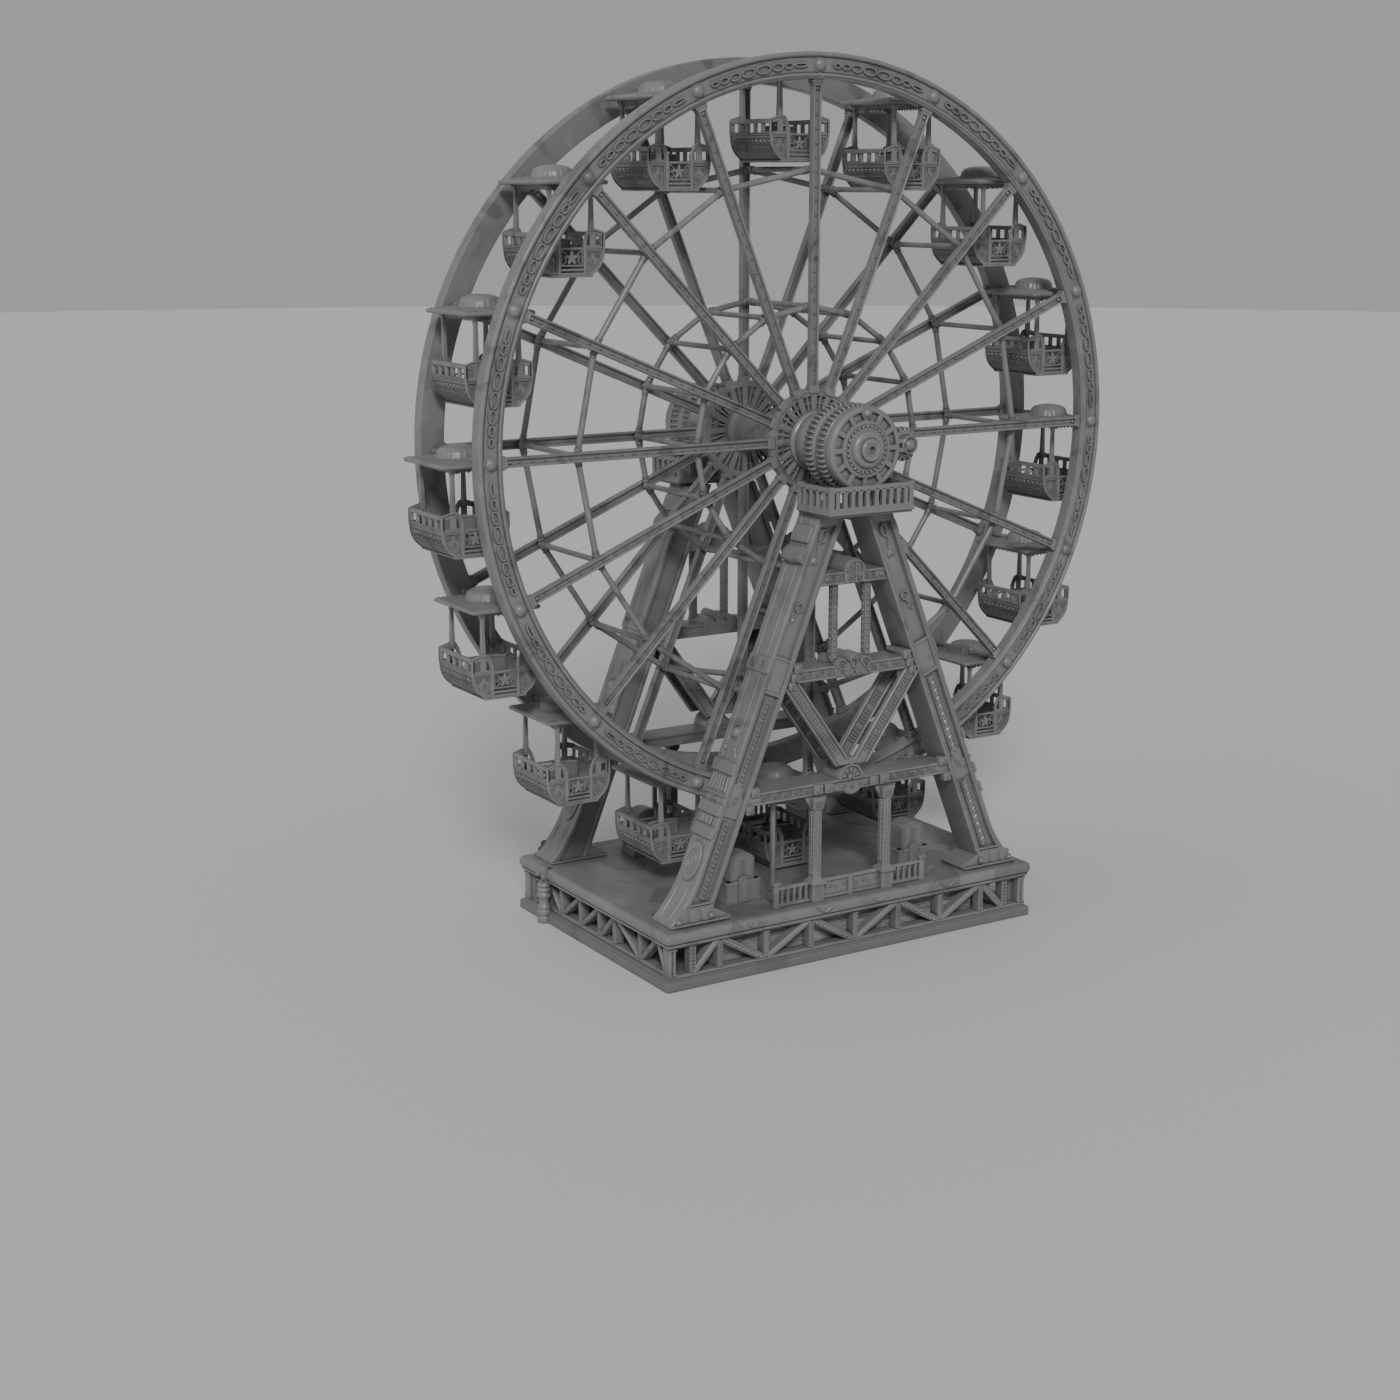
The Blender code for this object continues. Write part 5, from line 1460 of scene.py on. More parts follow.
    def bracket(self) -> Form:
        """The bracket plate where the lower beam meets the leg.

        Returns:
            The bracket at positive x.
        """
        outline = [(-0.30, -0.30), (0.16, -0.30), (0.30, -0.20), (0.30, 0.02), (0.17, 0.16), (0.17, 0.42),
                   (0.05, 0.50), (-0.10, 0.42), (-0.16, 0.20), (-0.30, 0.12)]
        plate = slab(outline, -0.02, 0.052, 0.016)
        parts = [self.on_face(plate, 3.82), self.on_face(stroke(np.array([(-0.10, 0.38), (-0.04, 0.05),
                 (0.10, -0.06), (0.24, -0.10)]), 0.034, 0.026), 3.82, out=self.channel + 0.052)]
        for x, y in ((-0.22, -0.22), (-0.22, 0.04), (0.22, -0.18), (0.04, 0.40)):
            parts.append(self.on_face(dome(0.034, 0.028, 8, 2).shifted(x, y), 3.82, out=self.channel + 0.052))
        parts.append(self.on_face(ring_link(0.13, 0.13, 0.026, 0.022, 12), 3.92, out=self.channel + 0.052))
        return Form.joined(parts)

    def outside(self) -> Form:
        """The plates, straps and ornaments on the outer side of the leg.

        Returns:
            The ornaments at positive x.
        """
        parts = []
        plate = slab(rectangle(-0.33, 0.33, -0.20, 0.20, 0.05), -0.02, 0.065, 0.028)
        parts.append(self.on_side(plate, 9.54))
        roll = [(-0.02, 0.23), (0.03, 0.225), (0.10, 0.14), (0.165, 0.02), (0.175, -0.07), (0.150, -0.14),
                (0.09, -0.185), (-0.02, -0.19)]
        ends = [[(x, y * (1.0 - 0.12 * abs(x) / 0.36), 0.001 + out * (1.0 - 0.5 * (abs(x) / 0.40) ** 6))
                 for out, y in roll] for x in np.linspace(-0.39, 0.39, 13)]
        parts.append(self.on_side(loft(np.array(ends)), 9.09))
        for z, half, proud in ((6.80, 0.18, 0.034), (4.62, 0.14, 0.056), (4.05, 0.035, 0.034), (3.75, 0.135, 0.060),
                               (3.27, 0.135, 0.060)):
            strap = slab(rectangle(-0.40 - 0.012, 0.40 + 0.012, -half, half, 0.02), -0.02, proud, 0.018)
            parts.append(self.on_side(strap, z))
        for place in (-0.20, 0.20):
            parts.append(self.on_side(ring_link(0.21, 0.21, 0.044, 0.034, 14).shifted(place, 0.02, 0.034), 6.80))
            parts.append(self.on_side(scroll(0.16, 0.034, 0.030, 1.1, 10).shifted(place, 0.02, 0.034), 6.80))
        knob = [dome(0.13, 0.080, 14, 4), ring_link(0.36, 0.34, 0.045, 0.034, 18)]
        parts.append(self.on_side(Form.joined(knob), 5.34))
        for place in (-0.22, 0.16):
            parts.append(self.on_side(dome(0.070, 0.052, 12, 3).shifted(place), 5.00))
            parts.append(self.on_side(leaf(0.22, 0.12, 0.040).moved(turn(150.0 if place < 0 else 210.0)).shifted(place), 5.00))
        for place in np.linspace(-0.30, 0.30, 6):
            rib = stroke(np.array([(place, -0.17), (place * 0.92, 0.15)]), 0.056, 0.036, steps=4)
            parts.append(self.on_side(rib, 4.30))
        parts.append(self.on_side(s_scroll(0.30, 0.22, 0.044, 0.036).moved(turn(90.0)), 3.95))
        for place in (-0.16, 0.0, 0.16):
            rib = stroke(np.array([(place, -0.085), (place, 0.085)]), 0.070, 0.042, steps=4)
            parts.append(self.on_side(rib, 3.51))
        shield = lathe([(0.5, -0.02), (0.5, 0.030), (0.482, 0.050), (0.455, 0.058), (0.40, 0.052), (0.385, 0.044),
                        (0.345, 0.044), (0.33, 0.060), (0.29, 0.060), (0.275, 0.044), (0.235, 0.044),
                        (0.22, 0.060), (0.18, 0.060), (0.165, 0.046), (0.10, 0.050), (0.0, 0.066)], 32)
        parts.append(self.on_side(shield.moved(stretch(0.58, 0.92, 1.0)), 2.62))
        return Form.joined(parts)

    def build(self, side: Side) -> None:
        """Install the two legs of one tower."""
        head = slab([(self.inner(9.71) + 0.10, 9.71), (self.outer(9.71) - 0.10, 9.71),
                     (self.outer(9.96) - 0.10, 9.96), (self.inner(9.96) + 0.10, 9.96)],
                    self.channel - 0.02, self.far - 0.016, 0.012)
        right = Form.joined([self.shaft(), self.foot(), self.carving(), self.bracket(), self.outside(), head])
        for word, drawing in (("right", right), ("left", right.mirrored(0))):
            install(f"leg_{side.word}_{word}_casting", side.place(drawing), TOWER_GREY, Slot.TOWER, "tower",
                    f"leg_{side.word}_{word}")


class BeamKind(Enum):
    """The three cross beams of a tower, by their lowest and highest z."""

    UPPER = (8.40, 8.68)
    MIDDLE = (6.32, 6.61)
    LOWER = (3.72, 4.00)


@dataclass
class CrossBeam:
    """A cross beam between the two legs, with its crest, frieze and bosses."""

    kind: BeamKind
    near: float = 2.36
    far: float = 3.08
    leg: Leg = Leg()

    def reach(self, z: float) -> float:
        """How far the beam reaches at a height."""
        return self.leg.inner(z) - 0.0004

    def body(self) -> Form:
        """The beam with its mouldings on both faces.

        Returns:
            The beam as drawn.
        """
        low, high = self.kind.value
        a, b = low + 0.012, high - 0.012
        parts = [slab([(-self.reach(a), a), (self.reach(a), a), (self.reach(b), b), (-self.reach(b), b)],
                      self.near + 0.024, self.far - 0.024, 0.006, True)]
        for z, half in ((low + 0.034, 0.034), (high - 0.030, 0.030)):
            c = 0.014
            section = [(self.near + c, z - half), (self.far - c, z - half), (self.far, z - half + c),
                       (self.far, z + half - c), (self.far - c, z + half), (self.near + c, z + half),
                       (self.near, z + half - c), (self.near, z - half + c)]
            rings = [[(sign * self.reach(y), y, w) for w, y in section] for sign in (-1, 1)]
            parts.append(loft(np.array(rings)))
        return Form.joined(parts)

    def frieze(self, start: float, end: float) -> Form:
        """A framed row of small scrolls between two places along the beam's face."""
        low, high = self.kind.value
        middle, height = (low + high) / 2 + 0.002, high - low - 0.155
        count = max(2, int((end - start) / (height * 1.10)))
        face = self.far - 0.024
        frame_line = rectangle(start, end, middle - height / 2 - 0.014, middle + height / 2 + 0.014, 0.02)
        parts = [stroke(np.array(frame_line), 0.022, 0.024, closed=True, steps=2).shifted(z=face)]
        for number in range(count):
            x = start + (end - start) * (number + 0.5) / count
            curl = scroll(height * 0.94, 0.030, 0.032, 1.2, 10)
            turned = curl if number % 2 else curl.moved(turn(180.0))
            parts.append(turned.shifted(x, middle, face))
        return Form.joined(parts)

    def _barrel(self, centre: float, half: float, rise: float, foot: float, spring: float) -> Form:
        """An arched block that runs from face to face, with a raised line along its front edge."""
        outline = [(centre - half, foot), (centre + half, foot)]
        outline += [(centre + x * half, spring + y * rise) for x, y in arc(1.0, 0.0, 180.0, 12)]
        line = [(centre - x * (half - 0.034), spring + y * (rise - 0.034)) for x, y in arc(1.0, 0.0, 180.0, 12)]
        line = [(centre - half + 0.034, foot + 0.05), *line[:0:-1], line[0]]
        line = [(centre + half - 0.034, foot + 0.05), *reversed(line[1:-1]), (centre - half + 0.034, foot + 0.05)]
        body = slab(outline, self.near - 0.005, self.far + 0.012, 0.022, True)
        return Form.joined([body, stroke(np.array(line), 0.052, 0.055).shifted(z=self.far + 0.012)])

    def crest(self) -> Form:
        """The arches on top of the beam, or the fan of the lower one.

        Returns:
            The crest as drawn.
        """
        makers = {BeamKind.UPPER: self._upper_crest, BeamKind.MIDDLE: self._middle_crest, BeamKind.LOWER: self._fan}
        return makers[self.kind]()

    def _upper_crest(self) -> Form:
        """The round-headed panel in the middle of the upper beam."""
        low, high = self.kind.value
        face, half = self.far + 0.034, 0.28
        outline = [(-half + 0.08, low + 0.004), (half - 0.08, low + 0.004), (half - 0.025, low + 0.03),
                   (half, low + 0.09), *arc(half, 0.0, 180.0, 18, (0.0, high - 0.004)), (-half, low + 0.09),
                   (-half + 0.025, low + 0.03)]
        panel = slab(outline, self.near - 0.03, face, 0.028, True)
        edge = stroke(np.array(arc(half - 0.045, 4.0, 176.0, 16, (0.0, high - 0.004))), 0.052, 0.046).shifted(z=face)
        rib = stroke(np.array([(0.0, low + 0.03), (0.0, high + 0.20)]), 0.052, 0.046).shifted(z=face)
        lobe = [(0.045, high - 0.10), (0.045, high + 0.02), *arc(0.078, 180.0, 0.0, 8, (0.123, high + 0.03)),
                (0.201, high - 0.02), (0.17, high - 0.06)]
        parts = [stroke(np.array(lobe), 0.036, 0.040, taper=0.7), dome(0.032, 0.036, 8, 2).shifted(0.125, high + 0.02),
                 ring_link(0.16, 0.13, 0.034, 0.040, 12).shifted(0.128, low + 0.115),
                 dome(0.024, 0.026, 8, 2).shifted(0.128, low + 0.115)]
        return Form.joined([panel, edge, rib, Form.joined(parts).shifted(z=face).doubled(0)])

    def _middle_crest(self) -> Form:
        """Three arched barrels: two low ones with a leaf each and a taller narrow one with a knob."""
        low, high = self.kind.value
        face, spring = self.far + 0.012, high - 0.01
        wing = Form.joined([self._barrel(0.32, 0.16, 0.165, low + 0.008, spring),
                            stroke(np.array([(0.235, low + 0.10), (0.285, high - 0.06), (0.32, high + 0.04),
                                             (0.355, high - 0.06), (0.405, low + 0.10)]), 0.044, 0.046,
                                   steps=2).shifted(z=face)])
        mid = [self._barrel(0.0, 0.13, 0.255, low + 0.008, spring),
               ring_link(0.120, 0.120, 0.036, 0.060, 12).shifted(0.0, high + 0.145, face),
               dome(0.034, 0.070, 10, 3).shifted(0.0, high + 0.145, face),
               leaf(0.30, 0.080, 0.055).moved(turn(180.0)).shifted(0.0, high + 0.085, face)]
        mid += [stroke(np.array([(x, low + 0.08), (x * 0.8, high + 0.06)]), 0.020, 0.018, steps=2).shifted(z=face)
                for x in (-0.062, 0.062)]
        fill = block((0.10, low + 0.006, self.near + 0.01), (0.20, high + 0.03, self.far + 0.004), 0.012)
        return Form.joined([wing.doubled(0), *mid, fill.doubled(0)])

    def _fan(self) -> Form:
        """The half wheel on the lower beam, with five wedges round a pierced block."""
        high, face = self.kind.value[1], self.far - 0.03
        parts = [slab(arc(0.335, 0.0, 180.0, 20, (0.0, high - 0.01)), self.near + 0.10, face, 0.01),
                 stroke(np.array(arc(0.292, 0.0, 180.0, 20, (0.0, high))), 0.080, 0.055).shifted(z=face)]
        for angle in (18.0, 54.0, 90.0, 126.0, 162.0):
            wedge = [polar(0.11, angle, -0.014), polar(0.242, angle, -0.048), polar(0.242, angle, 0.048),
                     polar(0.11, angle, 0.014)]
            parts.append(slab(wedge, -0.01, 0.034, 0.010).shifted(0.0, high, face))
        parts.append(block((-0.085, high - 0.02, face - 0.01), (0.085, high + 0.095, face + 0.075), 0.020))
        parts.append(ring_link(0.084, 0.084, 0.026, 0.020, 12).shifted(0.0, high + 0.040, face + 0.075))
        return Form.joined(parts)

    def _boss(self, half: float, depth: float) -> Form:
        """A square boss with a turned relief on its face, zero out at the beam's face."""
        relief = lathe([(half * 0.72, 0.05), (half * 0.70, 0.078), (half * 0.52, 0.090), (half * 0.40, 0.072),
                        (half * 0.26, 0.074), (half * 0.16, 0.092), (0.0, 0.096)], 16)
        return Form.joined([slab(rectangle(-half, half, -half, half, 0.028), -depth, 0.066, 0.022, True), relief])

    def bosses(self) -> Form:
        """The bosses where the beam meets the legs, and the roundels above the columns.

        Returns:
            The bosses as drawn.
        """
        low, high = self.kind.value
        middle, face = (low + high) / 2, self.far - 0.012
        if self.kind is BeamKind.UPPER:
            stud = dome(0.05, 0.045, 10, 3)
            return stud.shifted(self.reach(middle) - 0.12, middle, self.far - 0.02).doubled(0)
        if self.kind is BeamKind.MIDDLE:
            parts = [self._boss(half, depth).shifted(x, z, face)
                     for x, z, half, depth in ((1.47, 6.655, 0.105, 0.30), (1.555, 6.465, 0.098, 0.30),
                                               (1.630, 6.285, 0.098, 0.30))]
            parts.append(block((1.375, high - 0.02, self.near + 0.03), (1.565, high + 0.135, self.far - 0.06), 0.045))
            return Form.joined(parts).doubled(0)
        parts = [self._boss(half, 0.12).shifted(x, z, face)
                 for x, z, half in ((2.560, 4.03, 0.105), (2.700, 3.65, 0.105), (0.900, 3.85, 0.125),
                                    (0.620, 3.85, 0.115))]
        wave = [(0.42, 0.10), (-0.54, 0.10), (-0.56, 0.00), (-0.44, -0.07), (-0.27, -0.06), (-0.16, -0.15),
                (0.0, -0.20), (0.16, -0.15), (0.26, -0.06), (0.36, -0.07), (0.44, 0.00)]
        parts = [Form.joined(parts).doubled(0), slab(wave, -0.04, 0.046, 0.016).shifted(0.0, middle - 0.04, self.far)]
        line = np.array([(x * 0.86, y * 0.80) for x, y in wave])
        parts.append(stroke(line, 0.022, 0.014, closed=True).shifted(0.0, middle - 0.045, self.far + 0.046))
        parts.append(rosette(0.075, 0.030, 6).shifted(0.0, middle - 0.05, self.far + 0.046))
        for sign in (-1, 1):
            curl = scroll(0.13, 0.026, 0.026, 1.2, 10)
            turned = curl if sign > 0 else curl.mirrored(0)
            parts.append(turned.shifted(sign * 0.20, middle - 0.03, self.far + 0.046))
            parts.append(leaf(0.16, 0.06, 0.026).moved(turn(-sign * 90.0)).shifted(sign * 0.24, middle - 0.02,
                                                                                     self.far + 0.044))
        return Form.joined(parts)

    def hangers(self) -> Form:
        """The two beaded posts that hang from the upper beam.

        Returns:
            The posts as drawn.
        """
        low, high, out = BeamKind.MIDDLE.value[1] + 0.07, BeamKind.UPPER.value[0] + 0.02, self.far - 0.16
        post = block((-0.080, low, out - 0.080), (0.080, high, out + 0.070), 0.016)
        lines = [block((s * 0.064 - 0.012, low, out + 0.04), (s * 0.064 + 0.012, high, out + 0.082), 0.006)
                 for s in (-1, 1)]
        bead = lathe([(0.044, -0.01), (0.042, 0.014), (0.026, 0.034), (0.0, 0.040)], 10).shifted(z=out + 0.066)
        beads = row_of(bead, (0.0, low + 0.09, 0.0), (0.0, high - 0.12, 0.0), 12)
        side_bead = dome(0.038, 0.030, 8, 2).moved(shift(0.078, 0.0, out) @ turn(90.0, "Y"))
        side_beads = row_of(side_bead, (0.0, low + 0.09, 0.0), (0.0, high - 0.12, 0.0), 12).doubled(0)
        one = Form.joined([post, *lines, beads, side_beads])
        return Form.joined([one.shifted(0.44), one.shifted(-0.44)])

    def slender_post(self) -> Form:
        """The thin post beside the left booth, from the deck to the lower beam.

        Returns:
            The post as drawn.
        """
        x, out, low = -1.75, 2.57, DECK_TOP + 0.0003
        parts = [block((x - 0.10, low, out - 0.10), (x + 0.10, low + 0.24, out + 0.10), 0.02),
                 block((x - 0.075, low + 0.23, out - 0.075), (x + 0.075, low + 0.30, out + 0.075), 0.02),
                 block((x - 0.05, low + 0.28, out - 0.05), (x + 0.05, 3.74, out + 0.05), 0.014),
                 block((x - 0.08, 3.60, out - 0.08), (x + 0.08, 3.73, out + 0.08), 0.02)]
        return Form.joined(parts)

    def build(self, side: Side) -> None:
        """Install the beam of one tower."""
        low, high = self.kind.value
        parts = [self.body(), self.crest(), self.bosses()]
        start, end = {BeamKind.UPPER: (0.33, self.reach(high) - 0.22), BeamKind.MIDDLE: (0.54, 1.36),
                      BeamKind.LOWER: (1.10, 2.38)}[self.kind]
        if end - start > 0.2:
            parts.append(self.frieze(start, end).doubled(0))
        if self.kind is BeamKind.UPPER:
            parts.append(self.hangers())
        if self.kind is BeamKind.LOWER:
            parts.append(self.slender_post())
        word = self.kind.name.lower()
        install(f"{word}_beam_{side.word}_casting", side.place(Form.joined(parts)), TOWER_GREY, Slot.TOWER,
                "tower", f"{word}_beam_{side.word}")


@dataclass
class VBrace:
    """The V between the middle and the lower beam: two channelled arms with ladder bands."""

    foot_z: float = 4.03
    low_z: float = 4.3206
    top_z: float = 6.3196
    slope: float = 0.7205
    near: float = 2.32
    far: float = 3.12
    plate: float = 0.14
    half_width: float = 0.185
    leg: Leg = Leg()

    def arm(self) -> Form:
        """One arm with its rails, grooves and ladder band, its back at zero out.

        Returns:
            The arm at positive x.
        """
        w, t = self.half_width, self.plate
        rail = [(w, 0.024), (w - 0.009, 0.006), (w - 0.030, 0.0), (w - 0.051, 0.006), (w - 0.060, 0.024),
                (w - 0.062, 0.052), (w - 0.084, 0.052), (w - 0.088, 0.034)]
        half = [(side, deep) for side, deep in reversed(rail)] + [(side, t - deep) for side, deep in rail]
        section = np.array(half + [(-side, out) for side, out in reversed(half)])
        across = section[:, 0] * math.hypot(1.0, self.slope)
        rings = []
        for z in [*np.linspace(self.low_z, 4.70, 6), *np.linspace(4.90, 6.10, 5), *np.linspace(6.16, self.top_z, 5)]:
            middle = (z - self.foot_z) * self.slope
            x = np.clip(middle + across, 0.0, self.leg.inner(z) - 0.0004)
            rings.append(np.column_stack([x, np.full(len(x), z), section[:, 1]]))
        parts = [loft(rings)]
        tilt = turn(-math.degrees(math.atan(self.slope)))
        bar = block((-0.080, -0.019, 0.002), (0.080, 0.019, t - 0.002), 0.013)
        knob = dome(0.030, 0.034, 8, 3).shifted(z=t - 0.036)
        for number, z in enumerate(np.arange(4.58, 6.20, 0.066)):
            rung = bar if number % 6 else Form.joined([knob.shifted(-0.045), knob.shifted(0.045)])
            parts.append(rung.moved(shift((z - self.foot_z) * self.slope, z) @ tilt))
        return Form.joined(parts)

    def build(self, side: Side) -> None:
        """Install the V of one tower."""
        arms = self.arm().doubled(0)
        both = [arms.shifted(z=self.far - self.plate), arms.mirrored(2).shifted(z=self.near + self.plate)]
        web = [(-0.43, self.low_z), (0.43, self.low_z), (0.36, 4.36), (0.16, 4.47), (0.0, 4.49), (-0.16, 4.47),
               (-0.36, 4.36)]
        tongue = leaf(0.15, 0.12, 0.030).shifted(0.0, self.low_z + 0.01, self.far - 0.020)
        both += [slab(web, self.far - self.plate, self.far - 0.020, 0.02, True),
                 slab(web, self.near + 0.020, self.near + self.plate, 0.02, True), tongue,
                 block((-0.20, 4.331, self.near + 0.05), (0.20, 4.44, self.far - 0.05), 0.02)]
        install(f"v_brace_{side.word}_casting", side.place(Form.joined(both)), TOWER_GREY, Slot.TOWER, "tower",
                f"v_brace_{side.word}")


def turned_block(levels: Sequence[tuple[float, float]], x: float, out: float, corner: float = 0.25) -> Form:
    """A square upright whose half width changes with height.

    Args:
        levels: (z, half width) from the bottom up.
        x: its middle across.
        out: its middle out.
        corner: how much of each corner is cut off, as a share of the half width.

    Returns:
        The upright as drawn.
    """
    rings = []
    for z, half in levels:
        c = half * corner
        ring = [(half - c, -half), (half, -half + c), (half, half - c), (half - c, half),
                (-half + c, half), (-half, half - c), (-half, -half + c), (-half + c, -half)]
        rings.append([(x + a, z, out + b) for a, b in ring])
    return loft(np.array(rings))


@dataclass
class Colonnade:
    """Two beaded columns under the lower beam, and the railing between and beside them."""

    column_x: float = 0.95
    out: float = 3.08
    end_x: float = 2.00
    height: float = 0.48
    low: float = DECK_TOP + 0.0003
    high: float = 3.7197

    def column(self) -> Form:
        """One column with its pedestal, beads and stepped capital.

        Returns:
            The column round zero across and out.
        """
        low, high = self.low, self.high
        levels = [(low, 0.160), (low + 0.38, 0.160), (low + 0.395, 0.172), (low + 0.41, 0.205), (low + 0.455, 0.210),
                  (low + 0.475, 0.185), (low + 0.515, 0.128), (low + 0.56, 0.102), (high - 0.33, 0.100),
                  (high - 0.31, 0.112), (high - 0.27, 0.132), (high - 0.25, 0.140), (high - 0.09, 0.154),
                  (high - 0.075, 0.166), (high, 0.168)]
        parts = [turned_block(levels, 0.0, 0.0, 0.12)]
        bead = Form.joined([dome(0.038, 0.036, 8, 3), leaf(0.095, 0.060, 0.026).shifted(y=0.012)]).shifted(z=0.097)
        beads = row_of(bead, (0.0, low + 0.66, 0.0), (0.0, high - 0.44, 0.0), 13)
        lines = [block((place - 0.012, low + 0.58, 0.085), (place + 0.012, high - 0.35, 0.112), 0.008)
                 for place in (-0.082, 0.082)]
        ribs = [sweep([(-0.098, high - drop, out), (0.098, high - drop, out)], half_round(0.036, 0.030, 3), up=(0.0, 0.0, 1.0))
                for drop, out in ((0.125, 0.148), (0.185, 0.143), (0.245, 0.138))]
        marks = [sweep([(-0.085, low + z - 0.006, 0.158), (0.0, low + z + 0.008, 0.160), (0.085, low + z - 0.004, 0.158)],
                       half_round(0.034, 0.020, 3), up=(0.0, 0.0, 1.0)) for z in (0.12, 0.20, 0.28, 0.345)]
        face = Form.joined([beads, *lines, *ribs, *marks])
        parts.append(face.repeated(turn(angle, "Y") for angle in (0.0, 90.0, 180.0, 270.0)))
        for sign in (-1, 1):
            parts.append(slab([(0.0, 0.0), (0.0, -0.28), (0.05, -0.20), (0.13, -0.09), (0.16, 0.0)], -0.045, 0.045, 0.012,
                              True).moved(stretch(sign, 1.0, 1.0)).shifted(sign * 0.12, high - 0.01, -0.02))
        return Form.joined(parts)

    def railing(self) -> Form:
        """The railing as drawn, with carved panels in the middle and balusters outside.

        Returns:
            The railing.
        """
        low, high, out = self.low, self.low + self.height, self.out
        top = [(0.055, -0.028), (0.060, 0.0), (0.050, 0.030), (0.020, 0.044), (-0.020, 0.044), (-0.050, 0.030),
               (-0.060, 0.0), (-0.055, -0.028)]
        parts = [sweep([(-self.end_x, high - 0.044, out), (self.end_x, high - 0.044, out)],
                       top, up=(0.0, 1.0, 0.0)),
                 block((-self.end_x, low + 0.005, out - 0.05), (self.end_x, low + 0.085, out + 0.05), 0.014)]
        for x in np.linspace(self.column_x + 0.24, self.end_x - 0.16, 5):
            levels = [(low + 0.07, 0.040), (low + 0.11, 0.040), (low + 0.14, 0.026), (low + 0.22, 0.038),
                      (low + 0.31, 0.028), (low + 0.36, 0.040), (low + 0.42, 0.040)]
            parts += [turned_block(levels, x, out), turned_block(levels, -x, out)]
        for sign in (-1, 1):
            x_low, x_high = sorted((sign * 0.06, sign * (self.column_x - 0.13)))
            panel = block((x_low, low + 0.08, out - 0.022), (x_high, high - 0.06, out + 0.022), 0.008)
            edge = stroke(np.array(rectangle(x_low + 0.03, x_high - 0.03, low + 0.12, high - 0.10)), 0.022, 0.018,
                          closed=True)
            middle = (x_low + x_high) / 2
            curls = []
            for number in range(4):
                curl = scroll(0.15, 0.026, 0.020, 1.2, 10)
                turned = curl if number % 2 else curl.moved(turn(180.0))
                curls.append(turned.shifted(middle + (number - 1.5) * 0.17, low + 0.25))
            front = Form.joined([edge, *curls]).shifted(z=out + 0.022)
            parts += [panel, front, front.moved(shift(z=2 * out) @ stretch(1.0, 1.0, -1.0))]
            end = [(low, 0.082), (low + 0.05, 0.082), (low + 0.065, 0.068), (high + 0.02, 0.068), (high + 0.035, 0.090),
                   (high + 0.11, 0.090), (high + 0.125, 0.06)]
            parts.append(turned_block(end, sign * self.end_x, out))
            parts.append(rosette(0.05, 0.016, 6).shifted(sign * self.end_x, high + 0.072, out + 0.088))
        parts.append(turned_block([(low, 0.075), (high - 0.03, 0.060), (high + 0.01, 0.075)], 0.0, out))
        return Form.joined(parts)

    def build(self, side: Side) -> None:
        """Install the colonnade of one tower."""
        column = self.column()
        made = Form.joined([column.shifted(self.column_x, 0.0, self.out),
                            column.shifted(-self.column_x, 0.0, self.out), self.railing()])
        install(f"colonnade_{side.word}_casting", side.place(made), TOWER_GREY, Slot.TOWER, "tower",
                f"colonnade_{side.word}")


@dataclass
class Balcony:
    """The slab on the leg heads with a railing on three sides."""

    half_x: float = 1.12
    near: float = 2.44
    far: float = 3.72
    low: float = 9.9603
    slab_height: float = 0.12
    rail_top: float = 10.62

    def build(self, side: Side) -> None:
        """Install the balcony of one tower."""
        low, near, far, half = self.low, self.near, self.far, self.half_x
        rings = []
        for inward, z in ((0.10, low), (0.05, low + 0.008), (0.035, low + 0.03), (0.045, low + 0.045),
                          (0.005, low + 0.062), (0.0, low + 0.08), (0.0, low + 0.105), (0.012, low + 0.12)):
            x, a, b = half - inward, near + inward, far - inward
            rings.append([(x, z, a), (x, z, b), (-x, z, b), (-x, z, a)])
        parts = [loft(np.array(rings))]
        foot, top = low + self.slab_height, self.rail_top
        post = [(foot - 0.01, 0.075), (foot + 0.05, 0.075), (foot + 0.065, 0.062), (top - 0.07, 0.062),
                (top - 0.055, 0.075), (top + 0.005, 0.075), (top + 0.018, 0.06)]
        for x in (-half + 0.075, half - 0.075):
            for out in (near + 0.075, far - 0.075):
                parts.append(turned_block(post, x, out))
        rail = [(0.050, -0.080), (0.058, -0.062), (0.058, 0.012), (0.046, 0.030), (-0.046, 0.030),
                (-0.058, 0.012), (-0.058, -0.062), (-0.050, -0.080)]
        bottom = [(0.052, 0.0), (0.052, 0.075), (0.040, 0.095), (-0.040, 0.095), (-0.052, 0.075), (-0.052, 0.0)]
        front, inside = far - 0.062, half - 0.062
        up = (0.0, 1.0, 0.0)
        for section, z in ((rail, top - 0.032), (bottom, foot - 0.002)):
            parts.append(sweep([(-half + 0.07, z, front), (half - 0.07, z, front)], section, up))
            for x in (-inside, inside):
                parts.append(sweep([(x, z, near + 0.07), (x, z, far - 0.07)], section, up))
        bar = [(foot + 0.05, 0.058), (foot + 0.11, 0.058), (foot + 0.13, 0.050), (top - 0.17, 0.050),
               (top - 0.15, 0.058), (top - 0.08, 0.058)]
        for x in (-0.90, -0.70, -0.50, -0.31, -0.12, 0.12, 0.31, 0.50, 0.70, 0.90):
            parts.append(turned_block(bar, x, front))
        for out in np.linspace(near + 0.27, far - 0.27, 4):
            for x in (-inside, inside):
                parts.append(turned_block(bar, x, out))
        install(f"balcony_{side.word}_casting", side.place(Form.joined(parts)), TOWER_GREY, Slot.TOWER, "tower",
                f"balcony_{side.word}")


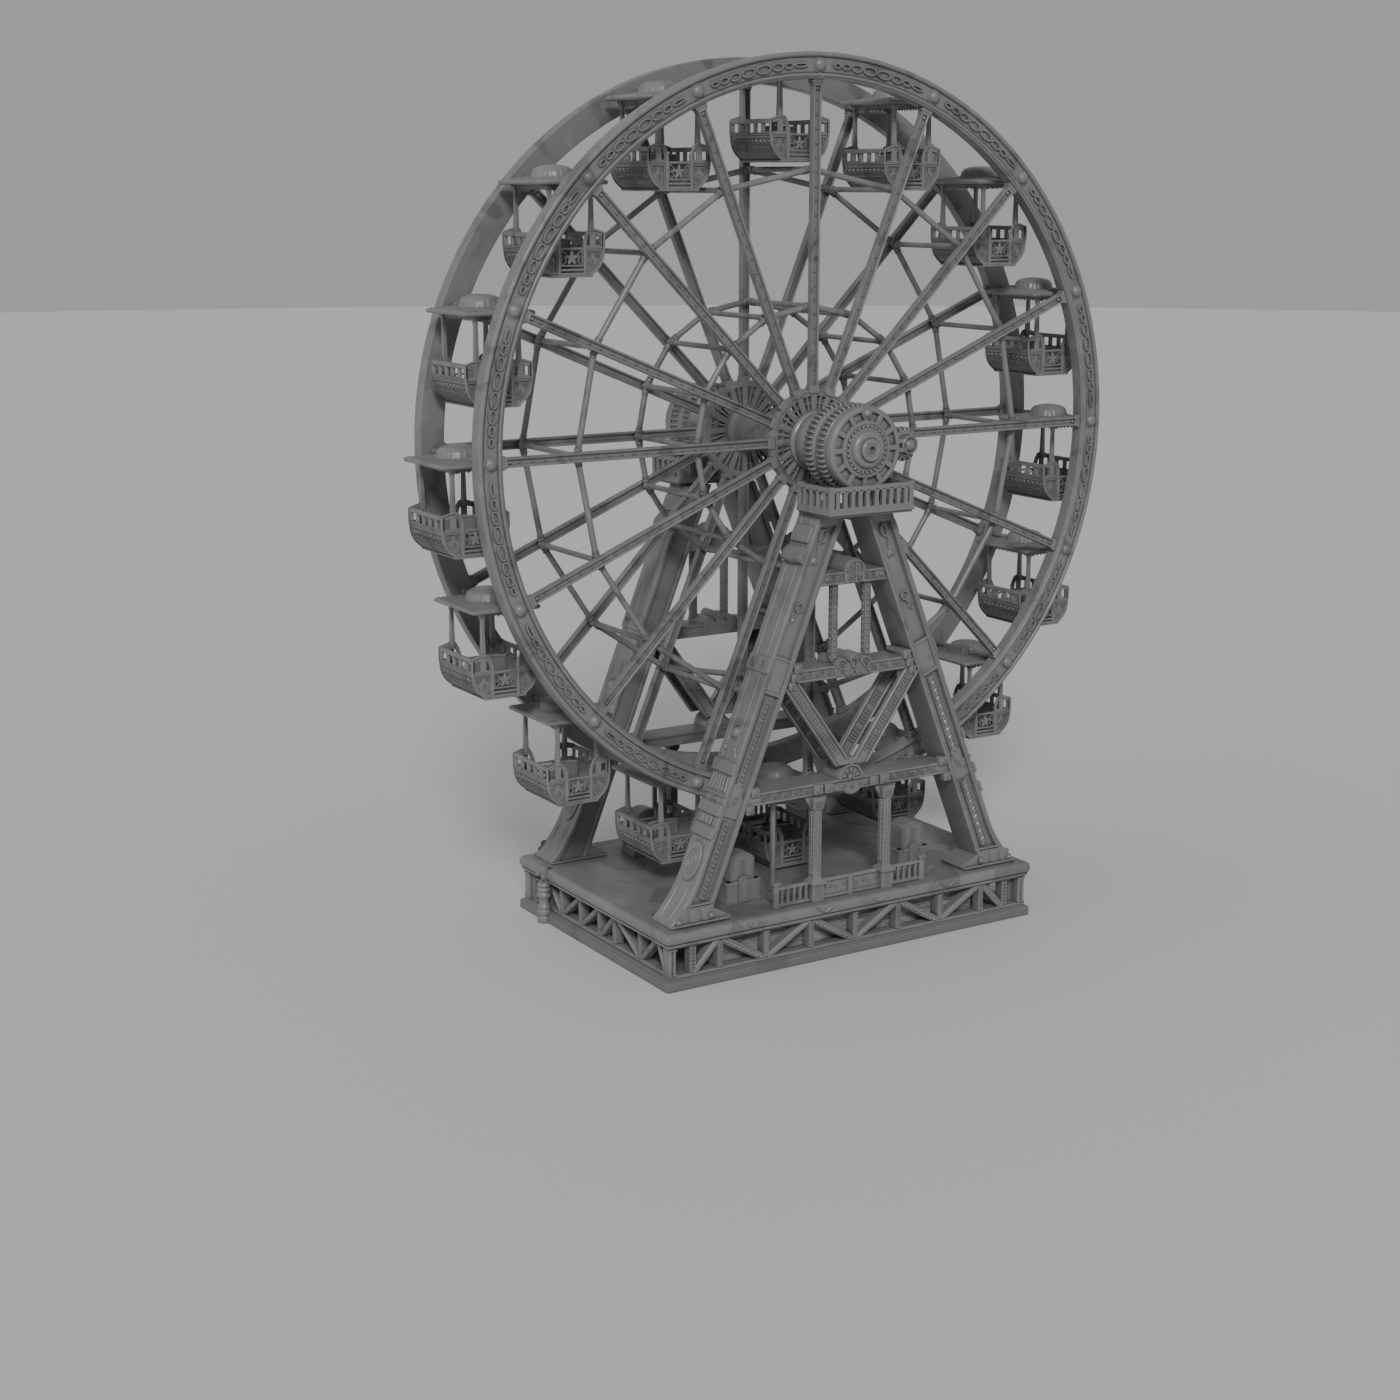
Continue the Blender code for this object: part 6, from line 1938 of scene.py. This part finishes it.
@dataclass
class BearingHousing:
    """The fixed cover of the gear drum, its cap and knob, and the bracket of the pinion."""

    radius: float = 0.92
    back: float = 3.18
    plate: float = 3.36
    front: float = 3.44
    windows: int = 12
    pinion_x: float = 1.2837

    def cover(self) -> Form:
        """The pierced face and the rounded band behind it.

        Returns:
            The cover round zero.
        """
        holes = []
        for number in range(self.windows):
            middle = 90.0 + (number + 0.5) * 30.0
            holes.append([polar(0.62, middle - 10.0), polar(0.80, middle - 10.8), polar(0.80, middle),
                          polar(0.80, middle + 10.8), polar(0.62, middle + 10.0), polar(0.615, middle)])
        face = pierced(circle(0.895, 72), holes, self.plate - 0.01, self.front, 0.014)
        band = lathe([(0.80, self.plate - 0.02), (0.84, self.plate - 0.02), (0.845, self.back), (0.885, self.back),
                      (0.905, self.back + 0.02), (0.918, self.back + 0.07), (0.92, self.plate - 0.02),
                      (0.914, self.plate + 0.03), (0.895, self.front - 0.012), (0.870, self.front + 0.004),
                      (0.842, self.front + 0.008), (0.826, self.front - 0.004), (0.80, self.front - 0.02)],
                     96, closed=True)
        shade = lathe([(0.84, self.plate - 0.03), (0.84, self.plate - 0.012), (0.30, self.plate - 0.012),
                       (0.30, self.plate - 0.03)], 64, closed=True)
        return Form.joined([face, band, shade])

    def centre(self) -> Form:
        """The small toothed ring, the cap, the stepped boss with its hole and the knob.

        Returns:
            The middle of the cover round zero.
        """
        f = self.front
        parts = [lathe([(0.61, f - 0.01), (0.61, f + 0.014), (0.59, f + 0.024), (0.555, f + 0.024),
                        (0.545, f + 0.008), (0.50, f + 0.008), (0.50, f - 0.01)], 72, closed=True)]
        tooth = block((0.460, -0.030, f - 0.01), (0.532, 0.030, f + 0.058), 0.016)
        parts.append(ring_of(tooth, 28))
        parts.append(lathe([(0.47, f - 0.01), (0.47, f + 0.025), (0.455, f + 0.036), (0.41, f + 0.038),
                            (0.400, f + 0.070), (0.388, f + 0.105), (0.362, f + 0.132), (0.325, f + 0.142),
                            (0.268, f + 0.144), (0.262, f + 0.130), (0.248, f + 0.130), (0.242, f + 0.200),
                            (0.232, f + 0.224), (0.206, f + 0.234), (0.172, f + 0.230), (0.150, f + 0.216),
                            (0.128, f + 0.214), (0.118, f + 0.232), (0.098, f + 0.234), (0.086, f + 0.222),
                            (0.078, f + 0.12), (0.0, f + 0.12)], 64))
        knob = Form.joined([dome(0.098, 0.098, 16, 5), lathe([(0.125, -0.03), (0.125, 0.014), (0.0, 0.014)], 16)])
        parts.append(knob.shifted(0.0, 0.775, f))
        parts.append(block((-0.022, 0.49, f - 0.01), (0.022, 0.63, f + 0.026), 0.008))
        return Form.joined(parts)

    def bracket(self) -> Form:
        """The two bars to the pinion and the eye at their end.

        Returns:
            The bracket round zero.
        """
        x = self.pinion_x
        parts = [block((0.80, z - 0.050, self.back + 0.012), (x - 0.05, z + 0.050, self.back + 0.112), 0.020)
                 for z in (-0.095, 0.095)]
        near, face = self.back + 0.012, self.back + 0.125
        eye = lathe([(0.0, near), (0.190, near), (0.205, near + 0.02), (0.208, face - 0.03), (0.200, face - 0.008),
                     (0.180, face + 0.004), (0.160, face - 0.006), (0.152, face - 0.040), (0.132, face - 0.042),
                     (0.128, face - 0.010), (0.108, face + 0.022), (0.070, face + 0.046), (0.030, face + 0.056),
                     (0.0, face + 0.058)], 40)
        parts.append(eye.shifted(x))
        return Form.joined(parts)

    def build(self, side: Side) -> None:
        """Install the housing of one tower."""
        drop = HUB_HEIGHT
        pedestal = turned_block([(10.0810 - drop, 0.13), (10.20 - drop, 0.13), (10.22 - drop, 0.12),
                                 (10.46 - drop, 0.12)], 0.0, 3.30, 0.1)
        pedestal = pedestal.moved(stretch(3.1, 1.0, 1.0))
        made = Form.joined([self.cover(), self.centre(), self.bracket(), pedestal])
        install(f"bearing_housing_{side.word}_casting", side.place(made, HUB_HEIGHT), GEAR_GREY, Slot.GEAR,
                "tower", f"bearing_housing_{side.word}")


@dataclass
class Booth:
    """A stepped stand on the deck: a low box, a vaulted upper part and a round-headed door panel."""

    x: float = 2.36
    out: float = 2.06
    half_x: float = 0.44
    half_out: float = 0.30
    height: float = 0.50
    top_x: float = 0.32
    top_out: float = 0.24
    side_top: float = 1.00
    vault_drop: float = 0.35
    door_half: float = 0.145
    door_top: float = 0.62

    def form(self) -> Form:
        """The stand as drawn, round its own middle.

        Returns:
            The stand.
        """
        low, a, b = DECK_TOP + 0.0003, self.half_x, self.half_out
        rings = []
        for z, inward in ((0.0, 0.0), (0.075, 0.0), (0.095, 0.016), (self.height - 0.085, 0.016),
                          (self.height - 0.065, 0.0), (self.height - 0.022, 0.0), (self.height, 0.022)):
            x, y = a - inward, b - inward
            rings.append([(x, low + z, -y), (x, low + z, y), (-x, low + z, y), (-x, low + z, -y)])
        parts = [loft(np.array(rings))]
        h, top = self.top_x, low + self.side_top
        reach = math.hypot(h, self.vault_drop)
        spring = math.degrees(math.atan2(self.vault_drop, h))
        vault = arc(reach, spring, 180.0 - spring, 12, (0.0, top - self.vault_drop))
        hood = [(-h, low + 0.30), (h, low + 0.30), *vault]
        parts.append(slab(hood, -self.top_out, self.top_out, 0.022, True))
        edge = [(h - 0.035, low + self.height + 0.04), *[(x * 0.89, z - 0.035) for x, z in vault],
                (-h + 0.035, low + self.height + 0.04)]
        for face in (1, -1):
            line = sweep(flat_path(np.array(edge)), [(-0.014, -0.02), (0.014, -0.02), (0.010, 0.016), (-0.010, 0.016)])
            slot = slab([*arc(0.085, 0.0, 180.0, 8, (0.0, low + 0.97)), (-0.085, low + 0.66), (0.085, low + 0.66)],
                        -0.01, 0.012, 0.006)
            louvres = [sweep([(-0.062, low + z - 0.012, 0.012), (0.0, low + z + 0.006, 0.016),
                              (0.062, low + z - 0.012, 0.012)], half_round(0.028, 0.018, 3))
                       for z in (0.70, 0.755, 0.81, 0.865, 0.92, 0.975)]
            knobs = dome(0.024, 0.022, 8, 2).shifted(h - 0.09, low + 0.80).doubled(0)
            panel = Form.joined([line, slot, *louvres, knobs]).shifted(z=self.top_out)
            parts.append(panel if face > 0 else panel.mirrored(2))
        d, crown = self.door_half, low + self.door_top - self.door_half
        door = [(-d, low + 0.004), (d, low + 0.004), *arc(d, 0.0, 180.0, 10, (0.0, crown))]
        inner = [(-d + 0.035, low + 0.05), (d - 0.035, low + 0.05), *arc(d - 0.035, 0.0, 180.0, 8, (0.0, crown))]
        parts.append(slab(door, b - 0.03, b + 0.036, 0.012))
        parts.append(stroke(np.array(inner), 0.022, 0.012, closed=True).shifted(z=b + 0.036))
        parts.append(block((-0.075, low + 0.09, b + 0.02), (0.075, low + 0.26, b + 0.046), 0.010))
        parts.append(block((-0.075, low + 0.30, b + 0.02), (0.075, low + 0.46, b + 0.046), 0.010))
        parts.append(dome(0.018, 0.018, 8, 2).shifted(d - 0.05, low + 0.28, b + 0.036))
        post = turned_block([(low, 0.085), (low + 0.40, 0.085), (low + 0.415, 0.10), (low + 0.475, 0.10),
                             (low + 0.50, 0.07)], a - 0.095, b - 0.095, 0.15)
        parts += [post, post.mirrored(0)]
        return Form.joined(parts)

    def build(self, side: Side) -> None:
        """Install the two booths of one tower."""
        form = self.form()
        for word, sign in (("left", -1), ("right", 1)):
            place = form.shifted(sign * self.x, 0.0, self.out)
            install(f"booth_{side.word}_{word}_casting", side.place(place), TOWER_GREY, Slot.TOWER, "tower",
                    f"booth_{side.word}_{word}")


@dataclass
class BaseSlab:
    """The moulded slab that everything stands on."""

    half_x: float = 5.01
    half_y: float = 3.45
    # How far its sides are drawn in, and the height, from the ground up
    moulding: tuple[tuple[float, float], ...] = ((0.03, 0.0), (0.0, 0.02), (0.0, 0.165), (0.006, 0.190),
                                                 (0.022, 0.210), (0.046, 0.220), (0.066, 0.224), (0.074, 0.240),
                                                 (0.092, 0.256), (0.115, 0.262), (0.130, 0.270))

    def build(self) -> None:
        """Install the slab."""
        made = stepped(self.half_x, self.half_y, self.moulding, 0.045)
        install("base_slab_casting", made, SHADED_BASE_GREY, Slot.TOWER, "tower", "base_slab")


@dataclass
class Deck:
    """The deck with its lip, its deep rounded nose and the small leaves on it."""

    half_x: float = 5.01
    half_y: float = 3.45
    # How far its sides are drawn in, and the height, from the lip up
    moulding: tuple[tuple[float, float], ...] = ((0.12, 0.9803), (0.050, 0.982), (0.036, 0.996), (0.036, 1.028),
                                                 (0.050, 1.042), (0.090, 1.048), (0.090, 1.060), (0.030, 1.066),
                                                 (0.008, 1.085), (0.0, 1.120), (0.0, 1.190), (0.006, 1.225),
                                                 (0.022, 1.257), (0.048, 1.281), (0.082, 1.295), (0.120, 1.300))
    leaf_places: tuple[float, ...] = (-2.82, -0.91, 0.58, 2.53)

    def leaves(self) -> Form:
        """Two small leaves and a bud at each place on the front nose, a little uneven as cast.

        Returns:
            The leaves as drawn, round the height of the nose.
        """
        parts = []
        for number, x in enumerate(self.leaf_places):
            size = 1.0 + 0.35 * (number % 2)
            for lean in (62.0, -66.0):
                blade = leaf(0.20 * size, 0.100, 0.052).moved(turn(lean))
                parts.append(blade.shifted(x, 1.125, self.half_y - 0.004))
            parts.append(dome(0.050, 0.055, 10, 3).shifted(x, 1.145, self.half_y - 0.004))
        return Form.joined(parts)

    def build(self) -> None:
        """Install the deck."""
        body = stepped(self.half_x, self.half_y, self.moulding, 0.05)
        leaves = self.leaves()
        made = Form.joined([body, Side.FRONT.place(leaves), Side.BACK.place(leaves)])
        install("deck_casting", made, DECK_GREY, Slot.DECK, "tower", "deck")


@dataclass
class Truss:
    """Chords, uprights and slanting bars between the base slab and the deck, as drawn."""

    near: float
    far: float
    half: float
    low: float = 0.2703
    high: float = 0.9800
    chord: float = 0.052
    half_post: float = 0.07
    half_bar: float = 0.084

    def chords(self) -> Form:
        """The rail along the bottom and the one along the top, each with a fillet.

        Returns:
            Both chords.
        """
        lip = ((self.far, 0.0), (self.far, 0.018), (self.far - 0.012, 0.032), (self.far - 0.026, 0.036),
               (self.far - 0.034, 0.050), (self.far - 0.052, self.chord), (self.near, self.chord),
               (self.near, 0.0))
        parts = []
        for foot, up in ((self.low, 1.0), (self.high, -1.0)):
            ends = [[(x, foot + up * rise, out) for out, rise in lip] for x in (-self.half, self.half)]
            parts.append(loft(np.array(ends)))
        return Form.joined(parts)

    def post(self, x: float, studded: bool = False) -> Form:
        """An upright plate with bevelled edges, an edge line each side and a flare at both ends.

        Args:
            x: its place across.
            studded: whether small studs run down its face.

        Returns:
            The upright.
        """
        w, far = self.half_post, self.far - 0.012
        parts = [block((x - w, self.low + 0.04, self.near), (x + w, self.high - 0.04, far), 0.016)]
        for place in (x - w + 0.026, x + w - 0.026):
            parts.append(block((place - 0.010, self.low + 0.07, far - 0.01), (place + 0.010, self.high - 0.07,
                                                                            far + 0.010), 0.004))
        for z, tall in ((self.low + self.chord + 0.018, 0.020), (self.high - self.chord - 0.018, 0.020)):
            parts.append(block((x - w - 0.010, z - tall, self.near + 0.01), (x + w + 0.010, z + tall, far + 0.008),
                               0.010))
        if studded:
            stud = dome(0.026, 0.022, 8, 2)
            parts.append(row_of(stud, (x, self.low + 0.13, far), (x, self.high - 0.13, far), 8))
        return Form.joined(parts)

    def bar(self, start: Sequence[float], end: Sequence[float], carved: bool) -> Form:
        """A slanting bar between two places: carved like a rope, or smooth with a ridge.

        Args:
            start: its first end, across and up.
            end: its other end.
            carved: whether it is carved.

        Returns:
            The bar.
        """
        w, middle = self.half_bar, (self.near + self.far) / 2
        deep = (self.far - self.near) / 2 - 0.022
        crown = 0.004 if carved else 0.018
        section = [(-w, -deep), (w, -deep), (w, deep - 0.030), (w - 0.014, deep - 0.012), (0.012, deep + crown),
                   (-0.012, deep + crown), (-w + 0.014, deep - 0.012), (-w, deep - 0.030)]
        ends = np.array([(*start, middle), (*end, middle)])
        parts = [sweep(ends, section)]
        if carved:
            run = ends[1] - ends[0]
            length = float(np.linalg.norm(run))
            slant = math.degrees(math.atan2(-run[0], run[1]))
            count = int(length / 0.062)
            for number in range(1, count):
                strand = leaf(0.120, 0.064, 0.036).shifted(y=-0.060).moved(turn(slant + (48.0 if number % 2 else 66.0)))
                place = ends[0] + run * number / count
                parts.append(strand.shifted(place[0], place[1], middle + deep - 0.004))
        return Form.joined(parts)

    def bay(self, left: float, right: float, rising: bool, carved: bool) -> Form:
        """The slanting bar of one bay, between the middles of its two uprights."""
        left, right = left + self.half_post - 0.03, right - self.half_post + 0.03
        low, high = self.low + self.chord - 0.02, self.high - self.chord + 0.02
        start, end = ((left, low), (right, high)) if rising else ((left, high), (right, low))
        return self.bar(start, end, carved)


@dataclass
class LongTruss(Truss):
    """The truss along the front or the back, with a ladder post and paired pilasters at its ends."""

    near: float = 3.10
    far: float = 3.36
    half: float = 4.91
    ladder_x: float = 4.30
    bays: int = 6
    pitch: float = 1.20

    def ladder(self, x: float) -> Form:
        """An upright with a row of slots between two stiles.

        Args:
            x: its place across.

        Returns:
            The upright.
        """
        w, far = self.half_post + 0.008, self.far - 0.008
        parts = [block((x - w, self.low + 0.04, self.near), (x + w, self.high - 0.04, far - 0.030), 0.012)]
        for place in (x - w + 0.020, x + w - 0.020):
            parts.append(block((place - 0.020, self.low + 0.05, far - 0.05), (place + 0.020, self.high - 0.05, far),
                               0.010))
        rung = block((x - w + 0.02, -0.020, far - 0.05), (x + w - 0.02, 0.020, far - 0.002), 0.010)
        parts.append(row_of(rung, (0.0, self.low + 0.11, 0.0), (0.0, self.high - 0.11, 0.0), 7))
        return Form.joined(parts)

    def pilasters(self) -> Form:
        """The pair of rounded pilasters at the right corner, with a cap and a foot.

        Returns:
            The pilasters.
        """
        parts = [block((4.712, self.low + 0.03, self.near), (4.908, self.high - 0.03, self.far - 0.045), 0.012)]
        for x in (4.760, 4.860):
            round_face = [(0.045, 0.0), *[(0.045 * math.cos(a), 0.052 * math.sin(a))
                                          for a in np.linspace(0.2, math.pi - 0.2, 7)], (-0.045, 0.0)]
            parts.append(sweep([(x, self.low + 0.04, self.far - 0.056), (x, self.high - 0.04, self.far - 0.056)],
                               round_face))
        for z in (self.low + self.chord + 0.022, self.high - self.chord - 0.022):
            parts.append(block((4.700, z - 0.022, self.near + 0.01), (4.918, z + 0.022, self.far + 0.002), 0.010))
        return Form.joined(parts)

    def build(self, side: Side) -> None:
        """Install the truss of one side."""
        reach = self.pitch * self.bays / 2
        posts = [-self.ladder_x, *np.linspace(-reach, reach, self.bays + 1), self.ladder_x]
        parts = [self.chords()]
        parts += [self.post(x, number % 2 == 0) for number, x in enumerate(posts[1:-1])]
        parts += [self.ladder(posts[0]), self.ladder(posts[-1]), self.pilasters().doubled(0)]
        for number, (left, right) in enumerate(zip(posts, posts[1:])):
            rising = number % 2 == 0
            parts.append(self.bay(left, right, rising, carved=not rising and 0 < number < self.bays + 1))
        install(f"plinth_truss_{side.word}_casting", side.place(Form.joined(parts)), PLINTH_GREY, Slot.TOWER,
                "tower", f"plinth_truss_{side.word}")


@dataclass
class EndTruss(Truss):
    """The open truss across one end of the plinth: deep thin plates, unevenly spaced as cast."""

    near: float = 4.5997
    far: float = 4.8397
    half: float = 3.1097
    half_post: float = 0.062
    half_bar: float = 0.066
    apex: float = -2.66
    posts: tuple[float, ...] = (-1.94, -0.82, -0.125, 0.76, 1.67, 2.40, 3.05)
    rises: tuple[bool, ...] = (True, False, False, False, True, False)

    def build(self) -> None:
        """Install the truss of both ends."""
        parts = [self.chords()]
        parts += [self.post(place) for place in (-self.half + self.half_post, *self.posts[:-1],
                                                 self.half - self.half_post)]
        bays = [(-self.half + self.half_post, self.apex, True), (self.apex, self.posts[0], False),
                *zip(self.posts, self.posts[1:], self.rises)]
        parts += [self.bay(left, right, rising, False) for left, right, rising in bays]
        drawing = Form.joined(parts)
        standing = np.array([[0.0, 0.0, 1.0, 0.0], [1.0, 0.0, 0.0, 0.0], [0.0, 1.0, 0.0, 0.0], [0.0, 0.0, 0.0, 1.0]])
        right = drawing.moved(standing)
        for word, made in (("right", right), ("left", right.mirrored(0))):
            install(f"plinth_truss_{word}_casting", made, PLINTH_GREY, Slot.TOWER, "tower", f"plinth_truss_{word}")


@dataclass
class CoreWall:
    """The wall behind the middle bays, in thin rough courses."""

    half_x: float = 3.60
    half_y: float = 2.97
    low: float = 0.2703
    high: float = 0.9800
    courses: int = 16
    seed: int = 11

    def face(self, half: float, out: float, dice: np.random.Generator) -> Form:
        """The courses of one face as drawn.

        Args:
            half: half the length of the face.
            out: its distance out.
            dice: where the uneven lengths come from.

        Returns:
            The courses.
        """
        height = (self.high - self.low) / self.courses
        parts = []
        for row in range(self.courses):
            z = self.low + row * height
            x = -half
            while x < half - 0.02:
                end = min(half, x + dice.uniform(0.16, 0.70))
                proud = dice.uniform(-0.004, 0.012)
                tilt = dice.uniform(-0.006, 0.006)
                outline = [(x + 0.003, z + 0.004), (end - 0.004, z + 0.004 + tilt * 0.5),
                           (end - 0.003, z + height - 0.004), (x + 0.004, z + height - 0.004 + tilt * 0.5)]
                parts.append(slab(outline, out - 0.03, out + proud, 0.004))
                x = end
        return Form.joined(parts)

    def build(self) -> None:
        """Install the wall."""
        dice = np.random.default_rng(self.seed)
        inner = 0.016
        body = stepped(self.half_x - inner, self.half_y - inner, ((0.0, self.low), (0.0, self.high)), 0.01)
        parts = [body]
        for side in Side:
            parts.append(side.place(self.face(self.half_x, self.half_y - 0.012, dice)))
        standing = np.array([[0.0, 0.0, 1.0, 0.0], [1.0, 0.0, 0.0, 0.0], [0.0, 1.0, 0.0, 0.0], [0.0, 0.0, 0.0, 1.0]])
        for sign in (-1.0, 1.0):
            end = self.face(self.half_y, self.half_x - 0.012, dice).moved(standing)
            parts.append(end if sign > 0.0 else end.mirrored(0))
        install("plinth_core_wall", Form.joined(parts), LIFTED_WALL_GREY, Slot.TOWER, "tower", "plinth_core")


@dataclass
class SideColumn:
    """The ringed column at each end of the plinth, clasped over the nose of the deck."""

    x: float = 5.01
    y: float = 2.16
    # Radius and height from the ground up
    profile: tuple[tuple[float, float], ...] = (
        (0.0, 0.0), (0.160, 0.0), (0.170, 0.015), (0.170, 0.110), (0.160, 0.150), (0.140, 0.172), (0.146, 0.190),
        (0.162, 0.206), (0.168, 0.250), (0.160, 0.300), (0.138, 0.326), (0.142, 0.342), (0.156, 0.372),
        (0.152, 0.404), (0.130, 0.428), (0.116, 0.452), (0.112, 0.520), (0.118, 0.575), (0.134, 0.600),
        (0.160, 0.624), (0.170, 0.666), (0.162, 0.716), (0.136, 0.742), (0.136, 0.752), (0.160, 0.770),
        (0.168, 0.806), (0.160, 0.846), (0.134, 0.866), (0.134, 0.876), (0.156, 0.890), (0.164, 0.920),
        (0.154, 0.950), (0.128, 0.972), (0.112, 1.010), (0.112, 1.070), (0.130, 1.130), (0.140, 1.220),
        (0.134, 1.290), (0.104, 1.335), (0.050, 1.354), (0.0, 1.358))

    def clasp(self) -> Form:
        """The strap that bends over the nose of the deck, with a scroll on each side.

        Returns:
            The clasp round the column's middle, at the right end.
        """
        bend = [(-0.20, 0.0, 1.312), (-0.10, 0.0, 1.345), (0.0, 0.0, 1.356), (0.09, 0.0, 1.336), (0.148, 0.0, 1.270),
                (0.164, 0.0, 1.180), (0.150, 0.0, 1.090), (0.120, 0.0, 1.030)]
        strap = sweep(bend, rectangle(-0.070, 0.070, -0.020, 0.016, 0.012), up=(0.30, 0.0, 1.0))
        curl = scroll(0.17, 0.034, 0.030, 1.3, 12)
        curls = [Side.FRONT.place(curl).shifted(0.02, -0.112, 1.235), Side.BACK.place(curl).shifted(0.02, 0.112, 1.235)]
        toe = [Side.FRONT.place(curl).moved(stretch(0.8, 1.0, 0.8)).shifted(0.07, -0.105, 1.03),
               Side.BACK.place(curl).moved(stretch(0.8, 1.0, 0.8)).shifted(0.07, 0.105, 1.03)]
        return Form.joined([strap, *curls, *toe])

    def build(self) -> None:
        """Install both columns."""
        right = Form.joined([lathe(self.profile, 36), self.clasp()]).shifted(self.x, self.y)
        for word, made in (("right", right), ("left", right.mirrored(0))):
            install(f"side_column_{word}_turned", made, PLINTH_GREY, Slot.TOWER, "tower", f"side_column_{word}")


class Studio:
    """The pale floor, the soft lights and the camera at the photo's place."""

    camera_place = (-27.87, -41.64, 16.98)
    yaw = 31.80
    pitch = -13.28
    lens = 56.73
    sensor = 36.0

    def floor(self) -> None:
        """Lay a wide pale floor."""
        made = lathe([(260.0, -0.02), (260.0, 0.0), (0.0, 0.0)], 96)
        mesh = made.mesh("floor")
        finish = bpy.data.materials.new("pale floor")
        finish.use_nodes = True
        shader = finish.node_tree.nodes["Principled BSDF"]
        shader.inputs["Base Color"].default_value = (0.62, 0.62, 0.62, 1.0)
        shader.inputs["Roughness"].default_value = 0.7
        mesh.materials.append(finish)
        piece = bpy.data.objects.new("floor", mesh)
        bpy.context.scene.collection.objects.link(piece)

    def sunlight(self, name: str, place: Sequence[float], power: float, spread: float) -> None:
        """Hang a distant light that shines from a place towards the wheel.

        Args:
            name: its name.
            place: the direction that it comes from.
            power: its power.
            spread: how wide it appears, in degrees, which softens its shadows.
        """
        data = bpy.data.lights.new(name, "SUN")
        data.energy = power
        data.angle = math.radians(spread)
        made = bpy.data.objects.new(name, data)
        made.rotation_euler = Vector(place).to_track_quat("Z", "Y").to_euler()
        bpy.context.scene.collection.objects.link(made)

    def build(self) -> None:
        """Set the floor, the light and the camera."""
        self.floor()
        self.sunlight("key", (-20.0, -34.0, 26.0), 2.0, 13.0)
        self.sunlight("fill", (-34.0, 6.0, 16.0), 0.5, 60.0)
        world = bpy.data.worlds.new("studio")
        world.use_nodes = True
        shade = world.node_tree.nodes["Background"]
        shade.inputs["Color"].default_value = (0.72, 0.72, 0.73, 1.0)
        shade.inputs["Strength"].default_value = 0.52
        bpy.context.scene.world = world
        lens = bpy.data.cameras.new("camera")
        lens.lens = self.lens
        lens.sensor_width = self.sensor
        lens.clip_end = 1000.0
        camera = bpy.data.objects.new("camera", lens)
        camera.location = self.camera_place
        camera.rotation_euler = (math.radians(90.0 + self.pitch), 0.0, math.radians(-self.yaw))
        bpy.context.scene.collection.objects.link(camera)
        bpy.context.scene.camera = camera


def dress_nodes() -> None:
    """Give each CAD node that still shows the finish of its slot."""
    finishes = {"tower_paint": TOWER_GREY, "deck_paint": DECK_GREY, "wheel_paint": WHEEL_GREY,
                "gear_metal": GEAR_GREY, "gondola_paint": GONDOLA_GREY}
    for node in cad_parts.values():
        for slot in node.material_slots:
            name = slot.material.name.split(".")[0] if slot.material else "tower_paint"
            slot.material = finishes.get(name, TOWER_GREY).material()


def main() -> None:
    logging.basicConfig(level=logging.INFO, format="%(name)s: %(message)s")
    dress_nodes()
    BaseSlab().build()
    Deck().build()
    for side in Side:
        LongTruss().build(side)
    EndTruss().build()
    CoreWall().build()
    SideColumn().build()
    for side in Side:
        Rim().build(side)
        Spokes().build(side)
        GearDrum().build(side)
        Pinion().build(side)
    BraceRing("outer_brace_ring", 5.84).build()
    BraceRing("inner_brace_ring", 2.92).build()
    Axle().build()
    Gondola().build_all()
    for side in Side:
        Leg().build(side)
        for kind in BeamKind:
            CrossBeam(kind).build(side)
        VBrace().build(side)
        Colonnade().build(side)
        Balcony().build(side)
        BearingHousing().build(side)
        Booth().build(side)
    Studio().build()


if __name__ == "__main__":
    main()
